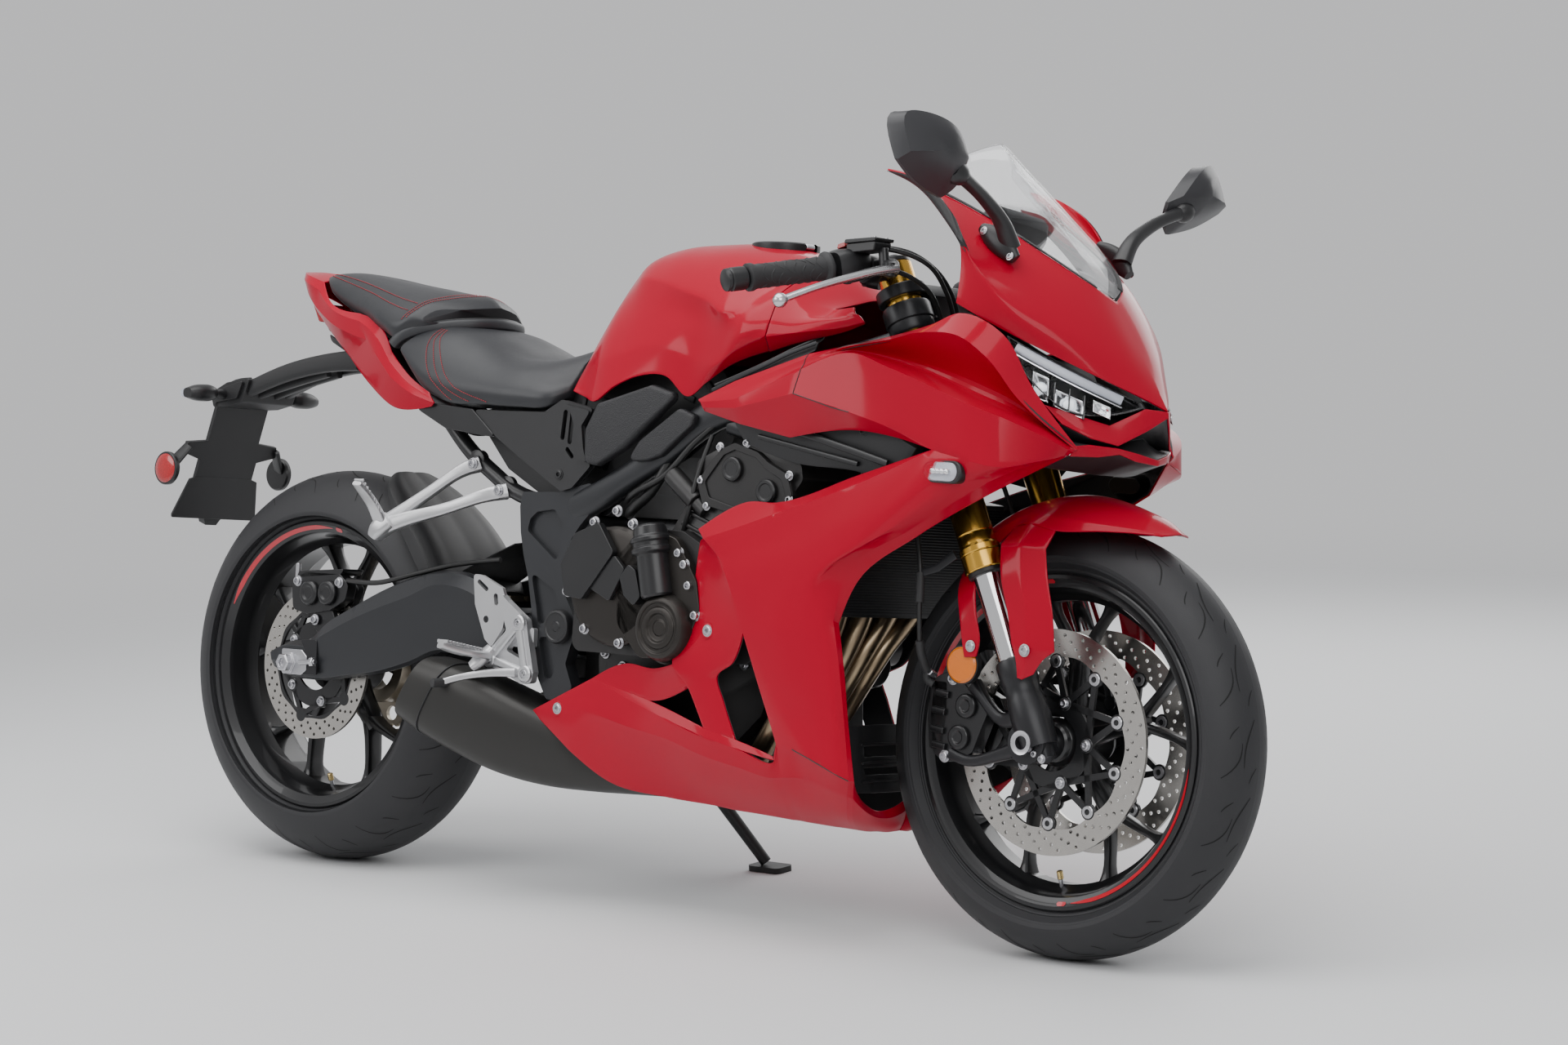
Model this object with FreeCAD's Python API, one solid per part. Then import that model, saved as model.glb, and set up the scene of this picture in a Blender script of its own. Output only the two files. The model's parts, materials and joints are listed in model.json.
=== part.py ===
"""Sport motorcycle with a full fairing, parked leaning on its side stand.

While modelling, X points forward from the rear axle, Y to the rider's left and Z up from the
ground, with the machine upright, in millimetres.  At the end the whole machine is leaned over
to its left onto the stand, and the origin goes to the centre of its footprint on the ground.
Each node is written to parts/NODE.step.
"""

import FreeCAD
import Part
import math
import os

V = FreeCAD.Vector

# ---- driving dimensions ------------------------------------------------------------------
WHEELBASE = 1450.0
REAR_AXLE_Z = 314.0
FRONT_AXLE_Z = 299.0
RAKE = 24.5
TRAIL_POINT_X = 1551.0
FORK_Y = 101.0
FORK_AXIS_X = 1461.0
FORK_TOP = 648.0
LEAN = 8.5
LIFT = 0.85
FRONT_DISC_Y = 53.0
FRONT_DISC_R = 155.0
REAR_DISC_Y = -72.0
REAR_DISC_R = 120.0
BEAD_R = 216.0
FLANGE_R = 231.0
CHAIN_Y = 105.0
SPROCKET_X = 665.0
SPROCKET_Z = 412.0
PIVOT_X = 593.0
PIVOT_Z = 407.0
PANEL = 3.0
STEM_R = 15.0
BEAM_SIDES = 8
FORK_R = 26.0
SPINDLE_R = 10.0
BORE_R = 10.1
FRONT_AXLE_R = 13.0
FRONT_BORE_R = 13.1
LEFT_REST_SHIFT = 12.0
WHEEL_GAP = 16.0
STAND_PIVOT = V(575.0, 132.0, 256.0)
STAND_FOOT = V(694.0, 258.0, 43.0)
STAND_AXIS = V(0.112, 0.815, 0.569)
CAP_X = 882.0
CAP_Z = 984.0
CAP_HINGE_X = 926.0

SIN_RAKE = math.sin(math.radians(RAKE))
COS_RAKE = math.cos(math.radians(RAKE))
FORK_DIR = V(-SIN_RAKE, 0, COS_RAKE)
FORK_BACK = V(-COS_RAKE, 0, -SIN_RAKE)
Y_AXIS = V(0, 1, 0)
FORK_OFFSET = (FORK_AXIS_X - TRAIL_POINT_X) * COS_RAKE + FRONT_AXLE_Z * SIN_RAKE


# ---- shape helpers -----------------------------------------------------------------------
def box(x0, x1, y0, y1, z0, z1):
    return Part.makeBox(x1 - x0, y1 - y0, z1 - z0, V(x0, y0, z0))


def rod(start, end, radius, end_radius=None):
    """A round bar, or a cone where the second radius differs."""
    axis = end - start
    if end_radius is None or end_radius == radius:
        return Part.makeCylinder(radius, axis.Length, start, axis)
    return Part.makeCone(radius, end_radius, axis.Length, start, axis)


def disc(x, z, radius, y0, y1):
    return Part.makeCylinder(radius, y1 - y0, V(x, y0, z), Y_AXIS)


def ring(x, z, outer, inner, y0, y1):
    return disc(x, z, outer, y0, y1).cut(disc(x, z, inner, y0 - 1, y1 + 1))


def mirrored(shape):
    """The same shape on the other side of the machine."""
    return shape.mirror(V(0, 0, 0), Y_AXIS)


def both(shape):
    return [shape, mirrored(shape)]


def joined(shapes):
    """One body from pieces that touch or overlap."""
    result = shapes[0].multiFuse(shapes[1:])
    return result.removeSplitter()


def rounded_wire(points, radius):
    """A closed outline whose corners are tangent arcs, cut down where the sides are short."""
    count = len(points)
    edges = []
    ends = []
    for i in range(count):
        corner = points[i]
        back = points[i - 1] - corner
        ahead = points[(i + 1) % count] - corner
        reach = 0.45 * min(back.Length, ahead.Length)
        back.normalize()
        ahead.normalize()
        half = back.getAngle(ahead) / 2
        if radius <= 0 or half > math.radians(88):
            ends.append((corner, corner, corner))
            continue
        tangent = min(radius / math.tan(half), reach)
        middle = back + ahead
        middle.normalize()
        arc_radius = tangent * math.tan(half)
        centre = corner + middle * (arc_radius / math.sin(half))
        top = centre - middle * arc_radius
        ends.append((corner + back * tangent, top, corner + ahead * tangent))
    for i in range(count):
        start, top, end = ends[i]
        if (end - start).Length > 1e-6:
            edges.append(Part.Arc(start, top, end).toShape())
        following = ends[(i + 1) % count][0]
        edges.append(Part.LineSegment(end, following).toShape())
    return Part.Wire(edges)


def prism(outline, y0, y1, radius=0.0):
    """A plate seen from the side: (x, z) outline, thick from y0 to y1."""
    wire = rounded_wire([V(x, y0, z) for x, z in outline], radius)
    return Part.Face(wire).extrude(V(0, y1 - y0, 0))


def plate(points, thickness, radius=0.0):
    """A flat plate from its corner points, thickened along the given vector."""
    return Part.Face(rounded_wire(points, radius)).extrude(thickness)


def turned(profile, x, z):
    """A round piece about a wheel axis, from a closed (y, radius) profile wire."""
    return Part.Face(profile).revolve(V(x, 0, z), Y_AXIS, 360)


def turned_wire(points, x, z):
    return rounded_wire([V(x, y, z + r) for y, r in points], 0)


def solid_from(triangles):
    faces = []
    for a, b, c in triangles:
        if (b - a).cross(c - a).Length > 1e-3:
            faces.append(Part.Face(Part.makePolygon([a, b, c, a])))
    shell = Part.makeShell(faces)
    shell.sewShape()
    solid = Part.Solid(Part.Shell(shell.Faces))
    if solid.Volume < 0:
        solid.reverse()
    return solid


def grid_triangles(rows, closed):
    """Two triangles for each cell of a grid of points, wrapping round where closed."""
    triangles = []
    columns = len(rows[0])
    last = columns if closed else columns - 1
    for low, high in zip(rows, rows[1:]):
        for j in range(last):
            k = (j + 1) % columns
            triangles.append((low[j], low[k], high[k]))
            triangles.append((low[j], high[k], high[j]))
    return triangles


def fan(loop):
    """Triangles that close a loop about its middle."""
    middle = V(0, 0, 0)
    for point in loop:
        middle = middle + point
    middle = middle * (1.0 / len(loop))
    count = len(loop)
    return [(middle, loop[i], loop[(i + 1) % count]) for i in range(count)]


def body_of(loops):
    """A solid through closed loops of points."""
    triangles = grid_triangles(loops, True)
    triangles += [(a, c, b) for a, b, c in fan(loops[0])]
    triangles += fan(loops[-1])
    return solid_from(triangles)


def symmetric_body(stations):
    """A solid through sections across the machine: each is x, then (half width, z) points
    from the bottom centre, up one side, to the top centre."""
    loops = []
    for x, half in stations:
        left = [V(x, y, z) for y, z in half]
        right = [V(x, -y, z) for y, z in reversed(half) if y > 0]
        loops.append(left + right)
    return body_of(loops)


def grid_normals(rows):
    """The outward direction at each point of a grid, from its neighbours."""
    normals = []
    for i, row in enumerate(rows):
        line = []
        above = rows[max(i - 1, 0)]
        below = rows[min(i + 1, len(rows) - 1)]
        for j in range(len(row)):
            along = row[min(j + 1, len(row) - 1)] - row[max(j - 1, 0)]
            across = below[j] - above[j]
            normal = along.cross(across)
            if normal.Length < 1e-6:
                normal = V(0, -1, 0)
            if abs(row[j].y) < 0.01:
                normal.y = 0
            normal.normalize()
            line.append(normal)
        normals.append(line)
    return normals


def panel(table, thickness=PANEL):
    """A thin shell: rows of (x, y, z) points on its outer face, with the wall inside it."""
    rows = [[V(*point) for point in row] for row in table]
    normals = grid_normals(rows)
    inner = []
    for row, line in zip(rows, normals):
        inner.append([p - n * thickness for p, n in zip(row, line)])
    triangles = grid_triangles(rows, False)
    triangles += [(a, c, b) for a, b, c in grid_triangles(inner, False)]
    outer_edge = rim_of(rows)
    inner_edge = rim_of(inner)
    triangles += grid_triangles([outer_edge, inner_edge], True)
    return solid_from(triangles)


def rim_of(rows):
    """The points round the edge of a grid, in order."""
    right = [row[-1] for row in rows[1:-1]]
    left = [row[0] for row in rows[1:-1]]
    return rows[0] + right + list(reversed(rows[-1])) + list(reversed(left))


def moulding(grids):
    """A thin shell over grids of points that share their common edges: rows run down, columns
    run forward on the right-hand side, so the outer face looks outwards.  The wall lies inside
    the outer face, and every free edge is closed."""
    points = []
    index_of = {}
    triangles = []

    def index(point):
        key = tuple(round(value, 2) for value in point)
        if key not in index_of:
            index_of[key] = len(points)
            points.append(V(*point))
        return index_of[key]

    for grid in grids:
        for high, low in zip(grid, grid[1:]):
            for j in range(len(high) - 1):
                a, b = index(high[j]), index(high[j + 1])
                c, d = index(low[j]), index(low[j + 1])
                for triangle in ((a, c, d), (a, d, b)):
                    if len(set(triangle)) == 3:
                        triangles.append(triangle)
    normals = [V(0, 0, 0) for _ in points]
    edges = {}
    for a, b, c in triangles:
        normal = (points[b] - points[a]).cross(points[c] - points[a])
        for corner in (a, b, c):
            normals[corner] = normals[corner] + normal
        for edge in ((a, b), (b, c), (c, a)):
            edges[edge] = edges.get(edge, 0) + 1
    inner = []
    for point, normal in zip(points, normals):
        if abs(point.y) < 1.0:
            normal.y = 0
        normal.normalize()
        inner.append(point - normal * PANEL)
    faces = [(points[a], points[b], points[c]) for a, b, c in triangles]
    faces += [(inner[a], inner[c], inner[b]) for a, b, c in triangles]
    for a, b in edges:
        if (b, a) not in edges:
            faces.append((points[b], points[a], inner[a]))
            faces.append((points[b], inner[a], inner[b]))
    return solid_from(faces)


def two_sided(grids):
    """Right-hand grids with their mirror images, for a shell that crosses the middle."""
    left = [[[(x, -y, z) for x, y, z in reversed(row)] for row in grid] for grid in grids]
    return grids + left


def pipe(points, radius, bend):
    """A round tube along straight runs joined by tangent arcs."""
    edges = []
    start = points[0]
    for before, corner, after in zip(points, points[1:], points[2:]):
        back = before - corner
        ahead = after - corner
        reach = 0.45 * min(back.Length, ahead.Length)
        back.normalize()
        ahead.normalize()
        half = back.getAngle(ahead) / 2
        tangent = min(bend / math.tan(half), reach)
        middle = back + ahead
        middle.normalize()
        arc_radius = tangent * math.tan(half)
        centre = corner + middle * (arc_radius / math.sin(half))
        into = corner + back * tangent
        out = corner + ahead * tangent
        edges.append(Part.LineSegment(start, into).toShape())
        edges.append(Part.Arc(into, centre - middle * arc_radius, out).toShape())
        start = out
    edges.append(Part.LineSegment(start, points[-1]).toShape())
    path = Part.Wire(edges)
    circle = Part.Circle(points[0], points[1] - points[0], radius)
    return path.makePipeShell([Part.Wire(circle.toShape())], True, False)


def bar_through(points, sizes, side=Y_AXIS):
    """A beam through points: at each, sizes gives half its width along side and half its
    height square to the beam; the section is an even-sided oval."""
    loops = []
    for i, point in enumerate(points):
        ahead = points[min(i + 1, len(points) - 1)] - points[max(i - 1, 0)]
        up = ahead.cross(side)
        up.normalize()
        across = up.cross(ahead)
        across.normalize()
        half_width, half_height = sizes[i]
        loop = []
        for k in range(BEAM_SIDES):
            angle = 2 * math.pi * (k + 0.5) / BEAM_SIDES
            reach = across * (half_width * math.cos(angle))
            loop.append(point + reach + up * (half_height * math.sin(angle)))
        loops.append(loop)
    return body_of(loops)


def on_fork(height, side):
    """A point on the plane of the fork legs, height above the front axle and side to the left."""
    return V(FORK_AXIS_X - height * SIN_RAKE / COS_RAKE, side, FRONT_AXLE_Z + height)


def on_steering(z):
    """A point on the steering axis at height z."""
    return V(TRAIL_POINT_X - z * SIN_RAKE / COS_RAKE, 0, z)


# ---- wheels ------------------------------------------------------------------------------
def wheel_rim(x, z, flange_y, hub_y, spokes, spoke_half_y, hub_r, bore_r):
    """Cast wheel: barrel with two flanges, hub, and forked spokes."""
    seat_y = flange_y - 5
    outline = [
        (-flange_y, FLANGE_R), (-seat_y, FLANGE_R), (-seat_y, BEAD_R),
        (-0.55 * flange_y, BEAD_R - 2), (-0.35 * flange_y, 202), (0.35 * flange_y, 202),
        (0.55 * flange_y, BEAD_R - 2), (seat_y, BEAD_R), (seat_y, FLANGE_R),
        (flange_y, FLANGE_R), (flange_y, FLANGE_R - 9), (0.82 * flange_y, 209),
        (0.5 * flange_y, 207), (0.3 * flange_y, 195), (-0.3 * flange_y, 195),
        (-0.5 * flange_y, 207), (-0.82 * flange_y, 209), (-flange_y, FLANGE_R - 9)]
    barrel = turned(turned_wire(outline, x, z), x, z)
    parts = [barrel, disc(x, z, hub_r, -hub_y, hub_y)]
    for index in range(spokes):
        turn = 360.0 / spokes * index + 90.0
        for spread in (-13.0, 13.0):
            parts.append(spoke(x, z, turn, spread, spoke_half_y, hub_r))
    rim = joined(parts)
    return rim.cut(disc(x, z, bore_r, -hub_y - 1, hub_y + 1))


def spoke(x, z, turn, spread, half_y, hub_r):
    """One limb of a forked spoke, narrow and deep, from the hub to the barrel."""
    outline = [(hub_r - 12, -9), (199, -6.5), (199, 6.5), (hub_r - 12, 9)]
    limb = prism([(r, w) for r, w in outline], -half_y, half_y)
    limb.rotate(V(0, 0, 0), Y_AXIS, -spread * 0.55)
    limb.rotate(V(0, 0, 0), Y_AXIS, -(turn + spread * 0.2))
    limb.translate(V(x, 0, z))
    return limb


def tyre(x, z, outer_r, half_width, shoulder_r, bead_y):
    """Open carcass: round crown, bulged side walls, beads on the rim."""
    wall = 9.0
    gap = 0.4
    seat = BEAD_R + gap

    def at(y, r):
        return V(x, y, z + r)

    def crown(width, low, high):
        return Part.Arc(at(-width, low), at(0, high), at(width, low)).toShape()

    def side(sign, width, low, wall_y, bead):
        bulge = at(sign * (width + 1.0), (low + seat) / 2 + 8)
        return Part.Arc(at(sign * width, low), bulge, at(sign * wall_y, bead)).toShape()

    def line(a, b):
        return Part.LineSegment(a, b).toShape()

    outer_bead = bead_y
    inner_bead = bead_y - 12
    lip = FLANGE_R + 4
    inner_width = half_width - wall
    edges = [crown(half_width, shoulder_r, outer_r),
             Part.Arc(at(half_width, shoulder_r), at(half_width - 2, (shoulder_r + lip) / 2),
                      at(outer_bead + 1, lip)).toShape(),
             line(at(outer_bead + 1, lip), at(outer_bead, FLANGE_R - 2)),
             line(at(outer_bead, FLANGE_R - 2), at(outer_bead, seat)),
             line(at(outer_bead, seat), at(inner_bead, seat)),
             line(at(inner_bead, seat), at(inner_width, shoulder_r)),
             crown(inner_width, shoulder_r, outer_r - wall),
             line(at(-inner_width, shoulder_r), at(-inner_bead, seat)),
             line(at(-inner_bead, seat), at(-outer_bead, seat)),
             line(at(-outer_bead, seat), at(-outer_bead, FLANGE_R - 2)),
             line(at(-outer_bead, FLANGE_R - 2), at(-outer_bead - 1, lip)),
             Part.Arc(at(-outer_bead - 1, lip), at(2 - half_width, (shoulder_r + lip) / 2),
                      at(-half_width, shoulder_r)).toShape()]
    return turned(Part.Wire(Part.__sortEdges__(edges)), x, z)


def brake_disc(x, z, y, outer, inner, carrier_hub, thickness):
    """Floating disc: braking ring, inner carrier arms and the buttons between them."""
    half = thickness / 2
    parts = [ring(x, z, outer, inner, y - half, y + half)]
    parts.append(ring(x, z, carrier_hub, carrier_hub - 22, y - half, y + half))
    arms = 10
    for index in range(arms):
        arm = prism([(carrier_hub - 5, -6), (inner + 6, -4), (inner + 6, 4),
                     (carrier_hub - 5, 6)], y - half, y + half)
        arm.rotate(V(0, 0, 0), Y_AXIS, 360.0 / arms * index)
        arm.translate(V(x, 0, z))
        parts.append(arm)
    return joined(parts)


def front_discs():
    return Part.makeCompound([
        brake_disc(WHEELBASE, FRONT_AXLE_Z, sign * FRONT_DISC_Y, FRONT_DISC_R, 118.0, 66.0, 5.0)
        for sign in (-1, 1)])


def rear_sprocket():
    """Chain wheel on its carrier, on the left of the rear wheel."""
    plate_ring = ring(0, REAR_AXLE_Z, 101.0, 42.0, CHAIN_Y - 3.5, CHAIN_Y + 3.5)
    carrier = ring(0, REAR_AXLE_Z, 62.0, 42.0, 60.4, CHAIN_Y - 3.5)
    return joined([plate_ring, carrier])


# ---- chassis -----------------------------------------------------------------------------
def main_frame():
    """Steering head, two oval spars, pivot plates and the cross tubes that tie them."""
    head_low = on_steering(768)
    head_high = on_steering(872)
    parts = [rod(head_low, head_high, 31)]
    for sign in (-1, 1):
        spar = [V(1150, sign * 26, 835), V(1085, sign * 92, 800), V(980, sign * 118, 765),
                V(837, sign * 128, 706), V(720, sign * 128, 634), V(640, sign * 122, 588)]
        parts.append(bar_through(spar, [(18, 34), (18, 36), (17, 34), (16, 30), (16, 32), (15, 34)]))
        lower = [V(1165, sign * 24, 790), V(1115, sign * 80, 740), V(1020, sign * 112, 700)]
        parts.append(bar_through(lower, [(12, 16), (12, 14), (12, 14)]))
        brace = [V(1020, sign * 112, 700), V(900, sign * 122, 716)]
        parts.append(bar_through(brace, [(12, 14), (12, 14)]))
        outline = [(575, 600), (640, 618), (672, 585), (640, 520), (622, 440), (648, 330),
                   (630, 300), (590, 305), (560, 370), (552, 440), (580, 520)]
        low_y, high_y = (-134, -112) if sign < 0 else (118, 140)
        parts.append(prism(outline, low_y, high_y, 14))
    parts.append(rod(V(615, -120, 565), V(615, 120, 565), 16))
    parts.append(rod(V(625, -120, 318), V(625, 120, 318), 13))
    frame = joined(parts)
    frame = frame.cut(rod(on_steering(740), on_steering(900), STEM_R + 0.1))
    return frame.cut(rod(V(PIVOT_X, -150, PIVOT_Z), V(PIVOT_X, 150, PIVOT_Z), BORE_R))


def rear_subframe():
    """Tube rails that carry the seats."""
    parts = []
    for sign in (-1, 1):
        upper = [V(640, sign * 100, 655), V(520, sign * 96, 700), V(330, sign * 84, 722),
                 V(215, sign * 72, 765), V(120, sign * 52, 822), V(-40, sign * 34, 862)]
        lower = [V(580, sign * 100, 575), V(470, sign * 98, 612), V(330, sign * 84, 722)]
        parts.append(pipe(upper, 12.5, 90))
        parts.append(pipe(lower, 11, 60))
    for x, z, half in ((330, 722, 84), (120, 822, 52), (-30, 859, 36)):
        parts.append(rod(V(x, -half, z), V(x, half, z), 9))
    return joined(parts)


def swingarm():
    """Cast twin-arm swingarm with its cross box and pivot tube."""
    right = [(-46, 322), (-38, 350), (-2, 352), (150, 398), (290, 478), (400, 468), (470, 430),
             (470, 340), (400, 338), (342, 352), (164, 305), (-16, 286), (-44, 300)]
    arms = [prism(right, -131, -98, 16), prism(right, 121, 150, 16)]
    cross_box = box(345, 470, -98, 121, 336, 424)
    centre = box(462, 575, -88, 90, 352, 424)
    tube = disc(PIVOT_X, PIVOT_Z, 24, -108, 94)
    arm = joined(arms + [cross_box, centre, tube])
    arm = arm.cut(disc(PIVOT_X, PIVOT_Z, BORE_R, -120, 120))
    return arm.cut(rod(V(0, -160, REAR_AXLE_Z), V(0, 160, REAR_AXLE_Z), BORE_R))


def rear_axle():
    """Rear spindle with its nuts."""
    spindle = rod(V(0, -148, REAR_AXLE_Z), V(0, 166, REAR_AXLE_Z), SPINDLE_R)
    nuts = [disc(0, REAR_AXLE_Z, 19, -144, -131.2), disc(0, REAR_AXLE_Z, 19, 150.2, 162)]
    return joined([spindle] + nuts)


def pivot_bolt():
    """Bolt the swingarm turns on."""
    shank = rod(V(PIVOT_X, -140, PIVOT_Z), V(PIVOT_X, 146, PIVOT_Z), SPINDLE_R)
    heads = [disc(PIVOT_X, PIVOT_Z, 20, -143, -134.2), disc(PIVOT_X, PIVOT_Z, 20, 140.2, 148)]
    return joined([shank] + heads)


def chain_outline(y, rear_r, front_r):
    """The closed line round the two sprockets at the given radii."""
    rear = V(0, y, REAR_AXLE_Z)
    front = V(SPROCKET_X, y, SPROCKET_Z)
    line = front - rear
    tilt = math.atan2(line.z, line.x)
    half = math.acos((rear_r - front_r) / line.Length)

    def at(centre, radius, angle):
        return centre + V(radius * math.cos(angle), 0, radius * math.sin(angle))

    high, low = tilt + half, tilt - half
    edges = [
        Part.Arc(at(rear, rear_r, high), at(rear, rear_r, tilt + math.pi),
                 at(rear, rear_r, low)).toShape(),
        Part.LineSegment(at(rear, rear_r, low), at(front, front_r, low)).toShape(),
        Part.Arc(at(front, front_r, low), at(front, front_r, tilt),
                 at(front, front_r, high)).toShape(),
        Part.LineSegment(at(front, front_r, high), at(rear, rear_r, high)).toShape()]
    return Part.Wire(edges)


def chain():
    """Drive chain as one closed belt, running just clear of the chain wheel."""
    low, high = CHAIN_Y - 8.0, CHAIN_Y + 8.0
    outer = Part.Face(chain_outline(low, 116.0, 46.0)).extrude(V(0, high - low, 0))
    inner = Part.Face(chain_outline(low - 1, 106.5, 36.5)).extrude(V(0, high - low + 2, 0))
    return outer.cut(inner)


def rear_hugger():
    """Mudguard close over the rear tyre, carried on the swingarm."""

    def arc_shell(inner, outer, start, end, y0, y1):
        middle = (start + end) / 2

        def at(radius, degrees):
            angle = math.radians(degrees)
            return V(radius * math.cos(angle), y0, REAR_AXLE_Z + radius * math.sin(angle))

        wire = Part.Wire([
            Part.Arc(at(outer, start), at(outer, middle), at(outer, end)).toShape(),
            Part.LineSegment(at(outer, end), at(inner, end)).toShape(),
            Part.Arc(at(inner, end), at(inner, middle), at(inner, start)).toShape(),
            Part.LineSegment(at(inner, start), at(outer, start)).toShape()])
        return Part.Face(wire).extrude(V(0, y1 - y0, 0))

    top = arc_shell(324, 328, 26, 74, -92, 92)
    sides = [arc_shell(292, 328, 30, 66, -97, -92), arc_shell(300, 328, 34, 62, 92, 96)]
    front = plate([V(291, -80, 458), V(291, 80, 458), V(418, 60, 522), V(418, -60, 522)],
                  V(-2, 0, 4))
    return joined([top] + sides + [front])


def rear_shock():
    """Single damper with its spring, between the swingarm and the frame."""
    low = V(505, 0, 432)
    high = V(575, 0, 628)
    body = rod(low, high, 17)
    spring = rod(low + V(14, 0, 40), low + V(56, 0, 157), 31)
    return joined([body, spring])


# ---- engine and exhaust ------------------------------------------------------------------
def engine():
    """Crankcase, inclined cylinder block and head as one mass."""
    case = prism([(655, 470), (700, 560), (860, 560), (985, 500), (1010, 400), (1000, 375),
                  (652, 375)], -172, 165, 18)
    sump = prism([(652, 380), (1004, 380), (975, 300), (900, 232), (720, 232), (662, 262)],
                 -112, 112, 14)
    block = prism([(800, 530), (960, 480), (1052, 628), (900, 680)], -150, 150, 8)
    head = prism([(850, 600), (864, 664), (900, 680), (1000, 678), (1058, 664), (1062, 640),
                  (1020, 590)], -150, 150, 10)
    cam_cover = prism([(862, 660), (905, 742), (960, 740), (1050, 676)], -95, 95, 10)
    mass = joined([case, sump, block, head, cam_cover])
    pocket = box(640, 725, 84, 130, 350, 470)
    return mass.cut(pocket)


def engine_covers():
    """Covers bolted on the crankcase sides, head plugs and the oil filter at the front."""
    right = [disc(840, 415, 49, -204, -172), disc(760, 470, 78, -196, -172),
             disc(808, 545, 40, -200, -172), disc(742, 398, 48, -190, -172)]
    left = [disc(836, 440, 54, 165, 200), disc(745, 440, 56, 165, 184)]
    plugs = [disc(938, 654, 17, -156, -150), disc(1002, 621, 17, -156, -150)]
    oil_filter = rod(V(994, 70, 378), V(1040, 70, 376), 34)
    parts = [joined(right), joined(left)] + plugs + [oil_filter]
    return Part.makeCompound(parts)


def radiator():
    """Cooling core hung ahead of the engine, leaning forward at the top."""
    half = 170
    return plate([V(1156, -half, 452), V(1156, half, 452), V(1180, half, 620),
                  V(1180, -half, 620)], V(-26, 0, 4))


HEADER_R = 16.0
HEADERS = [
    # y at the port, then at 480, 400, 300 and 205 above the ground, then at the collector
    (99, 72, 14, -6, 4, 6),
    (33, 16, -24, -42, -34, -28),
    (-33, -44, -66, -84, -76, -62),
    (-99, -104, -118, -138, -122, -96)]


def exhaust_headers():
    """Four pipes from the head, sweeping down and across to the collector."""
    pipes = []
    for port, high, middle, low, foot, end in HEADERS:
        points = [V(1046, port, 585), V(1086, port, 560), V(1104, high, 480),
                  V(1088, middle, 400), V(1032, low, 300), V(955, foot, 205), V(870, end, 192)]
        pipes.append(pipe(points, HEADER_R, 60))
    return Part.makeCompound(pipes)


def silencer():
    """Short slanted silencer under the engine, with its collector box ahead."""
    rings = [
        # x, y, z, half width, half height
        (858, -44, 192, 60, 26), (760, -44, 190, 60, 28), (650, -62, 200, 58, 40),
        (540, -100, 226, 60, 56), (430, -130, 264, 56, 58), (318, -152, 300, 44, 50)]
    loops = []
    sides = 10
    for x, y, z, half_width, half_height in rings:
        loop = []
        for k in range(sides):
            angle = 2 * math.pi * (k + 0.5) / sides
            across = half_width * math.cos(angle)
            up = half_height * math.sin(angle)
            loop.append(V(x + 0.35 * up, y + across, z + up))
        loops.append(loop)
    return body_of(loops)


# ---- body work ---------------------------------------------------------------------------
TANK = [
    (560, [(0, 772), (70, 768), (96, 774), (98, 782), (60, 796), (0, 801)]),
    (650, [(0, 748), (110, 740), (142, 748), (136, 800), (96, 890), (0, 902)]),
    (700, [(0, 752), (115, 744), (152, 760), (154, 850), (110, 943), (0, 955)]),
    (770, [(0, 778), (110, 774), (150, 790), (178, 862), (104, 975), (0, 984)]),
    (840, [(0, 762), (110, 758), (152, 768), (186, 864), (94, 983), (0, 989)]),
    (935, [(0, 784), (110, 786), (150, 800), (182, 860), (90, 970), (0, 979)]),
    (1030, [(0, 850), (100, 852), (140, 856), (160, 868), (86, 936), (0, 946)]),
    (1088, [(0, 872), (80, 872), (124, 874), (132, 880), (80, 908), (0, 916)])]

RIDER_SEAT = [
    (215, [(0, 800), (98, 800), (126, 808), (118, 824), (0, 832)]),
    (300, [(0, 764), (108, 750), (143, 762), (124, 820), (0, 834)]),
    (433, [(0, 748), (108, 740), (148, 754), (124, 800), (0, 812)]),
    (518, [(0, 744), (94, 736), (134, 747), (104, 808), (0, 822)]),
    (556, [(0, 804), (28, 804), (58, 811), (44, 830), (0, 838)])]

PILLION_SEAT = [
    (-36, [(0, 925), (45, 924), (55, 932), (45, 942), (0, 945)]),
    (100, [(0, 880), (80, 878), (104, 890), (84, 925), (0, 932)]),
    (250, [(0, 850), (100, 848), (127, 857), (104, 905), (0, 915)]),
    (384, [(0, 846), (85, 845), (104, 852), (80, 875), (0, 880)])]


def fuel_tank():
    tank = symmetric_body(TANK)
    recess = rod(V(CAP_X, 0, CAP_Z - 10), V(CAP_X, 0, CAP_Z + 30), 47)
    filler = rod(V(CAP_X, 0, CAP_Z - 40), V(CAP_X, 0, CAP_Z), 28)
    slot = box(CAP_X, CAP_HINGE_X + 8, -12, 12, CAP_Z - 10, CAP_Z + 30)
    return tank.cut(recess).cut(filler).cut(slot)


def fuel_cap():
    """Round lid with a short plug and a hinge tongue at its front."""
    lid = rod(V(CAP_X, 0, CAP_Z - 5), V(CAP_X, 0, CAP_Z + 6), 41)
    plug = rod(V(CAP_X, 0, CAP_Z - 22), V(CAP_X, 0, CAP_Z - 5), 18)
    tongue = box(CAP_X + 30, CAP_HINGE_X, -7, 7, CAP_Z - 4, CAP_Z + 4)
    barrel = disc(CAP_HINGE_X, CAP_Z, 4.5, -9, 9)
    return joined([lid, plug, tongue, barrel])


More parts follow.
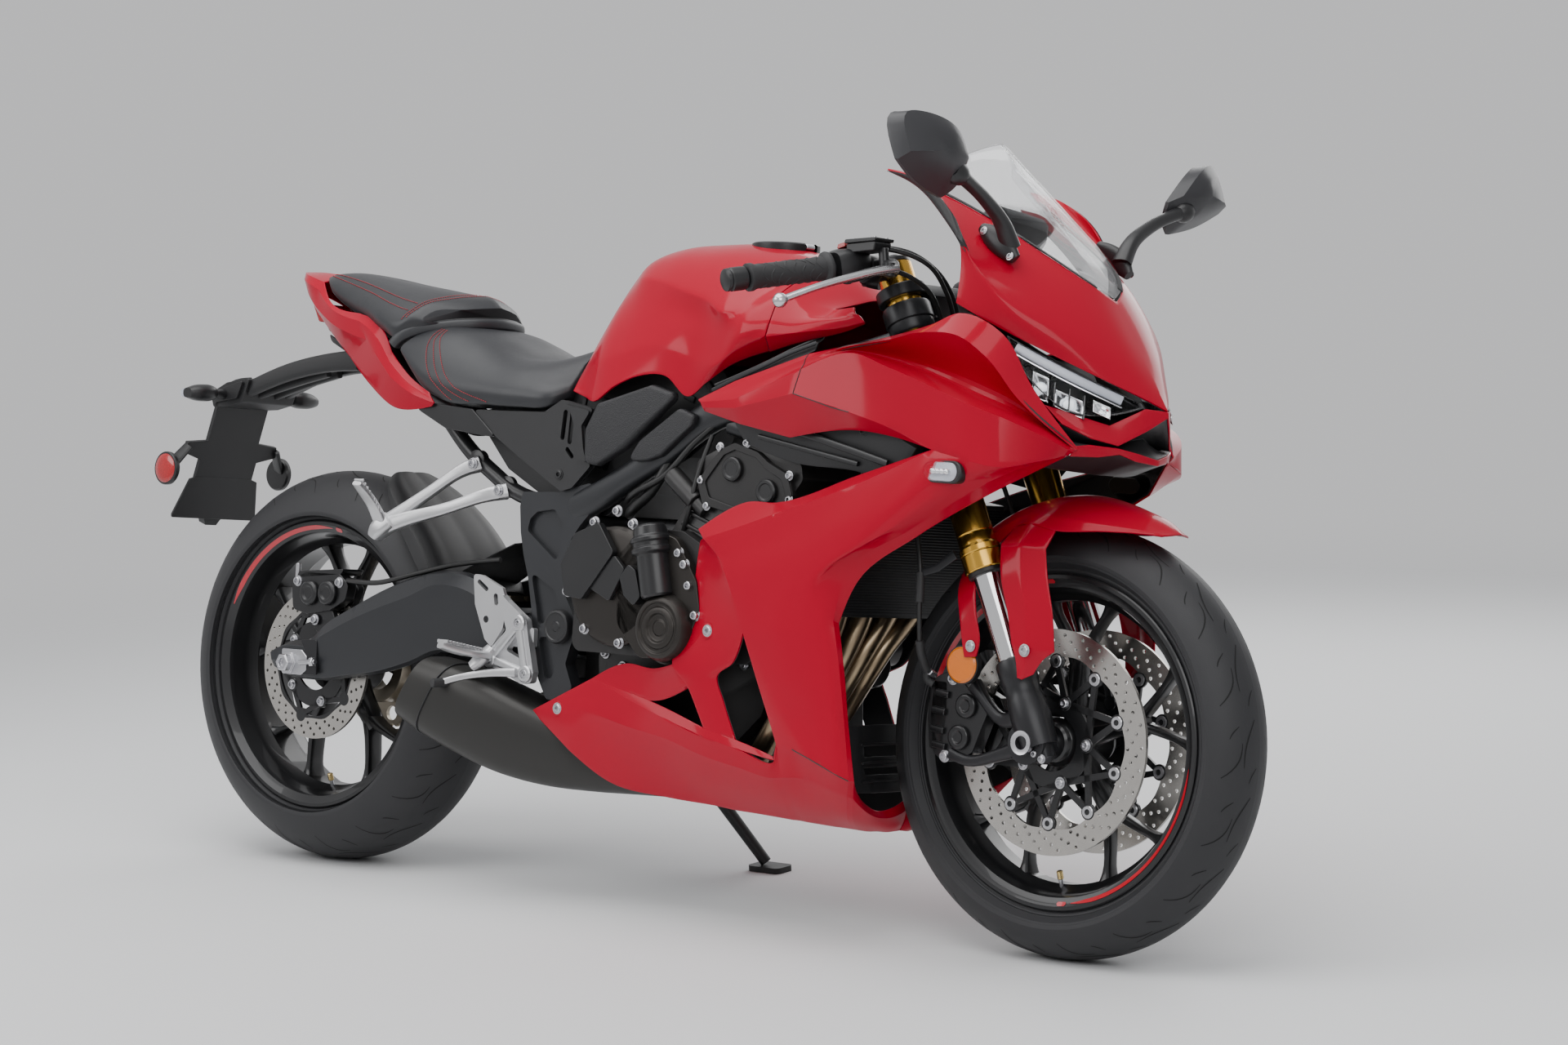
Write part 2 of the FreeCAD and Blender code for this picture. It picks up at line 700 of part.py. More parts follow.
def tail_cowl():
    """Two side panels that meet behind the pillion seat."""
    side = [
        [(-150, -14, 950), (-50, -64, 942), (60, -104, 884), (195, -136, 824), (272, -147, 764)],
        [(-147, -20, 934), (-50, -76, 915), (60, -112, 850), (190, -145, 790), (284, -149, 750)],
        [(-126, -16, 912), (-44, -62, 872), (70, -96, 806), (180, -128, 746), (298, -146, 740)]]
    panels = both(panel([list(reversed(row)) for row in side]))
    bridge = prism([(-150, 951), (-147, 934), (-126, 912), (-118, 912), (-60, 930), (-60, 946)],
                   -16, 16, 3)
    return joined(panels + [bridge])


def undertray():
    """Black tray under the seats, from the battery box to the tail lamp."""
    rows = []
    for y in (-1, 1):
        rows.append([(300, 70 * y, 700), (180, 66 * y, 748), (60, 54 * y, 802),
                     (-50, 30 * y, 843)])
    return panel(rows, 4.0)


def tail_light():
    """Lamp under the tip of the tail."""
    return prism([(-122, 899), (-100, 868), (-62, 864), (-62, 890), (-96, 899)], -30, 30, 4)


def plate_hanger():
    """Twin stays and the tapered board that carries the number plate and rear lamps."""
    arms = []
    for sign in (-1, 1):
        points = [V(8, sign * 24, 804), V(-140, sign * 34, 782), V(-232, sign * 44, 748)]
        arms.append(bar_through(points, [(9, 15), (9, 13), (9, 12)]))
    head = prism([(-215, 772), (-232, 728), (-300, 722), (-300, 748), (-268, 762)], -62, 62, 5)
    top = V(-286, 0, 735)
    slope = V(-66, 0, -201)
    widths = [(0.0, 52), (0.84, 92), (1.0, 60)]
    left = [top + slope * share + V(0, half, 0) for share, half in widths]
    right = [top + slope * share - V(0, half, 0) for share, half in reversed(widths)]
    normal = V(slope.z, 0, -slope.x)
    normal.normalize()
    board = plate(left + right, normal * -8)
    hanger = joined(arms + [head, board])
    for sign in (-1, 1):
        centre = top + slope * 0.62 + V(0, sign * 60.3, 0)
        hanger = hanger.cut(rod(centre - normal * 30, centre + normal * 30, 3))
    return hanger


def rear_signals():
    """Indicator stalks and round reflectors on the plate hanger."""
    lamps = []
    for sign in (-1, 1):
        stalk = rod(V(-268, sign * 62, 744), V(-268, sign * 92, 744), 8)
        lamp = bar_through([V(-268, sign * 88, 744), V(-270, sign * 112, 744),
                            V(-272, sign * 144, 742)], [(17, 13), (19, 14), (12, 8)], V(0, 0, 1))
        lamps.append(joined([stalk, lamp]))
        lamps.append(rod(V(-338, sign * 122, 618), V(-326, sign * 122, 613), 30))
    return Part.makeCompound(lamps)


NOSE = [
    # from the screen's foot down to the lamps, each row from the middle back to the rear edge
    [(1480, 0, 903), (1481, -45, 916), (1458, -82, 937), (1434, -108, 960),
     (1413, -128, 978), (1391, -142, 998), (1351, -150, 1026), (1293, -150, 1042)],
    [(1497, 0, 871), (1505, -48, 879), (1489, -88, 895), (1467, -116, 915),
     (1442, -138, 932), (1412, -152, 950), (1373, -160, 969), (1335, -158, 994)],
    [(1523, 0, 836), (1529, -48, 846), (1514, -88, 863), (1490, -118, 880),
     (1463, -142, 896), (1426, -158, 912), (1387, -168, 927), (1348, -166, 949)],
    [(1551, 0, 796), (1554, -46, 806), (1539, -82, 824), (1513, -112, 841),
     (1478, -136, 857), (1434, -156, 872), (1397, -170, 891), (1355, -174, 913)],
    [(1574, 0, 755), (1571, -36, 762), (1555, -68, 778), (1526, -98, 796),
     (1489, -124, 814), (1437, -148, 839), (1404, -166, 860), (1352, -176, 880)]]

CHIN = [
    # upper and lower edge of the strip under each lamp, from the outside to the middle
    [(1490, -122, 738), (1513, -104, 733), (1535, -82, 726), (1552, -58, 730),
     (1566, -30, 744), (1573, 0, 752)],
    [(1496, -112, 706), (1514, -106, 704), (1534, -84, 700), (1546, -56, 704),
     (1558, -28, 722), (1564, 0, 736)]]


def nose_cowl():
    """Painted nose between the screen and the lamps, and the chin under them."""
    upper = moulding(two_sided([[list(reversed(row)) for row in NOSE]]))
    chin = moulding(two_sided([CHIN]))
    return Part.makeCompound([upper, chin])


SCREEN = [
    # from the foot up to the top edge, each row from the middle outwards
    [(1475, 0, 907), (1472, -58, 922), (1444, -92, 948), (1400, -120, 982), (1370, -128, 1008)],
    [(1424, 0, 970), (1416, -58, 992), (1394, -92, 1018), (1363, -116, 1036),
     (1337, -128, 1036)],
    [(1357, 0, 1039), (1351, -56, 1056), (1334, -90, 1066), (1319, -112, 1070),
     (1308, -124, 1062)],
    [(1267, 0, 1125), (1273, -40, 1120), (1275, -66, 1115), (1278, -88, 1108),
     (1276, -108, 1096)]]
SCREEN_OUT = V(2.2, 0, 3.2)


def windscreen():
    """Clear bubble, seated just above the nose's upper edge."""
    rows = [[tuple(V(*point) + SCREEN_OUT) for point in reversed(row)]
            for row in reversed(SCREEN)]
    return moulding(two_sided([rows]))


def headlights():
    """Two slanted lamp bodies between the nose and the side cowls."""
    lamp = body_of([
        [V(1392, -128, 845), V(1440, -112, 826), V(1440, -108, 812), V(1404, -126, 820)],
        [V(1432, -108, 828), V(1500, -84, 794), V(1500, -80, 752), V(1450, -112, 768)],
        [V(1480, -60, 800), V(1560, -34, 762), V(1540, -34, 742), V(1482, -60, 738)]])
    return Part.makeCompound(both(lamp))


WING = [
    # top edge, valley, upper ridge, lower ridge; from the rear tip to the front tip
    [(888, -184, 750), (959, -188, 777), (1088, -190, 817), (1163, -186, 830), (1233, -184, 843),
     (1302, -182, 860), (1347, -178, 876), (1414, -166, 848), (1453, -146, 778), (1510, -114, 699)],
    [(891, -186, 748), (965, -194, 764), (1092, -196, 807), (1167, -190, 827), (1234, -184, 832),
     (1287, -180, 843), (1338, -176, 842), (1385, -172, 813), (1430, -160, 771), (1508, -116, 697)],
    [(895, -188, 746), (969, -198, 752), (1095, -202, 797), (1175, -200, 823), (1261, -216, 802),
     (1338, -222, 776), (1402, -222, 753), (1446, -206, 736), (1479, -176, 720), (1504, -118, 694)],
    [(900, -188, 738), (972, -200, 738), (1091, -210, 757), (1194, -216, 736), (1270, -220, 716),
     (1345, -222, 688), (1399, -224, 677), (1452, -208, 668), (1482, -176, 677), (1497, -118, 689)]]

WING_UNDER = [
    # lower ridge, then the edge turned in below it
    [(900, -188, 738), (972, -200, 738), (1091, -210, 757), (1194, -216, 736), (1270, -220, 716),
     (1345, -222, 688)],
    [(902, -185, 733), (974, -190, 716), (1068, -190, 699), (1190, -201, 712), (1262, -208, 705),
     (1345, -222, 688)]]

FLANGE = [
    # top edge of the lower panel, then the crease below it
    [(911, -196, 564), (994, -188, 606), (1053, -195, 607), (1205, -203, 650), (1345, -222, 688)],
    [(928, -204, 551), (1000, -209, 571), (1070, -214, 592), (1217, -218, 638), (1345, -222, 688)]]

LOWER = [
    # from the top crease down to the seam; each row from the rear edge to the front edge
    [(928, -204, 551), (1000, -209, 571), (1070, -214, 592), (1217, -218, 638), (1345, -222, 688),
     (1399, -224, 677), (1452, -208, 668), (1482, -176, 677), (1497, -118, 689)],
    [(961, -206, 526), (1020, -212, 540), (1074, -216, 553), (1180, -221, 578), (1265, -223, 604),
     (1330, -222, 628), (1395, -212, 645), (1424, -196, 648), (1434, -170, 644)],
    [(975, -208, 505), (1018, -213, 513), (1062, -217, 521), (1140, -221, 538), (1200, -222, 553),
     (1250, -220, 566), (1295, -210, 583), (1304, -198, 582), (1300, -186, 570)],
    [(998, -208, 458), (1024, -212, 462), (1050, -215, 466), (1090, -219, 474), (1120, -220, 481),
     (1148, -219, 490), (1171, -212, 508), (1189, -201, 509), (1203, -190, 503)],
    [(1014, -207, 421), (1033, -210, 424), (1052, -213, 426), (1085, -217, 430),
     (1115, -218, 436), (1143, -217, 441), (1164, -212, 446), (1175, -204, 447),
     (1177, -194, 444)],
    [(1042, -203, 354), (1058, -206, 356), (1073, -208, 358), (1103, -211, 362),
     (1130, -212, 365), (1157, -211, 368), (1179, -207, 372), (1189, -201, 374),
     (1190, -192, 375)],
    [(1066, -198, 295), (1078, -201, 297), (1090, -203, 298), (1117, -205, 300),
     (1143, -206, 301), (1168, -206, 302), (1191, -202, 303), (1198, -196, 302),
     (1199, -188, 302)],
    [(1076, -196, 270), (1092, -198, 267), (1110, -200, 264), (1143, -203, 254),
     (1160, -203, 248), (1173, -203, 243), (1197, -199, 233), (1208, -193, 228),
     (1212, -186, 228)]]

LIMB = [
    # the layer behind: down from the top rear corner to the belly; rear edge, middle, front edge
    [(917, -200, 547), (922, -202, 549), (928, -204, 551)],
    [(913, -200, 520), (936, -204, 524), (961, -206, 526)],
    [(910, -200, 494), (943, -204, 500), (975, -208, 505)],
    [(904, -198, 446), (947, -204, 452), (998, -208, 458)],
    [(897, -197, 415), (945, -203, 419), (1014, -207, 421)],
    [(872, -193, 368), (935, -199, 373), (990, -198, 378)],
    [(900, -188, 336), (925, -190, 345), (955, -190, 354)],
    [(916, -187, 309), (942, -189, 316), (968, -189, 322)],
    [(931, -186, 281), (962, -188, 275), (993, -187, 269)]]

ARM = [
    # the layer's branch back to the belly's rear corner: upper edge, lower edge
    [(685, -158, 336), (757, -168, 362), (825, -180, 359), (872, -193, 368)],
    [(685, -158, 336), (770, -168, 320), (812, -172, 312), (900, -188, 336)]]

RIDGE = [
    # sill below the openings: inner edge, then the crease above the belly's face
    [(685, -158, 336), (770, -168, 320), (812, -172, 312), (931, -186, 281), (962, -188, 275),
     (993, -187, 269), (1065, -188, 251)],
    [(685, -158, 336), (781, -172, 307), (855, -182, 288), (932, -188, 268), (962, -189, 263),
     (1000, -190, 256), (1072, -192, 246)]]

BELLY = [
    # the face below the sill, from the rear tip forward and round to the middle at the front
    [(556, -146, 280), (685, -158, 336), (781, -172, 307), (855, -182, 288), (932, -188, 268),
     (962, -189, 263), (1000, -190, 256), (1072, -192, 246), (1076, -196, 270),
     (1092, -198, 267), (1110, -200, 264), (1143, -203, 254), (1160, -203, 248),
     (1173, -203, 243), (1197, -199, 233), (1208, -193, 228), (1212, -186, 228),
     (1191, -150, 208), (1174, -110, 191), (1163, -66, 180), (1158, -30, 183), (1157, -0.5, 193)],
    [(556, -146, 279), (667, -158, 290), (772, -168, 270), (852, -176, 259), (927, -180, 241),
     (960, -181, 235), (999, -182, 229), (1060, -182, 220), (1078, -183, 222),
     (1090, -184, 223), (1108, -184, 224), (1134, -184, 220), (1150, -184, 217),
     (1166, -183, 213), (1184, -179, 208), (1192, -175, 205), (1197, -168, 202),
     (1188, -130, 184), (1177, -90, 173), (1169, -50, 170), (1164, -22, 173), (1161, -0.5, 179)],
    [(556, -146, 278), (652, -154, 258), (742, -150, 226), (832, -150, 213), (904, -150, 201),
     (940, -150, 197), (974, -150, 193), (1040, -150, 188), (1058, -150, 187),
     (1070, -149, 186), (1084, -148, 184), (1108, -146, 181), (1122, -144, 179),
     (1136, -141, 177), (1152, -136, 174), (1160, -132, 172), (1164, -124, 170),
     (1162, -100, 164), (1162, -70, 159), (1162, -40, 158), (1162, -18, 160), (1158, -0.5, 162)],
    [(556, -146, 277), (637, -148, 225), (711, -136, 184), (820, -124, 170), (908, -116, 165),
     (940, -113, 162), (967, -112, 161), (1025, -108, 158), (1040, -106, 157),
     (1052, -105, 157), (1064, -104, 156), (1084, -102, 155), (1096, -98, 154),
     (1108, -93, 153), (1120, -85, 152), (1126, -79, 151), (1131, -72, 150),
     (1137, -56, 148), (1142, -40, 148), (1146, -24, 147), (1149, -12, 148), (1150, -0.5, 149)]]


def side_cowl():
    """Right-hand cowl: wing, lower panel, the open layer behind it and the belly."""
    return moulding([WING, WING_UNDER, FLANGE, LOWER, LIMB, ARM, RIDGE, BELLY])


def belly_tray():
    """Black insert at the front foot of the fairing, behind the front wheel."""
    rows = []
    for z, half_width in ((300, 150), (250, 140), (205, 118)):
        rows.append([(min(wheel_clear_x(y, z), 1160), y, z)
                     for y in (-half_width, -0.5 * half_width, 0, 0.5 * half_width, half_width)])
    return moulding([rows])


def wheel_clear_x(y, z):
    """How far forward a part may reach at (y, z) behind the front wheel, at any steering."""
    drop = z - FRONT_AXLE_Z
    tyre_back = WHEELBASE - math.sqrt(FRONT_AXLE_Z ** 2 - drop ** 2)
    axis_x = on_steering(z).x
    reach = axis_x - tyre_back
    return axis_x - math.sqrt(reach ** 2 - y ** 2) - WHEEL_GAP


def inner_ducts():
    """Black panels behind the wing opening and the air ducts beside the tank."""
    duct = panel([
        [(1290, -186, 690), (1180, -178, 730), (1050, -172, 742), (930, -166, 736)],
        [(1250, -176, 640), (1170, -168, 656), (1060, -164, 664), (960, -160, 690)]])
    top = panel([
        [(1085, -148, 843), (1000, -162, 806), (900, -162, 770)],
        [(1085, -166, 823), (1000, -174, 788), (900, -168, 752)]])
    return Part.makeCompound(both(duct) + both(top))


def dash():
    """Instrument housing and the black cockpit panel round it."""
    meter = plate([V(1262, -78, 985), V(1262, 78, 985), V(1318, 78, 1040), V(1318, -78, 1040)],
                  V(14, 0, -14), 10)
    tray = plate([V(1262, -86, 938), V(1262, 86, 938), V(1420, 74, 852), V(1420, -74, 852)],
                 V(-1.5, 0, -3))
    return Part.makeCompound([meter, tray])


def mirrors():
    """Angular mirror heads on stalks with their feet on the nose."""
    heads = []
    corners = [(1353, -352, 1062), (1338, -332, 1127), (1395, -300, 1113), (1408, -268, 1066),
               (1384, -278, 1022)]
    front = [V(x + 26, y + 2, z * 0.6 + 1078 * 0.4) for x, y, z in corners]
    middle = [V(x + 12, y, z) for x, y, z in corners]
    back = [V(x, y, z) for x, y, z in corners]
    heads.append(body_of([back, middle, front]))
    stalk = bar_through([V(1376, -118, 972), V(1382, -150, 1000), V(1396, -240, 1046),
                         V(1400, -290, 1056)], [(15, 12), (10, 8), (9, 8), (12, 12)], V(1, 0, 0))
    foot = bar_through([V(1350, -136, 990), V(1376, -130, 972), V(1404, -122, 948)],
                       [(5, 10), (6, 16), (5, 8)], V(1, 0, 0))
    piece = joined(heads + [stalk, foot])
    return Part.makeCompound(both(piece))


def front_signals():
    base = bar_through([V(1372, -202, 656), V(1364, -222, 659)], [(24, 18), (20, 15)], V(1, 0, 0))
    lamp = bar_through([V(1366, -216, 659), V(1362, -246, 660)], [(30, 13), (24, 9)], V(1, 0, 0))
    return Part.makeCompound(both(joined([base, lamp])))


def side_covers():
    """Black panels under the rider's seat and the pads the knees rest on."""
    cover = prism([(335, 742), (470, 722), (600, 742), (650, 700), (640, 628), (585, 612),
                   (520, 660), (380, 690)], -141, -136, 8)
    pad = prism([(648, 655), (660, 738), (770, 768), (808, 752), (735, 690)], -158, -143, 8)
    low_pad = prism([(728, 660), (752, 690), (828, 742), (856, 728), (800, 690)], -158, -145, 6)
    return Part.makeCompound(both(cover) + both(pad) + both(low_pad))


# ---- foot rests, stand, brakes -----------------------------------------------------------
def rider_rest():
    """Right footrest plate with its peg; the left one is its mirror."""
    base = prism([(420, 470), (452, 476), (548, 420), (556, 322), (500, 308), (450, 326),
                  (432, 400)], -152, -142, 8)
    base = base.cut(prism([(452, 440), (505, 405), (500, 350), (462, 360)], -160, -135, 8))
    peg = bar_through([V(474, -152, 352), V(470, -170, 352), V(448, -236, 366)],
                      [(10, 10), (12, 10), (11, 8)], V(1, 0, 0))
    lug = box(500, 548, -142, -134.3, 372, 402)
    return joined([base, peg, lug])


def foot_pedal():
    """Brake pedal on the right; the gear pedal on the left is its mirror."""
    return pipe([V(520, -162, 338), V(470, -170, 326), V(424, -186, 306), V(420, -214, 310)], 6, 20)


def pillion_rests():
    """Cast stays that carry the passenger's pegs."""
    upper = [V(376, -104, 650), V(320, -150, 592), V(262, -186, 548)]
    lower = [V(452, -112, 602), V(350, -160, 568), V(262, -186, 548)]
    arms = [bar_through(upper, [(7, 12), (8, 11), (10, 13)]),
            bar_through(lower, [(7, 12), (8, 11), (10, 13)])]
    peg = bar_through([V(258, -180, 548), V(268, -210, 574), V(272, -262, 604)],
                      [(13, 13), (12, 11), (10, 9)], V(1, 0, 0))
    return Part.makeCompound(both(joined(arms + [peg])))


def side_stand():
    """Sprung leg with its foot, on the left."""
    leg = rod(STAND_PIVOT, STAND_FOOT + V(-3, -4, 8), 11, 9)
    boss = rod(STAND_PIVOT - STAND_AXIS * 9, STAND_PIVOT + STAND_AXIS * 7, 14)
    up = V(0, -math.sin(math.radians(LEAN)), math.cos(math.radians(LEAN)))
    across = V(0, math.cos(math.radians(LEAN)), math.sin(math.radians(LEAN)))
    base = ground_point(694.0, 262.0)
    corners = [base + V(-30, 0, 0) - across * 20, base + V(34, 0, 0) - across * 20,
               base + V(34, 0, 0) + across * 20, base + V(-30, 0, 0) + across * 20]
    foot = plate(corners, up * 9, 10)
    return joined([leg, boss, foot])


def ground_point(x, y):
    """The point on the leaned ground plane at (x, y), in the upright frame."""
    lean = math.radians(LEAN)
    return V(x, y * math.cos(lean) + LIFT * math.sin(lean), y * math.sin(lean) - LIFT * math.cos(lean))


def rear_caliper():
    body = prism([(48, 412), (110, 420), (132, 400), (118, 372), (60, 372)], -96, -78, 6)
    inner = prism([(52, 410), (108, 416), (124, 400), (112, 378), (64, 378)], -66, -54, 5)
    bridge = prism([(60, 424), (100, 428), (104, 437), (62, 434)], -96, -54, 2)
    straps = [prism([(60, 408), (100, 412), (104, 437), (62, 434)], -96, -88, 2),
              prism([(60, 408), (100, 412), (104, 437), (62, 434)], -62, -54, 2)]
    return joined([body, inner, bridge] + straps)


# ---- steering ----------------------------------------------------------------------------
def fork_tubes():
    """Anodised outer tubes with their lower seal collars."""
    tubes = []
    for sign in (-1, 1):
        high = on_fork(FORK_TOP, sign * FORK_Y)
        step = on_fork(262, sign * FORK_Y)
        low = on_fork(228, sign * FORK_Y)
        tubes.append(joined([rod(step, high, FORK_R), rod(low, step, 29)]))
    return Part.makeCompound(tubes)


def fork_legs():
    """Chromed sliders, axle lugs and their caliper ears."""
    legs = []
    for sign in (-1, 1):
        side = sign * FORK_Y
        slider = rod(on_fork(60, side), on_fork(228, side), 20.5)
        lug = rod(on_fork(-10, side), on_fork(118, side), 26)
        eye = disc(WHEELBASE, FRONT_AXLE_Z, 30, side - 17, side + 17)
        legs.append(joined([slider, lug, eye]).cut(
            disc(WHEELBASE, FRONT_AXLE_Z, FRONT_BORE_R, side - 30, side + 30)))
    return Part.makeCompound(legs)


def triple_clamps():
    """Upper and lower fork bridges with the stem."""
    parts = []
    for z_on_axis, thickness in ((742.0, 26.0), (888.0, 18.0)):
        centre = on_steering(z_on_axis)
        legs = [centre - FORK_BACK * FORK_OFFSET + V(0, side, 0) for side in (-FORK_Y, FORK_Y)]
        base = FORK_DIR * (-thickness / 2)
        for leg in legs:
            parts.append(rod(leg + base, leg - base, 36))
        outline = [centre + FORK_BACK * 34 + V(0, -34, 0), centre + FORK_BACK * 34 + V(0, 34, 0),
                   legs[1] + FORK_BACK * 30, legs[1] - FORK_BACK * 26,
                   legs[0] - FORK_BACK * 26, legs[0] + FORK_BACK * 30]
        parts.append(plate([p + base for p in outline], FORK_DIR * thickness, 14))
    parts.append(rod(on_steering(742), on_steering(888), STEM_R))
    clamps = joined(parts)
    for sign in (-1, 1):
        bore = rod(on_fork(380, sign * FORK_Y), on_fork(FORK_TOP, sign * FORK_Y), FORK_R)
        clamps = clamps.cut(bore)
    return clamps


def handlebars():
    """Clip-on bars with their grips."""
    bars = []
    for sign in (-1, 1):
        clamp = rod(on_fork(622, sign * FORK_Y), on_fork(FORK_TOP, sign * FORK_Y), 35)
        start = V(1176, sign * 124, 938)
        inner = V(1151, sign * 228, 934)
        end = V(1090, sign * 372, 905)
        tube = rod(start, end, 11)
        grip = rod(inner, end, 17)
        bar = joined([clamp, tube, grip])
        leg = rod(on_fork(600, sign * FORK_Y), on_fork(670, sign * FORK_Y), FORK_R)
        bars.append(bar.cut(leg))
    return Part.makeCompound(bars)


def hand_controls():
    """Levers, their perches, the brake fluid pot and the switch boxes."""
    pieces = []
    for sign in (-1, 1):
        lever = bar_through([V(1236, sign * 196, 932), V(1222, sign * 262, 918),
                             V(1192, sign * 368, 880)], [(5, 9), (5, 9), (5, 7)], V(0, 0, 1))
        ball = Part.makeSphere(10, V(1190, sign * 372, 878))
        perch = rod(V(1205, sign * 176, 938), V(1240, sign * 204, 934), 13)
        box_centre = V(1162, sign * 196, 938)
        switches = rod(box_centre + V(8, sign * -22, 5), box_centre + V(-8, sign * 22, -5), 26)
        switches = switches.cut(rod(V(1176, sign * 124, 938), V(1090, sign * 372, 905), 11))
        pieces.append(joined([lever, ball, perch]))
        pieces.append(switches)
    pot = prism([(1190, 960), (1232, 966), (1235, 983), (1188, 979)], -210, -168, 4)
    stem = rod(V(1222, -190, 934), V(1216, -190, 964), 6)
    return Part.makeCompound([joined([pieces[0], pot, stem])] + pieces[1:])


def front_fender():
    """Mudguard over the front wheel with side blades down to the fork lugs."""
    crown = [
        [(1290, -70, 520), (1320, -71, 560), (1384, -72, 600), (1460, -88, 604),
         (1540, -76, 602), (1600, -30, 590)],
        [(1288, -52, 548), (1330, -54, 592), (1390, -54, 622), (1460, -60, 632),
         (1540, -50, 618), (1603, -20, 592)],
        [(1286, 0, 560), (1330, 0, 602), (1390, 0, 630), (1460, 0, 640),
         (1540, 0, 625), (1606, 0, 594)]]
    half = panel([list(reversed(row)) for row in crown][::-1])
    blade = panel([
        [(1400, -76, 602), (1440, -90, 604), (1476, -92, 604)],
        [(1402, -112, 566), (1436, -124, 566), (1474, -118, 564)],
        [(1430, -131, 480), (1452, -132, 484), (1486, -122, 490)],
        [(1440, -132, 384), (1462, -131, 392), (1490, -122, 424)]][::-1])
    return Part.makeCompound([joined(both(half))] + both(blade))


def front_calipers():
    """Radial four-piston calipers behind the fork legs."""
    pieces = []
    for sign in (-1, 1):
        outline = [(1270, 372), (1312, 368), (1358, 346), (1362, 322), (1334, 276), (1268, 272)]
        outer = prism(outline, *sorted((sign * 62, sign * 92)), 10)
        inner = prism(outline, *sorted((sign * 28, sign * 46)), 10)
        bridge = [(1268, 376), (1284, 376), (1290, 330), (1288, 276), (1266, 270)]
        back = prism(bridge, *sorted((sign * 28, sign * 92)), 4)
        pieces.append(joined([outer, inner, back]))
    return Part.makeCompound(pieces)


def front_axle():
    """Hollow front spindle, open at both ends."""
    return ring(WHEELBASE, FRONT_AXLE_Z, FRONT_AXLE_R, 9.5, -124, 124)


HOSE_R = 3.5


def brake_hoses():
    """Brake lines from the lower bridge down to each front caliper."""
    hoses = []
    for sign in (-1, 1):
        points = [V(1222, sign * 60, 712), V(1228, sign * 96, 650), V(1252, sign * 118, 580),
                  V(1282, sign * 126, 500), V(1292, sign * 118, 440), V(1284, sign * 80, 378)]
        hoses.append(pipe(points, HOSE_R, 80))
    return Part.makeCompound(hoses)


# ---- assembly ----------------------------------------------------------------------------
def model():
    """Every node by name, in the upright frame."""
    cowl = side_cowl()
    rest = rider_rest()
    left_rest = mirrored(rest)
    left_rest.translate(V(0, LEFT_REST_SHIFT, 0))
    pedal = foot_pedal()
    left_pedal = mirrored(pedal)
    left_pedal.translate(V(0, LEFT_REST_SHIFT, 0))
    motor = engine()
    nose = nose_cowl()
    screen = windscreen()
    frame = main_frame()
    return {
        "main_frame": frame,
        "rear_subframe": rear_subframe(),
        "swingarm": swingarm(),
        "rear_axle": rear_axle(),
        "pivot_bolt": pivot_bolt(),
        "chain": chain(),
        "rear_hugger": rear_hugger(),
        "rear_shock": rear_shock(),
        "engine": motor,
        "engine_covers": engine_covers().cut(motor),
        "radiator": radiator(),
        "exhaust_headers": exhaust_headers(),
        "silencer": silencer(),
        "fuel_tank": fuel_tank().cut(frame),
        "rider_seat": symmetric_body(RIDER_SEAT),
        "pillion_seat": symmetric_body(PILLION_SEAT),
        "tail_cowl": tail_cowl(),
        "undertray": undertray(),
        "tail_light": tail_light(),
        "plate_hanger": plate_hanger(),
        "rear_signals": rear_signals(),
        "nose_cowl": nose,
        "windscreen": screen,
        "headlights": headlights(),
        "side_cowl_right": cowl,
        "side_cowl_left": mirrored(cowl),
        "belly_tray": belly_tray(),
        "inner_ducts": inner_ducts(),
        "dash": dash(),
        "mirrors": mirrors().cut(nose).cut(screen),
        "front_signals": front_signals().cut(cowl).cut(mirrored(cowl)),
        "side_covers": side_covers(),
        "rider_rest_right": rest,
        "rider_rest_left": left_rest,
        "foot_pedals": Part.makeCompound([pedal, left_pedal]),
        "pillion_rests": pillion_rests(),
        "rear_caliper": rear_caliper(),
        "side_stand": side_stand(),
        "fuel_cap": fuel_cap(),
        "fork_tubes": fork_tubes(),
        "fork_legs": fork_legs(),
        "triple_clamps": triple_clamps(),
        "handlebars": handlebars(),
        "hand_controls": hand_controls(),
        "front_fender": front_fender(),
        "front_calipers": front_calipers(),
        "front_axle": front_axle(),
        "brake_hoses": brake_hoses(),
        "front_rim": wheel_rim(WHEELBASE, FRONT_AXLE_Z, 49, 60, 5, 13, 34, FRONT_BORE_R),
        "front_tyre": tyre(WHEELBASE, FRONT_AXLE_Z, 299, 60, 255, 43.6),
        "front_discs": front_discs(),
        "rear_rim": wheel_rim(0, REAR_AXLE_Z, 75, 60, 5, 17, 42, 10.2),
        "rear_tyre": tyre(0, REAR_AXLE_Z, 314, 90, 244, 69.6),
        "rear_disc": brake_disc(0, REAR_AXLE_Z, REAR_DISC_Y, REAR_DISC_R, 88.0, 56.0, 5.0),
        "rear_sprocket": rear_sprocket(),
    }


def parked(nodes):
    """The same nodes leaned onto the stand, with the origin under the middle."""
    for shape in nodes.values():
        shape.rotate(V(0, 0, 0), V(1, 0, 0), -LEAN)
        shape.translate(V(0, 0, LIFT))
    total = FreeCAD.BoundBox()
    for shape in nodes.values():
        total.add(shape.optimalBoundingBox(False, False))
    shift = V(-total.Center.x, -total.Center.y, -total.ZMin)
    for shape in nodes.values():
        shape.translate(shift)
    return shift


def main():
    nodes = model()
    shift = parked(nodes)
    print("shift", round(shift.x, 3), round(shift.y, 3), round(shift.z, 3))
    os.makedirs("parts", exist_ok=True)
    for name, shape in nodes.items():
        if not shape.isValid():
            print("not valid:", name)
        shape.exportStep("parts/" + name + ".step")


if __name__ == "__main__":
    main()
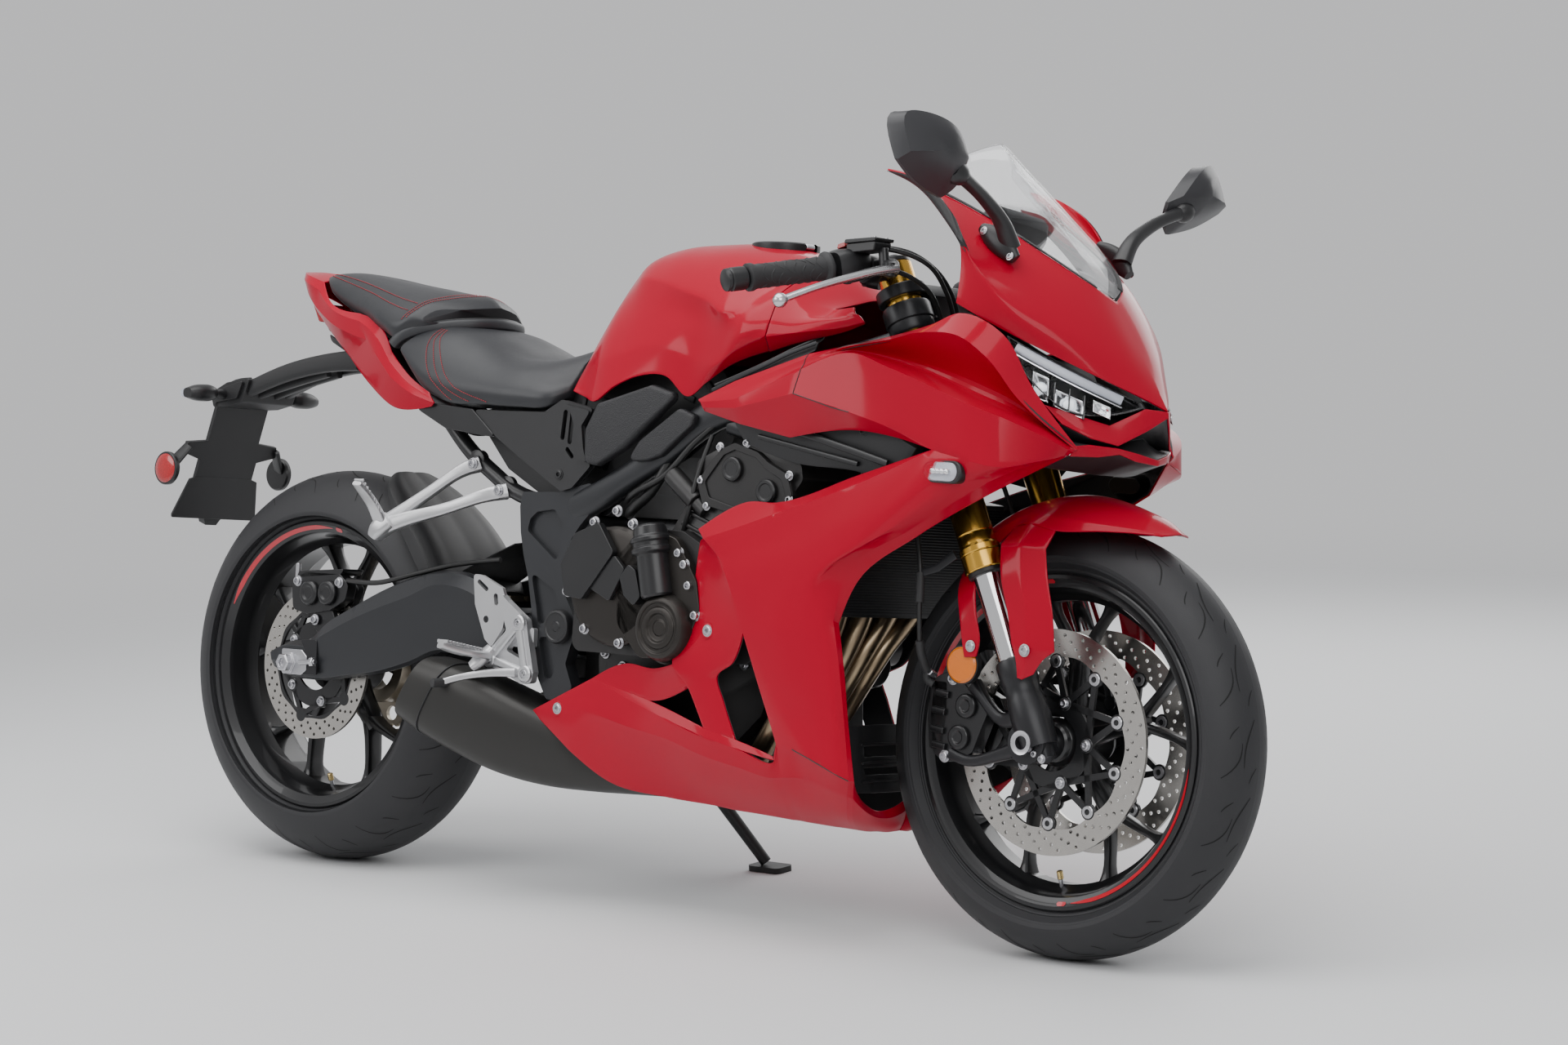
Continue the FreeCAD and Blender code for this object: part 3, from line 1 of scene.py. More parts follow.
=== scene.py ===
"""Looks for the sport motorcycle: paint, lamps, tyres, castings and trim round the CAD frame.

The machine is modelled in its own upright millimetres, as the part is: X forward from the rear
axle, Y to the rider's left, Z up.  place() leans those points onto the side stand and turns
them into the frame's metres.  Surfaces are grids of points on the outer face, listed from rear
to front, then filled in by a smooth curve that breaks only at the named creases.
"""
import json
import math

import bmesh
import bpy
import numpy as np
from mathutils import Matrix, Vector
from mathutils.geometry import delaunay_2d_cdt

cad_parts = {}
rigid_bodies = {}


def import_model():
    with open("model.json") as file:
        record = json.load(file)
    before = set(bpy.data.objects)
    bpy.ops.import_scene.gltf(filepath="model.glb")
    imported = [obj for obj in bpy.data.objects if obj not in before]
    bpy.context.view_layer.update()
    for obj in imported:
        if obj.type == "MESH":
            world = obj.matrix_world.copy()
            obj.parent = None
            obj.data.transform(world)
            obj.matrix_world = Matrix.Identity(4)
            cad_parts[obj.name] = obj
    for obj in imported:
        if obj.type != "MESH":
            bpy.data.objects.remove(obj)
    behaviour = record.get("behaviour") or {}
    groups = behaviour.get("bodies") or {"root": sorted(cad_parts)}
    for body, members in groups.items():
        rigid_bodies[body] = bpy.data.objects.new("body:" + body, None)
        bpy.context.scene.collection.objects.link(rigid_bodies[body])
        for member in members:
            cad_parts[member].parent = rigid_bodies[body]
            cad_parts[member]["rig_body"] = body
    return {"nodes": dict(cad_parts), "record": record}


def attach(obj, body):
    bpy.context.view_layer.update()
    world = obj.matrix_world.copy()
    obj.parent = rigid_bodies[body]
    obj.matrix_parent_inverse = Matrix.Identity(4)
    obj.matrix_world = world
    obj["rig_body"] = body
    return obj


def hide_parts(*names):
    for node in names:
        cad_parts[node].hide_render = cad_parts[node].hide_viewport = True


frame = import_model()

# ---- the frame's own directions ----------------------------------------------------------
JOINTS = {joint["name"]: joint for joint in frame["record"]["behaviour"]["joints"]}
AHEAD = np.array([1.0, 0.0, 0.0])
LEFT = np.array(JOINTS["rear_wheel_turn"]["axis"])
UP = np.cross(AHEAD, LEFT)
REAR_AXLE_Z = 314.0
FRONT_AXLE_Z = 299.0
WHEELBASE = 1450.0
ORIGIN = np.array(JOINTS["rear_wheel_turn"]["pos_m"]) - UP * REAR_AXLE_Z / 1000

RAKE = math.radians(24.5)
TRAIL_X = 1551.0
FORK_X = 1461.0
FORK_Y = 101.0
CHAIN_Y = 105.0
FRONT_DISC_Y = 53.0
REAR_DISC_Y = -72.0
WHEEL_SPOKES = 5
FRONT_DISC_BUTTONS = 10
SPROCKET_TEETH = 43
RADIATOR_FINS = 40

CAMERA_AT = (4491.6, -4263.0, 577.2)
CAMERA_TURN = 0.70481
CAMERA_DROP = 0.11289
CAMERA_ROLL = -0.04389
CAMERA_LENS = 87.1


def place(points):
    """Upright millimetres to the frame's metres."""
    p = np.asarray(points, float)
    return ORIGIN + (p[..., :1] * AHEAD + p[..., 1:2] * LEFT + p[..., 2:3] * UP) / 1000


def unit(vector):
    """A vector scaled to length one."""
    return np.asarray(vector, float) / np.linalg.norm(vector)


def on_fork(height, side, back=0.0, out=0.0):
    """A point by the fork leg's axis: height above the front axle, side -1 right or 1 left."""
    along = np.array([FORK_X - height * math.tan(RAKE), side * (FORK_Y + out), FRONT_AXLE_Z + height])
    return along + back * np.array([-math.cos(RAKE), 0, -math.sin(RAKE)])


FORK_UP = np.array([-math.sin(RAKE), 0, math.cos(RAKE)])


# ---- materials ---------------------------------------------------------------------------
def material(name, slot, colour, roughness=0.5, metallic=0.0, coat=0.0, grain=None, mottle=None,
             **sockets):
    """A principled finish.  grain is (size in mm, height in mm) of a fine bump; mottle is
    (size in mm, amount) by which the roughness wanders."""
    made = bpy.data.materials.new(name)
    made.use_nodes = True
    made["slot"] = slot
    nodes = made.node_tree.nodes
    links = made.node_tree.links
    shader = nodes["Principled BSDF"]
    shader.inputs["Base Color"].default_value = (*colour, 1)
    shader.inputs["Roughness"].default_value = roughness
    shader.inputs["Metallic"].default_value = metallic
    shader.inputs["Coat Weight"].default_value = coat
    shader.inputs["Coat Roughness"].default_value = 0.03
    for socket, value in sockets.items():
        shader.inputs[socket.replace("_", " ")].default_value = value
    made.diffuse_color = (*colour, 1)
    if grain or mottle:
        coords = nodes.new("ShaderNodeTexCoord")
    if grain:
        noise = nodes.new("ShaderNodeTexNoise")
        noise.inputs["Scale"].default_value = 1000 / grain[0]
        noise.inputs["Detail"].default_value = 2
        links.new(coords.outputs["Object"], noise.inputs["Vector"])
        bump = nodes.new("ShaderNodeBump")
        bump.inputs["Distance"].default_value = grain[1] / 1000
        links.new(noise.outputs["Fac"], bump.inputs["Height"])
        links.new(bump.outputs["Normal"], shader.inputs["Normal"])
    if mottle:
        clouds = nodes.new("ShaderNodeTexNoise")
        clouds.inputs["Scale"].default_value = 1000 / mottle[0]
        clouds.inputs["Detail"].default_value = 4
        links.new(coords.outputs["Object"], clouds.inputs["Vector"])
        spread = nodes.new("ShaderNodeMapRange")
        spread.inputs["To Min"].default_value = roughness - mottle[1]
        spread.inputs["To Max"].default_value = roughness + mottle[1]
        links.new(clouds.outputs["Fac"], spread.inputs["Value"])
        links.new(spread.outputs["Result"], shader.inputs["Roughness"])
    return made


RED = material("red_paint", "red_paint", (0.43, 0.0004, 0.021), 0.34, coat=0.45,
               mottle=(70, 0.03), Specular_IOR_Level=0.04, Coat_IOR=1.4, Coat_Roughness=0.1)
PLASTIC = material("black_plastic", "black_plastic", (0.012, 0.012, 0.013), 0.5, grain=(0.9, 0.12))
SMOOTH_BLACK = material("smooth_black", "black_plastic", (0.012, 0.012, 0.013), 0.32, mottle=(60, 0.06))
FRAME_GREY = material("frame_grey", "frame_grey", (0.028, 0.029, 0.032), 0.36, 0.3, grain=(0.7, 0.05),
                      mottle=(40, 0.06))
ARM_GREY = material("swingarm_grey", "swingarm_grey", (0.026, 0.027, 0.030), 0.36, 0.3,
                    grain=(0.7, 0.05), mottle=(40, 0.06))
BOLT = material("bolt_steel", "bolt_steel", (0.52, 0.52, 0.54), 0.3, 1.0, mottle=(6, 0.08))
CHAIN = material("chain_steel", "chain_steel", (0.36, 0.32, 0.26), 0.36, 1.0, mottle=(8, 0.1))
SHOCK = material("shock_black", "shock_black", (0.016, 0.016, 0.016), 0.27, mottle=(20, 0.05))
ENGINE = material("engine_dark", "engine_dark", (0.026, 0.025, 0.025), 0.4, 0.4, grain=(1.2, 0.15),
                  mottle=(30, 0.08))
BRONZE = material("engine_bronze", "engine_bronze", (0.034, 0.030, 0.027), 0.36, 0.65,
                  grain=(0.8, 0.04), mottle=(25, 0.05))
RADIATOR = material("radiator_black", "radiator_black", (0.012, 0.012, 0.012), 0.45, 0.3, mottle=(20, 0.08))
HEADER = material("header_steel", "header_steel", (0.34, 0.26, 0.17), 0.3, 1.0, mottle=(18, 0.05))
SILENCER = material("silencer_grey", "silencer_grey", (0.034, 0.033, 0.031), 0.4, 0.5,
                    grain=(1.0, 0.04), mottle=(30, 0.08))
CAP = material("cap_metal", "cap_metal", (0.45, 0.45, 0.47), 0.3, 1.0, mottle=(10, 0.06))
SEAT = material("seat_black", "seat_black", (0.020, 0.021, 0.024), 0.42, grain=(0.6, 0.09),
                mottle=(8, 0.06))
PAD = material("knee_pad_rubber", "black_plastic", (0.014, 0.014, 0.016), 0.5, grain=(1.6, 1.1),
               mottle=(6, 0.08))
MIRROR_SHELL = material("mirror_shell", "black_plastic", (0.024, 0.024, 0.027), 0.42,
                        grain=(0.6, 0.05))
LAMP_GLOW = material("lamp_glow", "lamp_lens", (0.9, 0.92, 0.95), 0.15,
                     Emission_Color=(0.9, 0.95, 1.0, 1.0), Emission_Strength=0.9)
SPRING = material("shock_spring", "shock_black", (0.35, 0.004, 0.012), 0.32, coat=0.5)
THREAD = material("seat_thread", "seat_black", (0.42, 0.03, 0.04), 0.6)
RED_LENS = material("red_lens", "red_lens", (0.42, 0.003, 0.006), 0.14, coat=0.8, grain=(2.0, 0.25))
SCREEN = material("smoked_screen", "smoked_screen", (0.62, 0.63, 0.65), 0.0,
                  Transmission_Weight=1.0, IOR=1.06, Alpha=0.42)
GLASS = material("lamp_lens", "lamp_lens", (0.95, 0.96, 0.98), 0.02, Transmission_Weight=1.0,
                 IOR=1.2, Alpha=0.4)
MIRROR_BRIGHT = material("lamp_chrome", "lamp_lens", (0.80, 0.81, 0.83), 0.12, 1.0, mottle=(8, 0.04))
LAMP_WHITE = material("lamp_strip", "lamp_lens", (0.50, 0.52, 0.58), 0.25, coat=0.4, grain=(1.2, 0.1))
LAMP_DARK = material("lamp_dark", "lamp_lens", (0.012, 0.012, 0.013), 0.28, coat=0.3, mottle=(12, 0.05))
SILVER = material("cast_silver", "cast_silver", (0.56, 0.56, 0.57), 0.34, 0.85, grain=(0.8, 0.05),
                  mottle=(20, 0.06))
CALIPER = material("caliper_black", "caliper_black", (0.012, 0.012, 0.013), 0.32, 0.2, mottle=(18, 0.06),
                   coat=0.2)
STAND = material("stand_black", "stand_black", (0.014, 0.014, 0.014), 0.4, 0.2, mottle=(20, 0.08))
GOLD = material("fork_gold", "fork_gold", (0.62, 0.35, 0.06), 0.22, 1.0, mottle=(40, 0.04))
CHROME = material("fork_chrome", "fork_chrome", (0.75, 0.75, 0.76), 0.09, 1.0, mottle=(50, 0.03))
CLAMP = material("clamp_black", "clamp_black", (0.016, 0.016, 0.018), 0.36, 0.3, mottle=(25, 0.05))
GRIP = material("grip_rubber", "grip_rubber", (0.020, 0.020, 0.021), 0.6, grain=(0.8, 0.1))
CONTROL = material("control_black", "control_black", (0.011, 0.011, 0.012), 0.38, grain=(0.8, 0.06))
LEVER = material("lever_silver", "cast_silver", (0.60, 0.60, 0.61), 0.24, 0.95, mottle=(14, 0.05))
HOSE = material("hose_rubber", "hose_rubber", (0.010, 0.010, 0.010), 0.45, mottle=(12, 0.05))
WHEEL = material("wheel_black", "wheel_black", (0.010, 0.010, 0.011), 0.34, 0.2, mottle=(40, 0.05), coat=0.3)
STRIPE = material("wheel_stripe", "wheel_black", (0.55, 0.004, 0.02), 0.3, coat=0.6)
TYRE = material("tyre_rubber", "tyre_rubber", (0.017, 0.017, 0.019), 0.6, grain=(1.4, 0.12),
                mottle=(60, 0.07))
# painted shade: the tread grooves are flat strips of this darker rubber, not cuts
GROOVE_SHADE = material("tyre_groove", "tyre_rubber", (0.006, 0.006, 0.006), 0.9)
DISC = material("disc_steel", "disc_steel", (0.52, 0.50, 0.47), 0.24, 1.0, mottle=(12, 0.05))
AMBER = material("amber_lens", "lamp_lens", (0.72, 0.17, 0.004), 0.2, coat=0.5, grain=(2.4, 0.4),
                 mottle=(4, 0.15))
BRASS = material("brass", "bolt_steel", (0.66, 0.50, 0.22), 0.27, 1.0, mottle=(5, 0.08))


# ---- meshes ------------------------------------------------------------------------------
def finish_mesh(name, points, faces, body, finish, replaces=(), bevel=0.0, wall=0.0, sharp=35.0,
                merge=False, segments=2):
    """One object from points in upright millimetres and faces of indices, on a body.  wall is
    the thickness added behind the faces, bevel the width of its rounded edges, in mm."""
    mesh = bpy.data.meshes.new(name)
    mesh.from_pydata(place(points).tolist(), [], faces)
    mesh.materials.append(finish)
    if merge:
        shape = bmesh.new()
        shape.from_mesh(mesh)
        bmesh.ops.remove_doubles(shape, verts=shape.verts, dist=0.00005)
        bmesh.ops.dissolve_degenerate(shape, edges=shape.edges, dist=0.00002)
        shape.to_mesh(mesh)
        shape.free()
    mesh.validate()
    mesh.polygons.foreach_set("use_smooth", np.ones(len(mesh.polygons), bool))
    mesh.set_sharp_from_angle(angle=math.radians(sharp))
    piece = bpy.data.objects.new(name, mesh)
    bpy.context.scene.collection.objects.link(piece)
    if wall:
        backing = piece.modifiers.new("wall", "SOLIDIFY")
        backing.thickness = wall / 1000
        backing.offset = -1
    if bevel:
        rounding = piece.modifiers.new("edge", "BEVEL")
        rounding.width = bevel / 1000
        rounding.segments = segments
        rounding.limit_method = "ANGLE"
        rounding.angle_limit = math.radians(40)
    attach(piece, body)
    if replaces:
        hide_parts(*replaces)
    return piece


def together(shapes):
    """Several (points, faces) shapes as one: each one's indices move up by the points before."""
    starts = np.cumsum([0] + [len(points) for points, _ in shapes])
    points = np.vstack([np.asarray(points, float) for points, _ in shapes])
    faces = [[start + index for index in face] for (_, listed), start in zip(shapes, starts)
             for face in listed]
    return points, faces


def make(name, shapes, body, finish, both=False, **options):
    """One object from a list of shapes, with both sides if asked."""
    shapes = list(shapes)
    if both:
        shapes += [mirrored(shape) for shape in shapes]
    points, faces = together(shapes)
    return finish_mesh(name, points, faces, body, finish, **options)


def quads(rows, columns, start=0, closed=False):
    """Faces of a grid of points, wound down then forward; closed joins the last column to the
    first."""
    index = start + np.arange(rows * columns).reshape(rows, columns)
    if closed:
        index = np.hstack([index, index[:, :1]])
    a, b = index[:-1, :-1], index[1:, :-1]
    c, d = index[1:, 1:], index[:-1, 1:]
    return np.stack([a, b, c, d], axis=-1).reshape(-1, 4).tolist()


def slopes(points, spans, breaks):
    """Slopes of a curve at its points, as they come in and as they go out.  At a smooth point
    the slope is the mean of the chords beside it, each weighted by the other's length; at a
    break or an end it is one and a half chords less half the next slope."""
    chords = (points[1:] - points[:-1]) / spans
    came = np.zeros_like(points)
    went = np.zeros_like(points)
    weights = spans[1:] / (spans[1:] + spans[:-1])
    came[1:-1] = went[1:-1] = chords[:-1] * weights + chords[1:] * (1 - weights)
    last = len(points) - 1
    ends = [0] + sorted(b for b in breaks if 0 < b < last) + [last]
    for first, end in zip(ends, ends[1:]):
        if end - first == 1:
            went[first] = came[end] = chords[first]
        else:
            went[first] = 1.5 * chords[first] - 0.5 * came[first + 1]
            came[end] = 1.5 * chords[end - 1] - 0.5 * went[end - 1]
    return came, went


def refine(points, breaks=(), parts=8):
    """Points along axis 0 filled in, parts to a span: with t from 0 to 1 on a span of length h
    from a to b with slopes m and n, the point is (1+2t)(1-t)^2 a + t(1-t)^2 h m +
    t^2(3-2t) b - t^2(1-t) h n."""
    points = np.asarray(points, float)
    spans = np.maximum(np.linalg.norm(points[1:] - points[:-1], axis=-1, keepdims=True), 1e-3)
    came, went = slopes(points, spans, breaks)
    t = (np.arange(1, parts + 1) / parts).reshape((1, -1) + (1,) * (points.ndim - 1))
    a, b = points[:-1, None], points[1:, None]
    m, n, h = went[:-1, None], came[1:, None], spans[:, None]
    filled = ((1 + 2 * t) * (1 - t) ** 2 * a + t * (1 - t) ** 2 * h * m
              + t ** 2 * (3 - 2 * t) * b - t ** 2 * (1 - t) * h * n)
    return np.concatenate([points[:1], filled.reshape((-1,) + points.shape[1:])])


def surface(rows, sharp_rows=(), sharp_columns=(), parts=8):
    """A dense grid through a few rows of points, creased along the named rows and columns."""
    grid = refine(np.array(rows, float), sharp_rows, parts)
    return np.swapaxes(refine(np.swapaxes(grid, 0, 1), sharp_columns, parts), 0, 1)


def eased(points, faces, rounds):
    """The points moved half way to the mean of their neighbours, again and again, which rounds
    the creases.  Points on the open edge stay."""
    faces = np.asarray(faces)
    _, first, same = np.unique(np.round(points, 2), axis=0, return_index=True,
                               return_inverse=True)
    same = same.ravel()
    points, faces = points[first], same[faces]
    edges = np.vstack([faces[:, [k, (k + 1) % 4]] for k in range(4)])
    edges = edges[edges[:, 0] != edges[:, 1]]
    edges, count = np.unique(np.sort(edges, axis=1), axis=0, return_counts=True)
    fixed = np.zeros(len(points), bool)
    fixed[edges[count == 1].ravel()] = True
    for _ in range(rounds):
        total = np.zeros_like(points)
        near = np.zeros(len(points))
        for a, b in ((0, 1), (1, 0)):
            np.add.at(total, edges[:, a], points[edges[:, b]])
            np.add.at(near, edges[:, a], 1)
        mean = total / np.maximum(near, 1)[:, None]
        points = np.where(fixed[:, None], points, 0.5 * points + 0.5 * mean)
    return points, faces.tolist()


def skin(name, grids, body, finish, wall=2.6, ease=1, side="right", bevel=0.8, **options):
    """A moulded panel from dense grids that share edges, rows down and columns forward on the
    right.  side is right, left or both, and both meets itself on the centre line."""
    shapes = [(grid.reshape(-1, 3), quads(*grid.shape[:2])) for grid in grids]
    if side == "left":
        shapes = [mirrored(shape) for shape in shapes]
    elif side == "both":
        shapes += [mirrored(shape) for shape in shapes]
    points, faces = eased(*together(shapes), ease)
    return finish_mesh(name, points, faces, body, finish, wall=wall, bevel=bevel, merge=True,
                       **options)


def loft(loops, cap=True, closed=False):
    """A skin through closed loops with the same number of points, the ends closed by a face;
    closed joins the last loop to the first."""
    loops = np.asarray(loops, float)
    if closed:
        loops = np.concatenate([loops, loops[:1]])
    rows, columns = loops.shape[:2]
    faces = [face[::-1] for face in quads(rows, columns, closed=True)]
    if cap and not closed:
        faces.append(list(range(columns - 1, -1, -1)))
        faces.append([(rows - 1) * columns + j for j in range(columns)])
    return loops.reshape(-1, 3), faces


def body_through(stations, sharp=(), parts=6, along=8, sharp_stations=()):
    """A closed body, alike on both sides, through half sections from the bottom's middle out
    and up to the top's middle, each (x, [(y, z), ...]) or a list of (x, y, z)."""
    halves = []
    for station in stations:
        if isinstance(station, tuple):
            station = [(station[0], y, z) for y, z in station[1]]
        halves.append(station)
    grid = surface(halves, sharp_stations, sharp, parts)
    if along != parts:
        grid = refine(np.swapaxes(refine(np.swapaxes(np.array(halves, float), 0, 1), sharp, parts),
                                  0, 1), sharp_stations, along)
    loops = np.concatenate([grid, grid[:, -2:0:-1] * (1, -1, 1)], axis=1)
    return outward(loft(loops))


def frame_along(points):
    """Two directions square to a path at each point, carried along it without twisting."""
    points = np.asarray(points, float)
    forward = np.gradient(points, axis=0)
    forward /= np.linalg.norm(forward, axis=1, keepdims=True)
    guide = np.array([0.0, 1.0, 0.0]) if abs(forward[0][1]) < 0.8 else np.array([0.0, 0.0, 1.0])
    first = np.cross(forward[0], np.cross(guide, forward[0]))
    across = [unit(first)]
    for direction in forward[1:]:
        carried = across[-1] - direction * np.dot(across[-1], direction)
        across.append(unit(carried))
    across = np.array(across)
    return across, np.cross(forward, across)


def tube(points, radius, sides=14, flat=1.0):
    """A round bar along points: each ring is the point plus the radius times cos and sin of
    the angle in two directions square to the path.  flat squeezes it in the second one."""
    points = np.asarray(points, float)
    radii = np.broadcast_to(radius, len(points)).reshape(-1, 1, 1)
    across, up = frame_along(points)
    angle = (2 * np.pi * np.arange(sides) / sides).reshape(1, -1, 1)
    ring = across[:, None] * np.cos(angle) + up[:, None] * np.sin(angle) * flat
    return outward(loft(points[:, None] + ring * radii))


def pipe(points, radius, sides=14, parts=6, flat=1.0):
    """A tube along a smooth path through a few points."""
    return tube(refine(points, (), parts), radius, sides, flat)


def lathe(profile, centre, axis, sides=64, guide=(0.0, 0.0, 1.0), closed=True):
    """A round piece: each profile point (distance along the axis, radius) swept round the
    axis."""
    axis = unit(axis)
    across = unit(np.cross(axis, guide) if abs(np.dot(axis, unit(guide))) < 0.9
                  else np.cross(axis, (1.0, 0.0, 0.0)))
    up = np.cross(axis, across)
    angle = (2 * np.pi * np.arange(sides) / sides).reshape(1, -1, 1)
    along = np.array([p[0] for p in profile]).reshape(-1, 1, 1)
    radius = np.array([p[1] for p in profile]).reshape(-1, 1, 1)
    loops = np.asarray(centre, float) + axis * along + radius * (
        across * np.cos(angle) + up * np.sin(angle))
    return outward(loft(loops, closed=closed))


def rod(start, end, radius, sides=24, end_radius=None):
    """A round bar between two points, with end edges broken by a fifth of its radius, up to 1 mm."""
    start = np.asarray(start, float)
    end = np.asarray(end, float)
    length = np.linalg.norm(end - start)
    last = radius if end_radius is None else end_radius
    edge = min(1.0, radius * 0.2)
    profile = [(0, radius - edge), (edge, radius), (length - edge, last), (length, last - edge)]
    return lathe(profile, start, end - start, sides, closed=False)


def disc_y(x, z, radius, y0, y1, sides=48):
    """A round disc lying across the machine, from y0 to y1."""
    return rod((x, y0, z), (x, y1, z), radius, sides)


def ring_y(x, z, outer, inner, y0, y1, sides=64):
    """A flat ring across the machine, from y0 to y1, its outer edges broken by up to 0.8 mm."""
    edge = min(0.8, (outer - inner) * 0.2)
    profile = [(y0, inner), (y0, outer - edge), (y0 + edge, outer), (y1 - edge, outer),
               (y1, outer - edge), (y1, inner)]
    return lathe(profile, (x, 0, z), (0, 1, 0), sides)


def rounded(outline, radius, steps=4):
    """A 2-D outline with its corners cut by arcs, no more than 0.45 of a side long."""
    points = []
    count = len(outline)
    corners = [np.array(corner, float) for corner in outline]
    for i, corner in enumerate(corners):
        back = corners[i - 1] - corner
        ahead = corners[(i + 1) % count] - corner
        reach = 0.45 * min(np.linalg.norm(back), np.linalg.norm(ahead))
        back, ahead = unit(back), unit(ahead)
        half = math.acos(max(-1.0, min(1.0, float(np.dot(back, ahead))))) / 2
        if radius <= 0 or half > math.radians(86):
            points.append(corner)
            continue
        cut = min(radius / math.tan(half), reach)
        start, end = corner + back * cut, corner + ahead * cut
        for k in range(steps + 1):
            t = k / steps
            points.append((1 - t) ** 2 * start + 2 * t * (1 - t) * corner + t ** 2 * end)
    return points


def plate_y(outline, y0, y1, radius=0.0):
    """A plate seen from the side: (x, z) outline, from y0 to y1."""
    outline = rounded(outline, radius) if radius else outline
    loops = [[(x, y, z) for x, z in outline] for y in (y0, y1)]
    return outward(loft(loops))


def volume(shape):
    """The volume inside a closed shape: a sixth of the sum of p . (q x r) over the triangles
    p, q, r that fan out from each face's first corner."""
    points, faces = shape
    points = np.asarray(points, float)
    fans = [(face[0], b, c) for face in faces for b, c in zip(face[1:], face[2:])]
    p, q, r = points[np.array(fans).T]
    return np.einsum("ij,ij->", p, np.cross(q, r)) / 6


def outward(shape):
    """The same closed shape with its faces turned outwards."""
    points, faces = shape
    if volume(shape) < 0:
        faces = [tuple(reversed(face)) for face in faces]
    return points, faces


def bar(points, sizes, side=(0.0, 1.0, 0.0), count=16, square=1.0, parts=0):
    """A beam: at each point sizes gives half its width along side and half its height.  The
    section is |cos|^square across and |sin|^square up, so a lower square is boxier.  parts
    above 0 curves it smoothly, with that many steps to a span."""
    points = np.asarray(points, float)
    sizes = np.asarray(sizes, float)
    if parts:
        smooth = refine(np.hstack([points, sizes]), (), parts)
        points, sizes = smooth[:, :3], smooth[:, 3:]
    forward = np.gradient(points, axis=0)
    up = np.cross(forward, np.asarray(side, float))
    up /= np.linalg.norm(up, axis=1, keepdims=True)
    across = np.cross(up, forward)
    across /= np.linalg.norm(across, axis=1, keepdims=True)
    angle = 2 * np.pi * (np.arange(count) + 0.5) / count
    wide = np.sign(np.cos(angle)) * np.abs(np.cos(angle)) ** square
    high = np.sign(np.sin(angle)) * np.abs(np.sin(angle)) ** square
    loops = (points[:, None] + across[:, None] * (sizes[:, :1] * wide)[:, :, None]
             + up[:, None] * (sizes[:, 1:] * high)[:, :, None])
    return outward(loft(loops))


def turned(shape, angle, centre, axis=(0.0, 1.0, 0.0)):
    """A shape turned about an axis by an angle in radians."""
    points, faces = shape
    turn = np.array(Matrix.Rotation(angle, 3, Vector(axis)))
    centre = np.asarray(centre, float)
    return (np.asarray(points) - centre) @ turn.T + centre, faces


def mirrored(shape):
    """The same shape on the other side: y changes sign and each face is turned round."""
    points, faces = shape
    return np.asarray(points) * (1, -1, 1), [tuple(reversed(face)) for face in faces]


def bolt(at, axis, radius=6.0, height=5.0):
    """A socket-headed bolt with its hollow hexagon."""
    at = np.asarray(at, float)
    axis = unit(axis)
    head = lathe([(0, radius), (height - 1, radius), (height, radius - 1), (height, radius * 0.55),
                  (height * 0.4, radius * 0.5), (height * 0.4, 0.1)], at, axis, 18, closed=False)
    washer = lathe([(0, radius * 1.35), (1.0, radius * 1.35), (1.2, radius)], at, axis, 24,
                   closed=False)
    return [head, washer]


# ---- camera, floor and light -------------------------------------------------------------
def make_camera():
    """The camera: turned about the vertical, dropped below level, then rolled."""
    fall, sweep = math.sin(CAMERA_DROP), math.cos(CAMERA_DROP)
    ahead = np.array([-math.sin(CAMERA_TURN) * sweep, math.cos(CAMERA_TURN) * sweep, -fall])
    right = np.array([math.cos(CAMERA_TURN), math.sin(CAMERA_TURN), 0.0])
    top = np.cross(right, ahead)
    across = right * math.cos(CAMERA_ROLL) + top * math.sin(CAMERA_ROLL)
    upward = top * math.cos(CAMERA_ROLL) - right * math.sin(CAMERA_ROLL)
    data = bpy.data.cameras.new("camera")
    data.lens = CAMERA_LENS
    data.sensor_width = 36
    data.clip_end = 100
    camera = bpy.data.objects.new("camera", data)
    turn = Matrix((across, upward, -ahead)).transposed().to_4x4()
    camera.matrix_world = Matrix.Translation(place(CAMERA_AT)) @ turn
    bpy.context.scene.collection.objects.link(camera)
    bpy.context.scene.camera = camera


def make_floor():
    """A pale floor that fades into the background away from the middle."""
    mesh = bpy.data.meshes.new("floor")
    reach = 8.0
    mesh.from_pydata([(-reach, -reach, 0), (reach, -reach, 0), (reach, reach, 0),
                      (-reach, reach, 0)], [], [(0, 1, 2, 3)])
    pale = bpy.data.materials.new("floor")
    pale.use_nodes = True
    nodes, links = pale.node_tree.nodes, pale.node_tree.links
    shader = nodes["Principled BSDF"]
    shader.inputs["Base Color"].default_value = (0.74, 0.74, 0.74, 1)
    shader.inputs["Roughness"].default_value = 0.75
    coords = nodes.new("ShaderNodeTexCoord")
    far = nodes.new("ShaderNodeVectorMath")
    far.operation = "LENGTH"
    fade = nodes.new("ShaderNodeMapRange")
    fade.interpolation_type = "SMOOTHERSTEP"
    fade.inputs["From Min"].default_value = 1.6
    fade.inputs["From Max"].default_value = 5.0
    clear = nodes.new("ShaderNodeBsdfTransparent")
    both = nodes.new("ShaderNodeMixShader")
    links.new(coords.outputs["Object"], far.inputs[0])
    links.new(far.outputs["Value"], fade.inputs["Value"])
    links.new(fade.outputs["Result"], both.inputs["Fac"])
    links.new(shader.outputs["BSDF"], both.inputs[1])
    links.new(clear.outputs["BSDF"], both.inputs[2])
    links.new(both.outputs["Shader"], nodes["Material Output"].inputs["Surface"])
    mesh.materials.append(pale)
    floor = bpy.data.objects.new("floor", mesh)
    bpy.context.scene.collection.objects.link(floor)


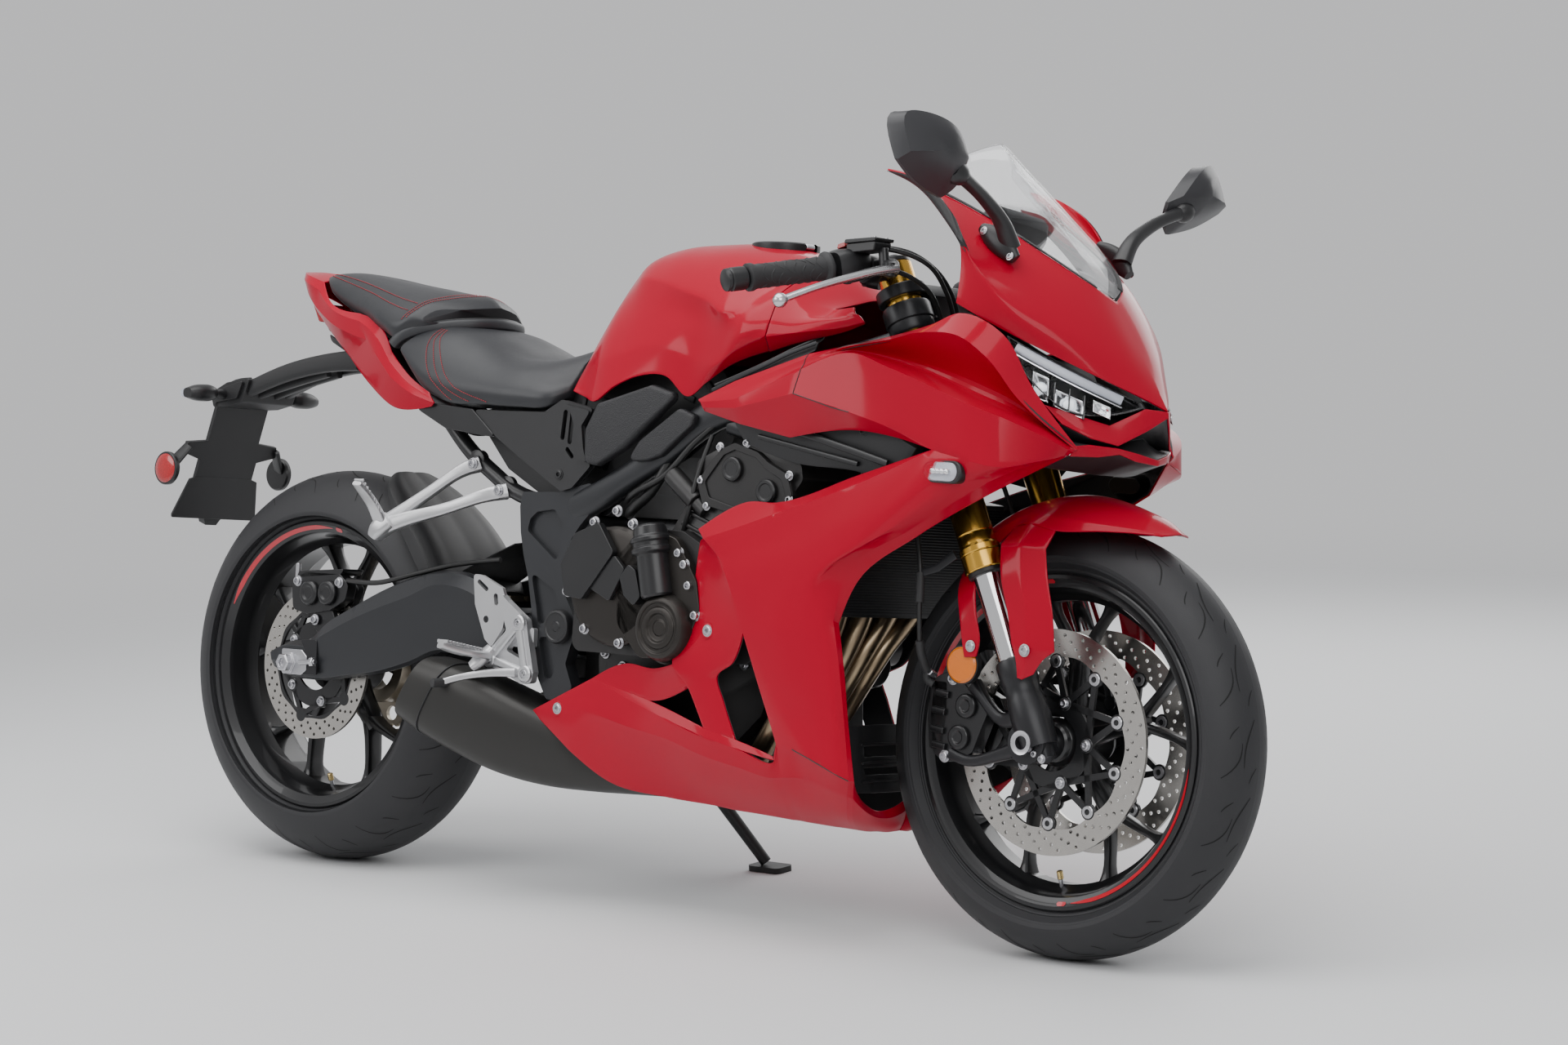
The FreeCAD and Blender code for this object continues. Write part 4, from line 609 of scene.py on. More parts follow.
def area_light(at, aim, size, power):
    """A soft rectangular light at one point facing another, both in upright mm."""
    data = bpy.data.lights.new("soft_light", "AREA")
    data.shape = "RECTANGLE"
    data.size, data.size_y = size
    data.energy = power
    lamp = bpy.data.objects.new("soft_light", data)
    spot = Vector(place(at))
    lamp.matrix_world = (Matrix.Translation(spot)
                         @ (Vector(place(aim)) - spot).to_track_quat("-Z", "Y").to_matrix().to_4x4())
    bpy.context.scene.collection.objects.link(lamp)


def make_lights():
    """A pale sky, one plain tone to the camera and in gloss and glass, and four soft lights."""
    world = bpy.data.worlds.new("world")
    world.use_nodes = True
    nodes, links = world.node_tree.nodes, world.node_tree.links
    sky = nodes["Background"]
    sky.inputs["Strength"].default_value = 1.0
    coords = nodes.new("ShaderNodeTexCoord")
    height = nodes.new("ShaderNodeSeparateXYZ")
    ramp = nodes.new("ShaderNodeValToRGB")
    ramp.color_ramp.elements[0].position = 0.0
    ramp.color_ramp.elements[0].color = (0.10, 0.10, 0.105, 1)
    ramp.color_ramp.elements[1].position = 0.75
    ramp.color_ramp.elements[1].color = (0.62, 0.64, 0.67, 1)
    rays = nodes.new("ShaderNodeLightPath")
    choose = nodes.new("ShaderNodeMixRGB")
    choose.inputs["Color2"].default_value = (0.66, 0.66, 0.67, 1)
    links.new(coords.outputs["Generated"], height.inputs["Vector"])
    links.new(height.outputs["Z"], ramp.inputs["Fac"])
    seen = rays.outputs["Is Camera Ray"]
    for kind in ("Is Glossy Ray", "Is Transmission Ray"):
        either = nodes.new("ShaderNodeMath")
        either.operation = "MAXIMUM"
        links.new(seen, either.inputs[0])
        links.new(rays.outputs[kind], either.inputs[1])
        seen = either.outputs["Value"]
    links.new(seen, choose.inputs["Fac"])
    links.new(ramp.outputs["Color"], choose.inputs["Color1"])
    links.new(choose.outputs["Color"], sky.inputs["Color"])
    bpy.context.scene.world = world
    area_light((600, -1200, 3600), (700, 0, 500), (4.5, 3.0), 130)
    area_light((3600, -2400, 1900), (900, 0, 600), (2.4, 1.6), 38)
    area_light((-1200, -3200, 2000), (500, 0, 500), (2.6, 1.6), 45)
    area_light((400, 2800, 2200), (700, 0, 600), (3.0, 1.6), 40)


def plain_nodes():
    """The frame's own nodes take their slot's finish."""
    finishes = {finish["slot"]: finish for finish in reversed(bpy.data.materials[:])
                if "slot" in finish}
    finishes.update({"seat_black": SEAT, "cast_silver": SILVER, "wheel_black": WHEEL,
                     "bolt_steel": BOLT, "lamp_lens": GLASS, "black_plastic": PLASTIC})
    for part in frame["record"]["subparts"]:
        thing = frame["nodes"][part["node"]]
        thing.data.materials.clear()
        thing.data.materials.append(finishes[part["material_slot"]])


# ---- painted bodywork: grids of (x, y, z) in upright mm on the right side -----------------
NOSE_FOOT = (1480, 905)         # (x, z) of the middle at the screen's foot
NOSE_TIP = (1574, 757)          # of the middle between the lamps
NOSE_HORN = (1200, 1077)        # of the rear end of the upper edge
NOSE_REAR = (1339, 890)         # of the rear end of the lower edge
NOSE_HALVES = (166, 177)        # half widths at those two ends
NOSE_PINCH = 45                 # drawn in beside the screen
NOSE_SWELL = 16                 # pushed out beside the bars
NOSE_PROW = 14                  # drawn in above the lamps
SCREEN_FOOT = (1475, 907)       # (x, z) of the screen's middle at its foot
SCREEN_TOP = (1267, 1125)       # of its middle at the top edge
SCREEN_HALVES = (98, 71)        # half widths at the foot and at the top
SCREEN_FALL = (136, 25)         # how far the side lies behind the middle
SCREEN_RISE = (104, -29)        # how far the side lies above the middle
SCREEN_BULGE = 20
SCREEN_NARROWING = 10


def shares(rows, columns):
    """Two grids from 0 to 1: v down the rows and u along the columns."""
    return np.meshgrid(np.linspace(0, 1, rows), np.linspace(0, 1, columns), indexing="ij")


def nose_rows(rows=5, columns=9):
    """The upper fairing from the screen's foot (v = 0) down to the lamps (v = 1), each row
    from the middle (u = 0) to the rear edge (u = 1). The middle is a straight line. The rear
    edge moves forward with the sine of a quarter turn of v, swelled by 12% of the sine of
    half a turn, and drops with v to the power 1.8. A row runs back as u to the power
    1.5 - 0.2 v, and up as u to the power 1.15 less a sag, which is 0.21 times the sines of
    half a turn of v and of u squared. The half width follows the sine of a quarter turn of
    u; it is pinched at the top by (1 - v) to the fifth, swelled half way down by the sine of
    half a turn of v, both times the sine of half a turn of u squared, and drawn in to a prow
    by v squared times the sine of half a turn of u to the power 0.6."""
    v, u = shares(rows, columns)
    late = np.sin(np.pi * u ** 2)
    front = NOSE_FOOT[0] + (NOSE_TIP[0] - NOSE_FOOT[0]) * v
    low = NOSE_FOOT[1] - (NOSE_FOOT[1] - NOSE_TIP[1]) * v
    rear = (NOSE_HORN[0] + (NOSE_REAR[0] - NOSE_HORN[0]) * np.sin(np.pi * v / 2)
            * (1 + 0.12 * np.sin(np.pi * v)))
    high = NOSE_HORN[1] - (NOSE_HORN[1] - NOSE_REAR[1]) * v ** 1.8
    half = NOSE_HALVES[0] + (NOSE_HALVES[1] - NOSE_HALVES[0]) * v
    x = front + (rear - front) * u ** (1.5 - 0.2 * v)
    y = (-half * np.sin(np.pi * u / 2) + NOSE_PROW * v ** 2 * np.sin(np.pi * u ** 0.6)
         + (NOSE_PINCH * (1 - v) ** 5 - NOSE_SWELL * np.sin(np.pi * v)) * late)
    z = low + (high - low) * (u ** 1.15 - 0.21 * np.sin(np.pi * v) * late)
    y[:, 0] = 0
    return np.stack([x, y, z], axis=-1)


def screen_rows(rows=4, columns=5):
    """The screen from its foot (v = 0) to its top edge (v = 1), each row from the middle
    (u = 0) outwards. The middle is a straight line. The half width shrinks with v squared
    and follows the sine of a quarter turn of u, less a narrowing that is the sine of a
    quarter turn of v times that of half a turn of u. The side falls back as u to the power
    1.5, by an amount that shrinks with v to the power 1.5, and rises as u to the power 1.3,
    by one that shrinks with v to the power 1.2. A bulge slides the middle of each half back
    and up by the sines of half a turn of v and of u."""
    v, u = shares(rows, columns)
    bow = np.sin(np.pi * u)
    slide = SCREEN_BULGE * np.sin(np.pi * v) * bow
    fall = SCREEN_FALL[0] - (SCREEN_FALL[0] - SCREEN_FALL[1]) * v ** 1.5
    rise = SCREEN_RISE[0] - (SCREEN_RISE[0] - SCREEN_RISE[1]) * v ** 1.2
    half = SCREEN_HALVES[0] - (SCREEN_HALVES[0] - SCREEN_HALVES[1]) * v ** 2
    x = SCREEN_FOOT[0] - (SCREEN_FOOT[0] - SCREEN_TOP[0]) * v - fall * u ** 1.5 - slide
    y = -half * np.sin(np.pi * u / 2) + SCREEN_NARROWING * np.sin(np.pi * v / 2) * bow
    z = SCREEN_FOOT[1] + (SCREEN_TOP[1] - SCREEN_FOOT[1]) * v + rise * u ** 1.3 + slide
    y[:, 0] = 0
    return np.stack([x, y, z], axis=-1)


NOSE = nose_rows()

CHIN = [
    # strip under each lamp: upper and lower edge, from the outside to the middle
    [(1460, -129, 757), (1488, -112, 748), (1527, -68, 733), (1558, -30, 758), (1575, 0, 756)],
    [(1486, -121, 732), (1514, -91, 714), (1539, -62, 706), (1561, -27, 728), (1576, 0, 748)]]

CHIN_LIP = [
    # lip below the intake: upper and lower edge, from the outside to the middle
    [(1506, -114, 702), (1517, -96, 705), (1540, -62, 702), (1553, -36, 697), (1562, 0, 690)],
    [(1499, -117, 688), (1522, -84, 689), (1539, -58, 694), (1551, -36, 686), (1562, 0, 682)]]

SCREEN_ROWS = screen_rows()

WING = [
    # top edge, scoop's brow, scoop's floor, upper ridge, lower ridge; rear tip to front tip
    [(888, -184, 750), (959, -188, 777), (1094, -190, 817), (1163, -186, 830), (1233, -184, 843),
     (1302, -182, 860), (1347, -178, 876), (1414, -166, 848), (1453, -146, 778), (1510, -114, 699)],
    [(890, -186, 748), (962, -192, 768), (1094, -196, 810), (1172, -201, 827), (1242, -202, 837),
     (1305, -203, 848), (1362, -200, 844), (1406, -192, 816), (1447, -173, 763),
     (1508, -116, 697)],
    [(892, -187, 747), (964, -197, 758), (1095, -200, 802), (1168, -196, 822), (1244, -174, 812),
     (1318, -166, 789), (1382, -162, 766), (1430, -152, 748), (1467, -138, 729),
     (1506, -117, 696)],
    [(895, -188, 746), (968, -201, 750), (1096, -208, 794), (1178, -208, 818), (1264, -222, 798),
     (1340, -227, 774), (1404, -225, 751), (1450, -206, 734), (1481, -174, 717),
     (1504, -118, 694)],
    [(900, -188, 738), (972, -202, 738), (1089, -214, 760), (1194, -218, 736), (1270, -221, 716),
     (1345, -222, 688), (1399, -224, 677), (1452, -208, 668), (1482, -176, 677),
     (1497, -118, 689)]]

WING_UNDER = [
    # lower ridge, then the edge turned in below it
    [(900, -188, 738), (972, -202, 738), (1089, -214, 760), (1194, -218, 736), (1270, -221, 716),
     (1345, -222, 688)],
    [(902, -185, 733), (974, -190, 716), (1068, -190, 699), (1190, -198, 712), (1262, -208, 705),
     (1345, -222, 688)]]

FLANGE = [
    # top edge of the lower panel, then the crease below it
    [(911, -196, 564), (994, -188, 606), (1053, -195, 607), (1205, -203, 650), (1345, -222, 688)],
    [(928, -204, 551), (1000, -209, 571), (1070, -214, 592), (1217, -218, 638), (1345, -222, 688)]]

LOWER = [
    # from the top crease down to the seam; each row from the rear edge to the front edge
    [(928, -204, 551), (1000, -209, 571), (1070, -214, 592), (1217, -218, 638), (1345, -222, 688),
     (1399, -224, 677), (1452, -208, 668), (1482, -176, 677), (1497, -118, 689)],
    [(961, -206, 526), (1020, -212, 540), (1074, -216, 553), (1180, -221, 578), (1265, -223, 604),
     (1330, -222, 628), (1395, -212, 645), (1424, -196, 648), (1434, -170, 644)],
    [(975, -208, 505), (1018, -213, 513), (1062, -217, 521), (1140, -221, 538), (1200, -222, 553),
     (1250, -220, 566), (1295, -210, 583), (1304, -198, 582), (1300, -186, 570)],
    [(998, -208, 458), (1024, -212, 462), (1050, -215, 466), (1090, -219, 474), (1120, -220, 481),
     (1148, -219, 490), (1171, -212, 508), (1189, -201, 509), (1203, -190, 503)],
    [(1014, -207, 421), (1033, -210, 424), (1052, -213, 426), (1085, -217, 430),
     (1115, -218, 436), (1143, -217, 441), (1164, -212, 446), (1175, -204, 447),
     (1177, -194, 444)],
    [(1042, -203, 354), (1058, -206, 356), (1073, -208, 358), (1103, -211, 362),
     (1130, -212, 365), (1157, -211, 368), (1179, -207, 372), (1189, -201, 374),
     (1190, -192, 375)],
    [(1066, -198, 295), (1078, -201, 297), (1090, -203, 298), (1117, -205, 300),
     (1143, -206, 301), (1168, -206, 302), (1191, -202, 303), (1198, -196, 302),
     (1199, -188, 302)],
    [(1076, -196, 270), (1092, -198, 267), (1110, -200, 264), (1143, -203, 254),
     (1160, -203, 248), (1173, -203, 243), (1197, -199, 233), (1208, -193, 228),
     (1212, -186, 228)]]

LIMB = [
    # the layer behind: down from the top rear corner to the belly; rear edge, middle, front edge
    [(908, -187, 547), (917, -195, 549), (928, -204, 551)],
    [(901, -183, 520), (930, -193, 524), (961, -206, 526)],
    [(897, -181, 494), (935, -192, 500), (975, -208, 505)],
    [(891, -180, 446), (939, -191, 452), (998, -208, 458)],
    [(886, -182, 415), (938, -192, 419), (1014, -207, 421)],
    [(872, -193, 368), (931, -192, 373), (990, -198, 378)],
    [(900, -188, 336), (925, -190, 345), (955, -190, 354)],
    [(916, -187, 309), (942, -189, 316), (968, -189, 322)],
    [(931, -186, 281), (962, -188, 275), (993, -187, 269)]]

ARM = [
    # the layer's branch back to the belly's rear corner: upper edge, lower edge
    [(685, -158, 336), (757, -168, 362), (825, -180, 359), (872, -193, 368)],
    [(685, -158, 336), (770, -168, 320), (812, -172, 312), (900, -188, 336)]]

RIDGE = [
    # sill below the openings: inner edge, then the crease above the belly's face
    [(685, -158, 336), (770, -168, 320), (812, -172, 312), (931, -186, 281), (962, -188, 275),
     (993, -187, 269), (1065, -188, 251)],
    [(685, -158, 336), (781, -172, 307), (855, -182, 288), (932, -188, 268), (962, -189, 263),
     (1000, -190, 256), (1072, -192, 246)]]

BELLY = [
    # the face below the sill, from the rear tip forward and round to the middle at the front
    [(556, -146, 280), (685, -158, 336), (781, -172, 307), (855, -182, 288), (932, -188, 268),
     (962, -189, 263), (1000, -190, 256), (1072, -192, 246), (1076, -196, 270),
     (1092, -198, 267), (1110, -200, 264), (1143, -203, 254), (1160, -203, 248),
     (1173, -203, 243), (1197, -199, 233), (1208, -193, 228), (1212, -186, 228),
     (1191, -150, 208), (1174, -110, 191), (1163, -66, 180), (1158, -30, 183), (1157, -0.5, 193)],
    [(556, -146, 279), (667, -158, 290), (772, -168, 270), (852, -176, 259), (927, -180, 241),
     (960, -181, 235), (999, -182, 229), (1060, -182, 220), (1078, -183, 222),
     (1090, -184, 223), (1108, -184, 224), (1134, -184, 220), (1150, -184, 217),
     (1166, -183, 213), (1184, -179, 208), (1192, -175, 205), (1197, -168, 202),
     (1188, -130, 184), (1177, -90, 173), (1169, -50, 170), (1164, -22, 173), (1161, -0.5, 179)],
    [(556, -146, 278), (652, -154, 258), (742, -150, 226), (832, -150, 213), (904, -150, 201),
     (940, -150, 197), (974, -150, 193), (1040, -150, 188), (1058, -150, 187),
     (1070, -149, 186), (1084, -148, 184), (1108, -146, 181), (1122, -144, 179),
     (1136, -141, 177), (1152, -136, 174), (1160, -132, 172), (1164, -124, 170),
     (1162, -100, 164), (1162, -70, 159), (1162, -40, 158), (1162, -18, 160), (1158, -0.5, 162)],
    [(556, -146, 277), (637, -148, 225), (711, -136, 184), (820, -124, 170), (908, -116, 165),
     (940, -113, 162), (967, -112, 161), (1025, -108, 158), (1040, -106, 157),
     (1052, -105, 157), (1064, -104, 156), (1084, -102, 155), (1096, -98, 154),
     (1108, -93, 153), (1120, -85, 152), (1126, -79, 151), (1131, -72, 150),
     (1137, -56, 148), (1142, -40, 148), (1146, -24, 147), (1149, -12, 148), (1150, -0.5, 149)]]

TANK = [
    # from the middle of the crown down to the lower edge; each row from the seat forward
    [(548, 0, 842), (570, 0, 893), (608, 0, 940), (660, 0, 970), (720, 0, 984), (790, 0, 989),
     (850, 0, 989), (905, 0, 983), (945, 0, 975), (1000, 0, 958)],
    [(553, -14, 841), (580, -22, 893), (620, -26, 939), (668, -34, 967), (724, -40, 980),
     (792, -44, 983), (853, -46, 983), (909, -46, 977), (949, -46, 969), (1001, -44, 952)],
    [(559, -28, 839), (594, -42, 892), (636, -50, 935), (676, -68, 955), (732, -80, 964),
     (797, -90, 964), (859, -94, 963), (914, -96, 957), (953, -98, 949), (1002, -92, 936)],
    [(564, -40, 836), (607, -56, 889), (652, -72, 927), (690, -100, 931), (745, -120, 926),
     (806, -140, 911), (868, -157, 896), (921, -175, 877), (954, -166, 886), (1003, -150, 906)],
    [(567, -60, 822), (604, -74, 864), (645, -92, 893), (688, -112, 894), (742, -127, 892),
     (803, -140, 884), (866, -154, 872), (926, -174, 860), (960, -180, 862), (1006, -166, 884)],
    [(569, -80, 802), (603, -94, 834), (641, -112, 854), (686, -126, 856), (740, -136, 860),
     (800, -146, 856), (861, -156, 842), (918, -172, 836), (956, -183, 843), (1007, -178, 860)],
    [(571, -98, 780), (606, -114, 796), (640, -130, 806), (686, -140, 815), (739, -146, 826),
     (797, -152, 826), (852, -157, 806), (902, -170, 800), (948, -178, 822), (1003, -180, 842)],
    [(573, -112, 761), (612, -128, 752), (645, -143, 745), (690, -149, 768), (740, -151, 784),
     (794, -153, 784), (840, -154, 755), (878, -158, 775), (930, -160, 803), (992, -156, 822)]]

TANK_FRONT = [
    # the cover ahead of the tank's seam, the same rows
    [(1002, 0, 957), (1042, 0, 937), (1084, 0, 905)],
    [(1003, -44, 951), (1042, -40, 933), (1084, -38, 903)],
    [(1004, -92, 935), (1042, -84, 919), (1084, -76, 895)],
    [(1005, -150, 905), (1042, -140, 893), (1086, -128, 884), (1116, -150, 883),
     (1144, -156, 885)],
    [(1008, -166, 883), (1044, -160, 878), (1090, -152, 873), (1120, -158, 873),
     (1150, -159, 875)],
    [(1009, -178, 859), (1044, -172, 862), (1092, -164, 868), (1126, -162, 868),
     (1156, -157, 872)],
    [(1005, -180, 841), (1044, -176, 846), (1094, -166, 852), (1128, -160, 856),
     (1162, -155, 864)],
    [(994, -156, 821), (1038, -158, 832), (1090, -154, 843), (1128, -153, 851),
     (1161, -151, 862)]]

TAIL = [
    # under the passenger's seat: upper edge, crest, main crease, lower edge; tip to front
    [(-150, 0, 951), (-100, -40, 943), (-47, -54, 930), (-8, -74, 897), (83, -96, 877),
     (148, -110, 857), (191, -124, 815), (247, -136, 776), (300, -145, 752)],
    [(-149, 0, 943), (-98, -47, 932), (-49, -63, 917), (0, -84, 888), (96, -109, 864),
     (156, -124, 836), (198, -135, 799), (253, -144, 765), (308, -149, 744)],
    [(-145, 0, 933), (-92, -45, 910), (-51, -65, 888), (14, -88, 860), (121, -114, 834),
     (162, -129, 808), (207, -141, 775), (263, -149, 750), (316, -150, 736)],
    [(-136, 0, 921), (-92, -34, 897), (-70, -44, 882), (-9, -64, 844), (53, -84, 809),
     (110, -104, 775), (161, -121, 749), (212, -133, 728), (308, -148, 730)]]

TAIL_TOP = [
    # behind the passenger's seat, the middle and the side panel's upper edge
    [(-150, 0, 951), (-100, 0, 950), (-47, 0, 943)],
    [(-150, 0, 951), (-100, -40, 943), (-47, -54, 930)]]


def cowl_grids():
    """The side cowl's grids; creases stay at the ridges and round the slot and the opening."""
    return [surface(WING, (1, 3), (1, 2)), surface(WING_UNDER, (), (1, 2, 5)),
            surface(FLANGE, (), ()), surface(LOWER, (1, 4), (4, 7), 8), surface(LIMB, (4,), ()),
            surface(ARM, (), (3,)), surface(RIDGE, (), (3,)),
            surface(BELLY, (1,), (1, 8, 15, 16))]


def line_inside(piece, depth=3.4):
    """A black lining behind a painted panel: its own skin moved in along the normals."""
    lining = bpy.data.objects.new(piece.name + "_lining", piece.data.copy())
    lining.data.materials.clear()
    lining.data.materials.append(PLASTIC)
    bpy.context.scene.collection.objects.link(lining)
    inwards = lining.modifiers.new("inwards", "DISPLACE")
    inwards.direction = "NORMAL"
    inwards.mid_level = 0.0
    inwards.strength = -depth / 1000
    backing = lining.modifiers.new("wall", "SOLIDIFY")
    backing.thickness = 0.0006
    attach(lining, "frame")


def seam(path, radius=0.8):
    """A dark line where two painted panels meet: a thin cord sunk half way in the surface."""
    return tube(refine(path, range(len(path)), 4), radius, 6)


def make_cowls():
    """Both side cowls with their inner lining, the seams between panels and the screws."""
    for side, node in (("right", "side_cowl_right"), ("left", "side_cowl_left")):
        line_inside(skin("cowl_" + side, cowl_grids(), "frame", RED, side=side,
                         replaces=(node,), ease=0, bevel=0.9, sharp=11))
    seams = [seam([row[2] for row in WING]),
             seam([WING[4][2], (1130, -215, 750), (1160, -216, 742), (1194, -218, 736)]),
             seam([(1110, -200.5, 264), (1143, -203.5, 254), (1173, -203.5, 243),
                   (1197, -199.5, 233), (1208, -193.5, 228)])]
    make("cowl_seams", seams, "frame", HOSE, both=True, sharp=80)
    screws, rings = [], []
    for x, y, z in ((936, -193, 420), (612, -152, 286)):
        rings.append(lathe([(-2, 8), (0.6, 8), (1.4, 9.5), (0.6, 11), (-2, 11)], (x, y, z),
                           (0, -1, 0), 28))
        screws += bolt((x, y, z), (0, -1, 0), 6.5, 3)
    make("cowl_screws", screws, "frame", BOLT, both=True)
    make("cowl_screw_rings", rings, "frame", RED, both=True, sharp=60)


def make_nose():
    """The upper fairing, the folded strips below the lamps and the black panels inside."""
    rows = [list(reversed(row)) for row in NOSE]
    upper = skin("nose", [surface(rows, (), (6,))], "frame", RED, side="both",
                 replaces=("nose_cowl",), ease=0, bevel=0.9, sharp=12)
    line_inside(upper)
    chin = np.array(CHIN, float)
    lip = np.array(CHIN_LIP, float)
    folds = (1, 2, 3)
    skin("chin", [surface(chin, (), folds, 4), surface(lip, (), folds, 4)], "frame", RED,
         side="both", ease=0, bevel=0.7)
    deep = 0.5 * (chin[1] + lip[0]) - (34, 0, 0)
    mouth = surface([chin[1] - (3, 0, 0), deep, lip[0] - (3, 0, 0)], (1,), folds, 4)
    shroud = [[(1352, -166, 876), (1404, -154, 858), (1446, -126, 828), (1500, -84, 794),
               (1544, -30, 760), (1546, 0, 754)],
              [(1340, -140, 860), (1384, -122, 838), (1424, -94, 806), (1470, -56, 770),
               (1502, -22, 742), (1504, 0, 740)],
              [(1350, -150, 800), (1396, -138, 780), (1436, -116, 752), (1476, -84, 728),
               (1520, -36, 716), (1526, 0, 722)]]
    below = np.concatenate([[(1420, -176, 682)], lip[1] - (3, 0, 0)])
    beak = [below, [(1396, -168, 676), (1452, -116, 674), (1468, -84, 670), (1480, -56, 668),
                    (1486, -30, 666), (1488, 0, 666)],
            [(1380, -150, 690), (1400, -124, 684), (1404, -92, 678), (1408, -62, 674),
             (1410, -32, 672), (1410, 0, 672)]]
    skin("lamp_shroud", [surface(shroud)], "frame", PLASTIC, side="both", wall=2.0, ease=0)
    skin("intake", [mouth, surface(beak, (1,), (1, 2, 3, 4), 4)], "frame", PLASTIC,
         side="both", wall=2.0, ease=0)
    edge = [NOSE[0][k] for k in range(1, 8)]
    seal = [point + (-8, 3, 5) for point in edge]
    skin("screen_seal", [surface([edge[::-1], seal[::-1]])], "frame", PLASTIC, side="both",
         wall=2.0, ease=0)


def without_disc(grid, x, y, radius):
    """A grid's points and faces, less the faces whose middle lies within the radius of (x, y)
    on the crown."""
    points = grid.reshape(-1, 3)
    faces = np.array(quads(*grid.shape[:2]))
    middles = points[faces].mean(axis=1)
    outside = np.hypot(middles[:, 0] - x, middles[:, 1] - y) > radius
    return points, faces[outside | (middles[:, 2] < 950)].tolist()


CAP_X, CAP_Z = 882.0, 984.0


def make_tank():
    """The tank's crown and front panels, and the turned well under the cap, cut at the hinge."""
    grid = surface(TANK, (3, 6), (), 10)
    points, faces = without_disc(grid, CAP_X, 0.0, 45.0)
    points, faces = eased(*together([(points, faces), mirrored((points, faces))]), 2)
    finish_mesh("tank", points, faces, "frame", RED, replaces=("fuel_tank",), wall=3.0,
                bevel=0.9, merge=True)
    top = [row[:3] for row in TANK_FRONT]
    ear = [row[2:] for row in TANK_FRONT[3:]]
    skin("tank_front", [surface(top, (3, 6)), surface(ear, (3,))], "frame", RED, side="both",
         wall=2.4, ease=1, bevel=0.8)
    well = lathe([(-22, 0.1), (-22, 43), (2.5, 43), (5.0, 44.5), (5.5, 47), (3.5, 50.5),
                  (-2, 50.5), (-24, 48), (-24, 0.1)], (CAP_X, 0, CAP_Z), (0, 0, 1), 72)
    points, faces = well
    middles = np.asarray(points)
    hinge = [middles[list(face)].mean(axis=0) for face in faces]
    keep = [face for face, (x, y, _) in zip(faces, hinge) if x < CAP_X + 36 or abs(y) > 13]
    finish_mesh("cap_well", points, keep, "frame", SMOOTH_BLACK)


def make_tail():
    """The tail cowl's sides and its top."""
    sides = surface(TAIL, (1, 2), (2, 4, 6))
    skin("tail", [sides, surface(TAIL_TOP)], "frame", RED, side="both",
         replaces=("tail_cowl",), wall=2.6, ease=0, bevel=0.8, sharp=12)


def make_screen():
    """The windscreen, a 3 mm wall set just off the nose."""
    rows = [[(x + 2.2, y, z + 3.2) for x, y, z in reversed(row)] for row in reversed(SCREEN_ROWS)]
    skin("screen", [surface(rows)], "frame", SCREEN, side="both", replaces=("windscreen",),
         wall=3.0, ease=0, bevel=0.8)


# ---- flat pieces with holes --------------------------------------------------------------
def circle(x, z, radius, count=24, start=0.0):
    """Points of a circle: the middle plus the radius times cos and sin."""
    angle = start + 2 * np.pi * np.arange(count) / count
    return np.stack([x + radius * np.cos(angle), z + radius * np.sin(angle)], axis=1)


def inside(points, loops):
    """Which 2-D points lie inside an odd number of the loops: each side of a loop that crosses
    a point's level to its right counts once."""
    odd = np.zeros(len(points), bool)
    x, z = points[:, 0:1], points[:, 1:2]
    for loop in loops:
        a, b = loop, np.roll(loop, -1, axis=0)
        spans = (a[:, 1] > z) != (b[:, 1] > z)
        rise = np.where(a[:, 1] == b[:, 1], 1.0, b[:, 1] - a[:, 1])
        cross = a[:, 0] + (z - a[:, 1]) * (b[:, 0] - a[:, 0]) / rise
        odd ^= ((spans & (x < cross)).sum(axis=1) % 2).astype(bool)
    return odd


def cut_plate(loops, y0, y1):
    """A flat plate seen from the side, from y0 to y1: an outline and the holes in it, each a
    loop of (x, z) points that don't touch."""
    loops = [np.asarray(loop, float) for loop in loops]
    flat = [Vector(point) for loop in loops for point in loop]
    edges = []
    start = 0
    for loop in loops:
        count = len(loop)
        edges += [(start + i, start + (i + 1) % count) for i in range(count)]
        start += count
    found, _, triangles = delaunay_2d_cdt(flat, edges, [], 1, 1e-6)[:3]
    found = np.array([tuple(point) for point in found])
    triangles = np.array(triangles)
    triangles = triangles[inside(found[triangles].mean(axis=1), loops)]
    count = len(found)
    points = np.concatenate([np.stack([found[:, 0], np.full(count, y), found[:, 1]], axis=1)
                             for y in (y0, y1)])
    faces = triangles.tolist() + (triangles[:, ::-1] + count).tolist()
    rim = np.vstack([triangles[:, [0, 1]], triangles[:, [1, 2]], triangles[:, [2, 0]]])
    both_ways = {tuple(edge) for edge in rim.tolist()}
    faces += [[b, a, a + count, b + count] for a, b in both_ways if (b, a) not in both_ways]
    return outward((points, faces))


def polar(x, z, radius, degrees):
    """The (x, z) point at a radius and an angle in degrees about another (x, z)."""
    return (x + radius * math.cos(math.radians(degrees)),
            z + radius * math.sin(math.radians(degrees)))


def link(a, b, half_a, half_b, y0, y1):
    """A flat tapered link between two (x, z) points."""
    a, b = np.array(a, float), np.array(b, float)
    across = unit(np.array([a[1] - b[1], b[0] - a[0]]))
    corners = [a + across * half_a, b + across * half_b, b - across * half_b, a - across * half_a]
    return plate_y([tuple(c) for c in corners], y0, y1)


# ---- wheels ------------------------------------------------------------------------------
WHEELS = {
    # axle x and z, tyre outside radius, half width, shoulder radius, flange y, hub radius
    "front": (1450.0, 299.0, 299.0, 60.0, 255.0, 49.0, 34.0),
    "rear": (0.0, 314.0, 314.0, 90.0, 244.0, 75.0, 42.0)}
BEAD_R = 216.0
FLANGE_R = 231.0


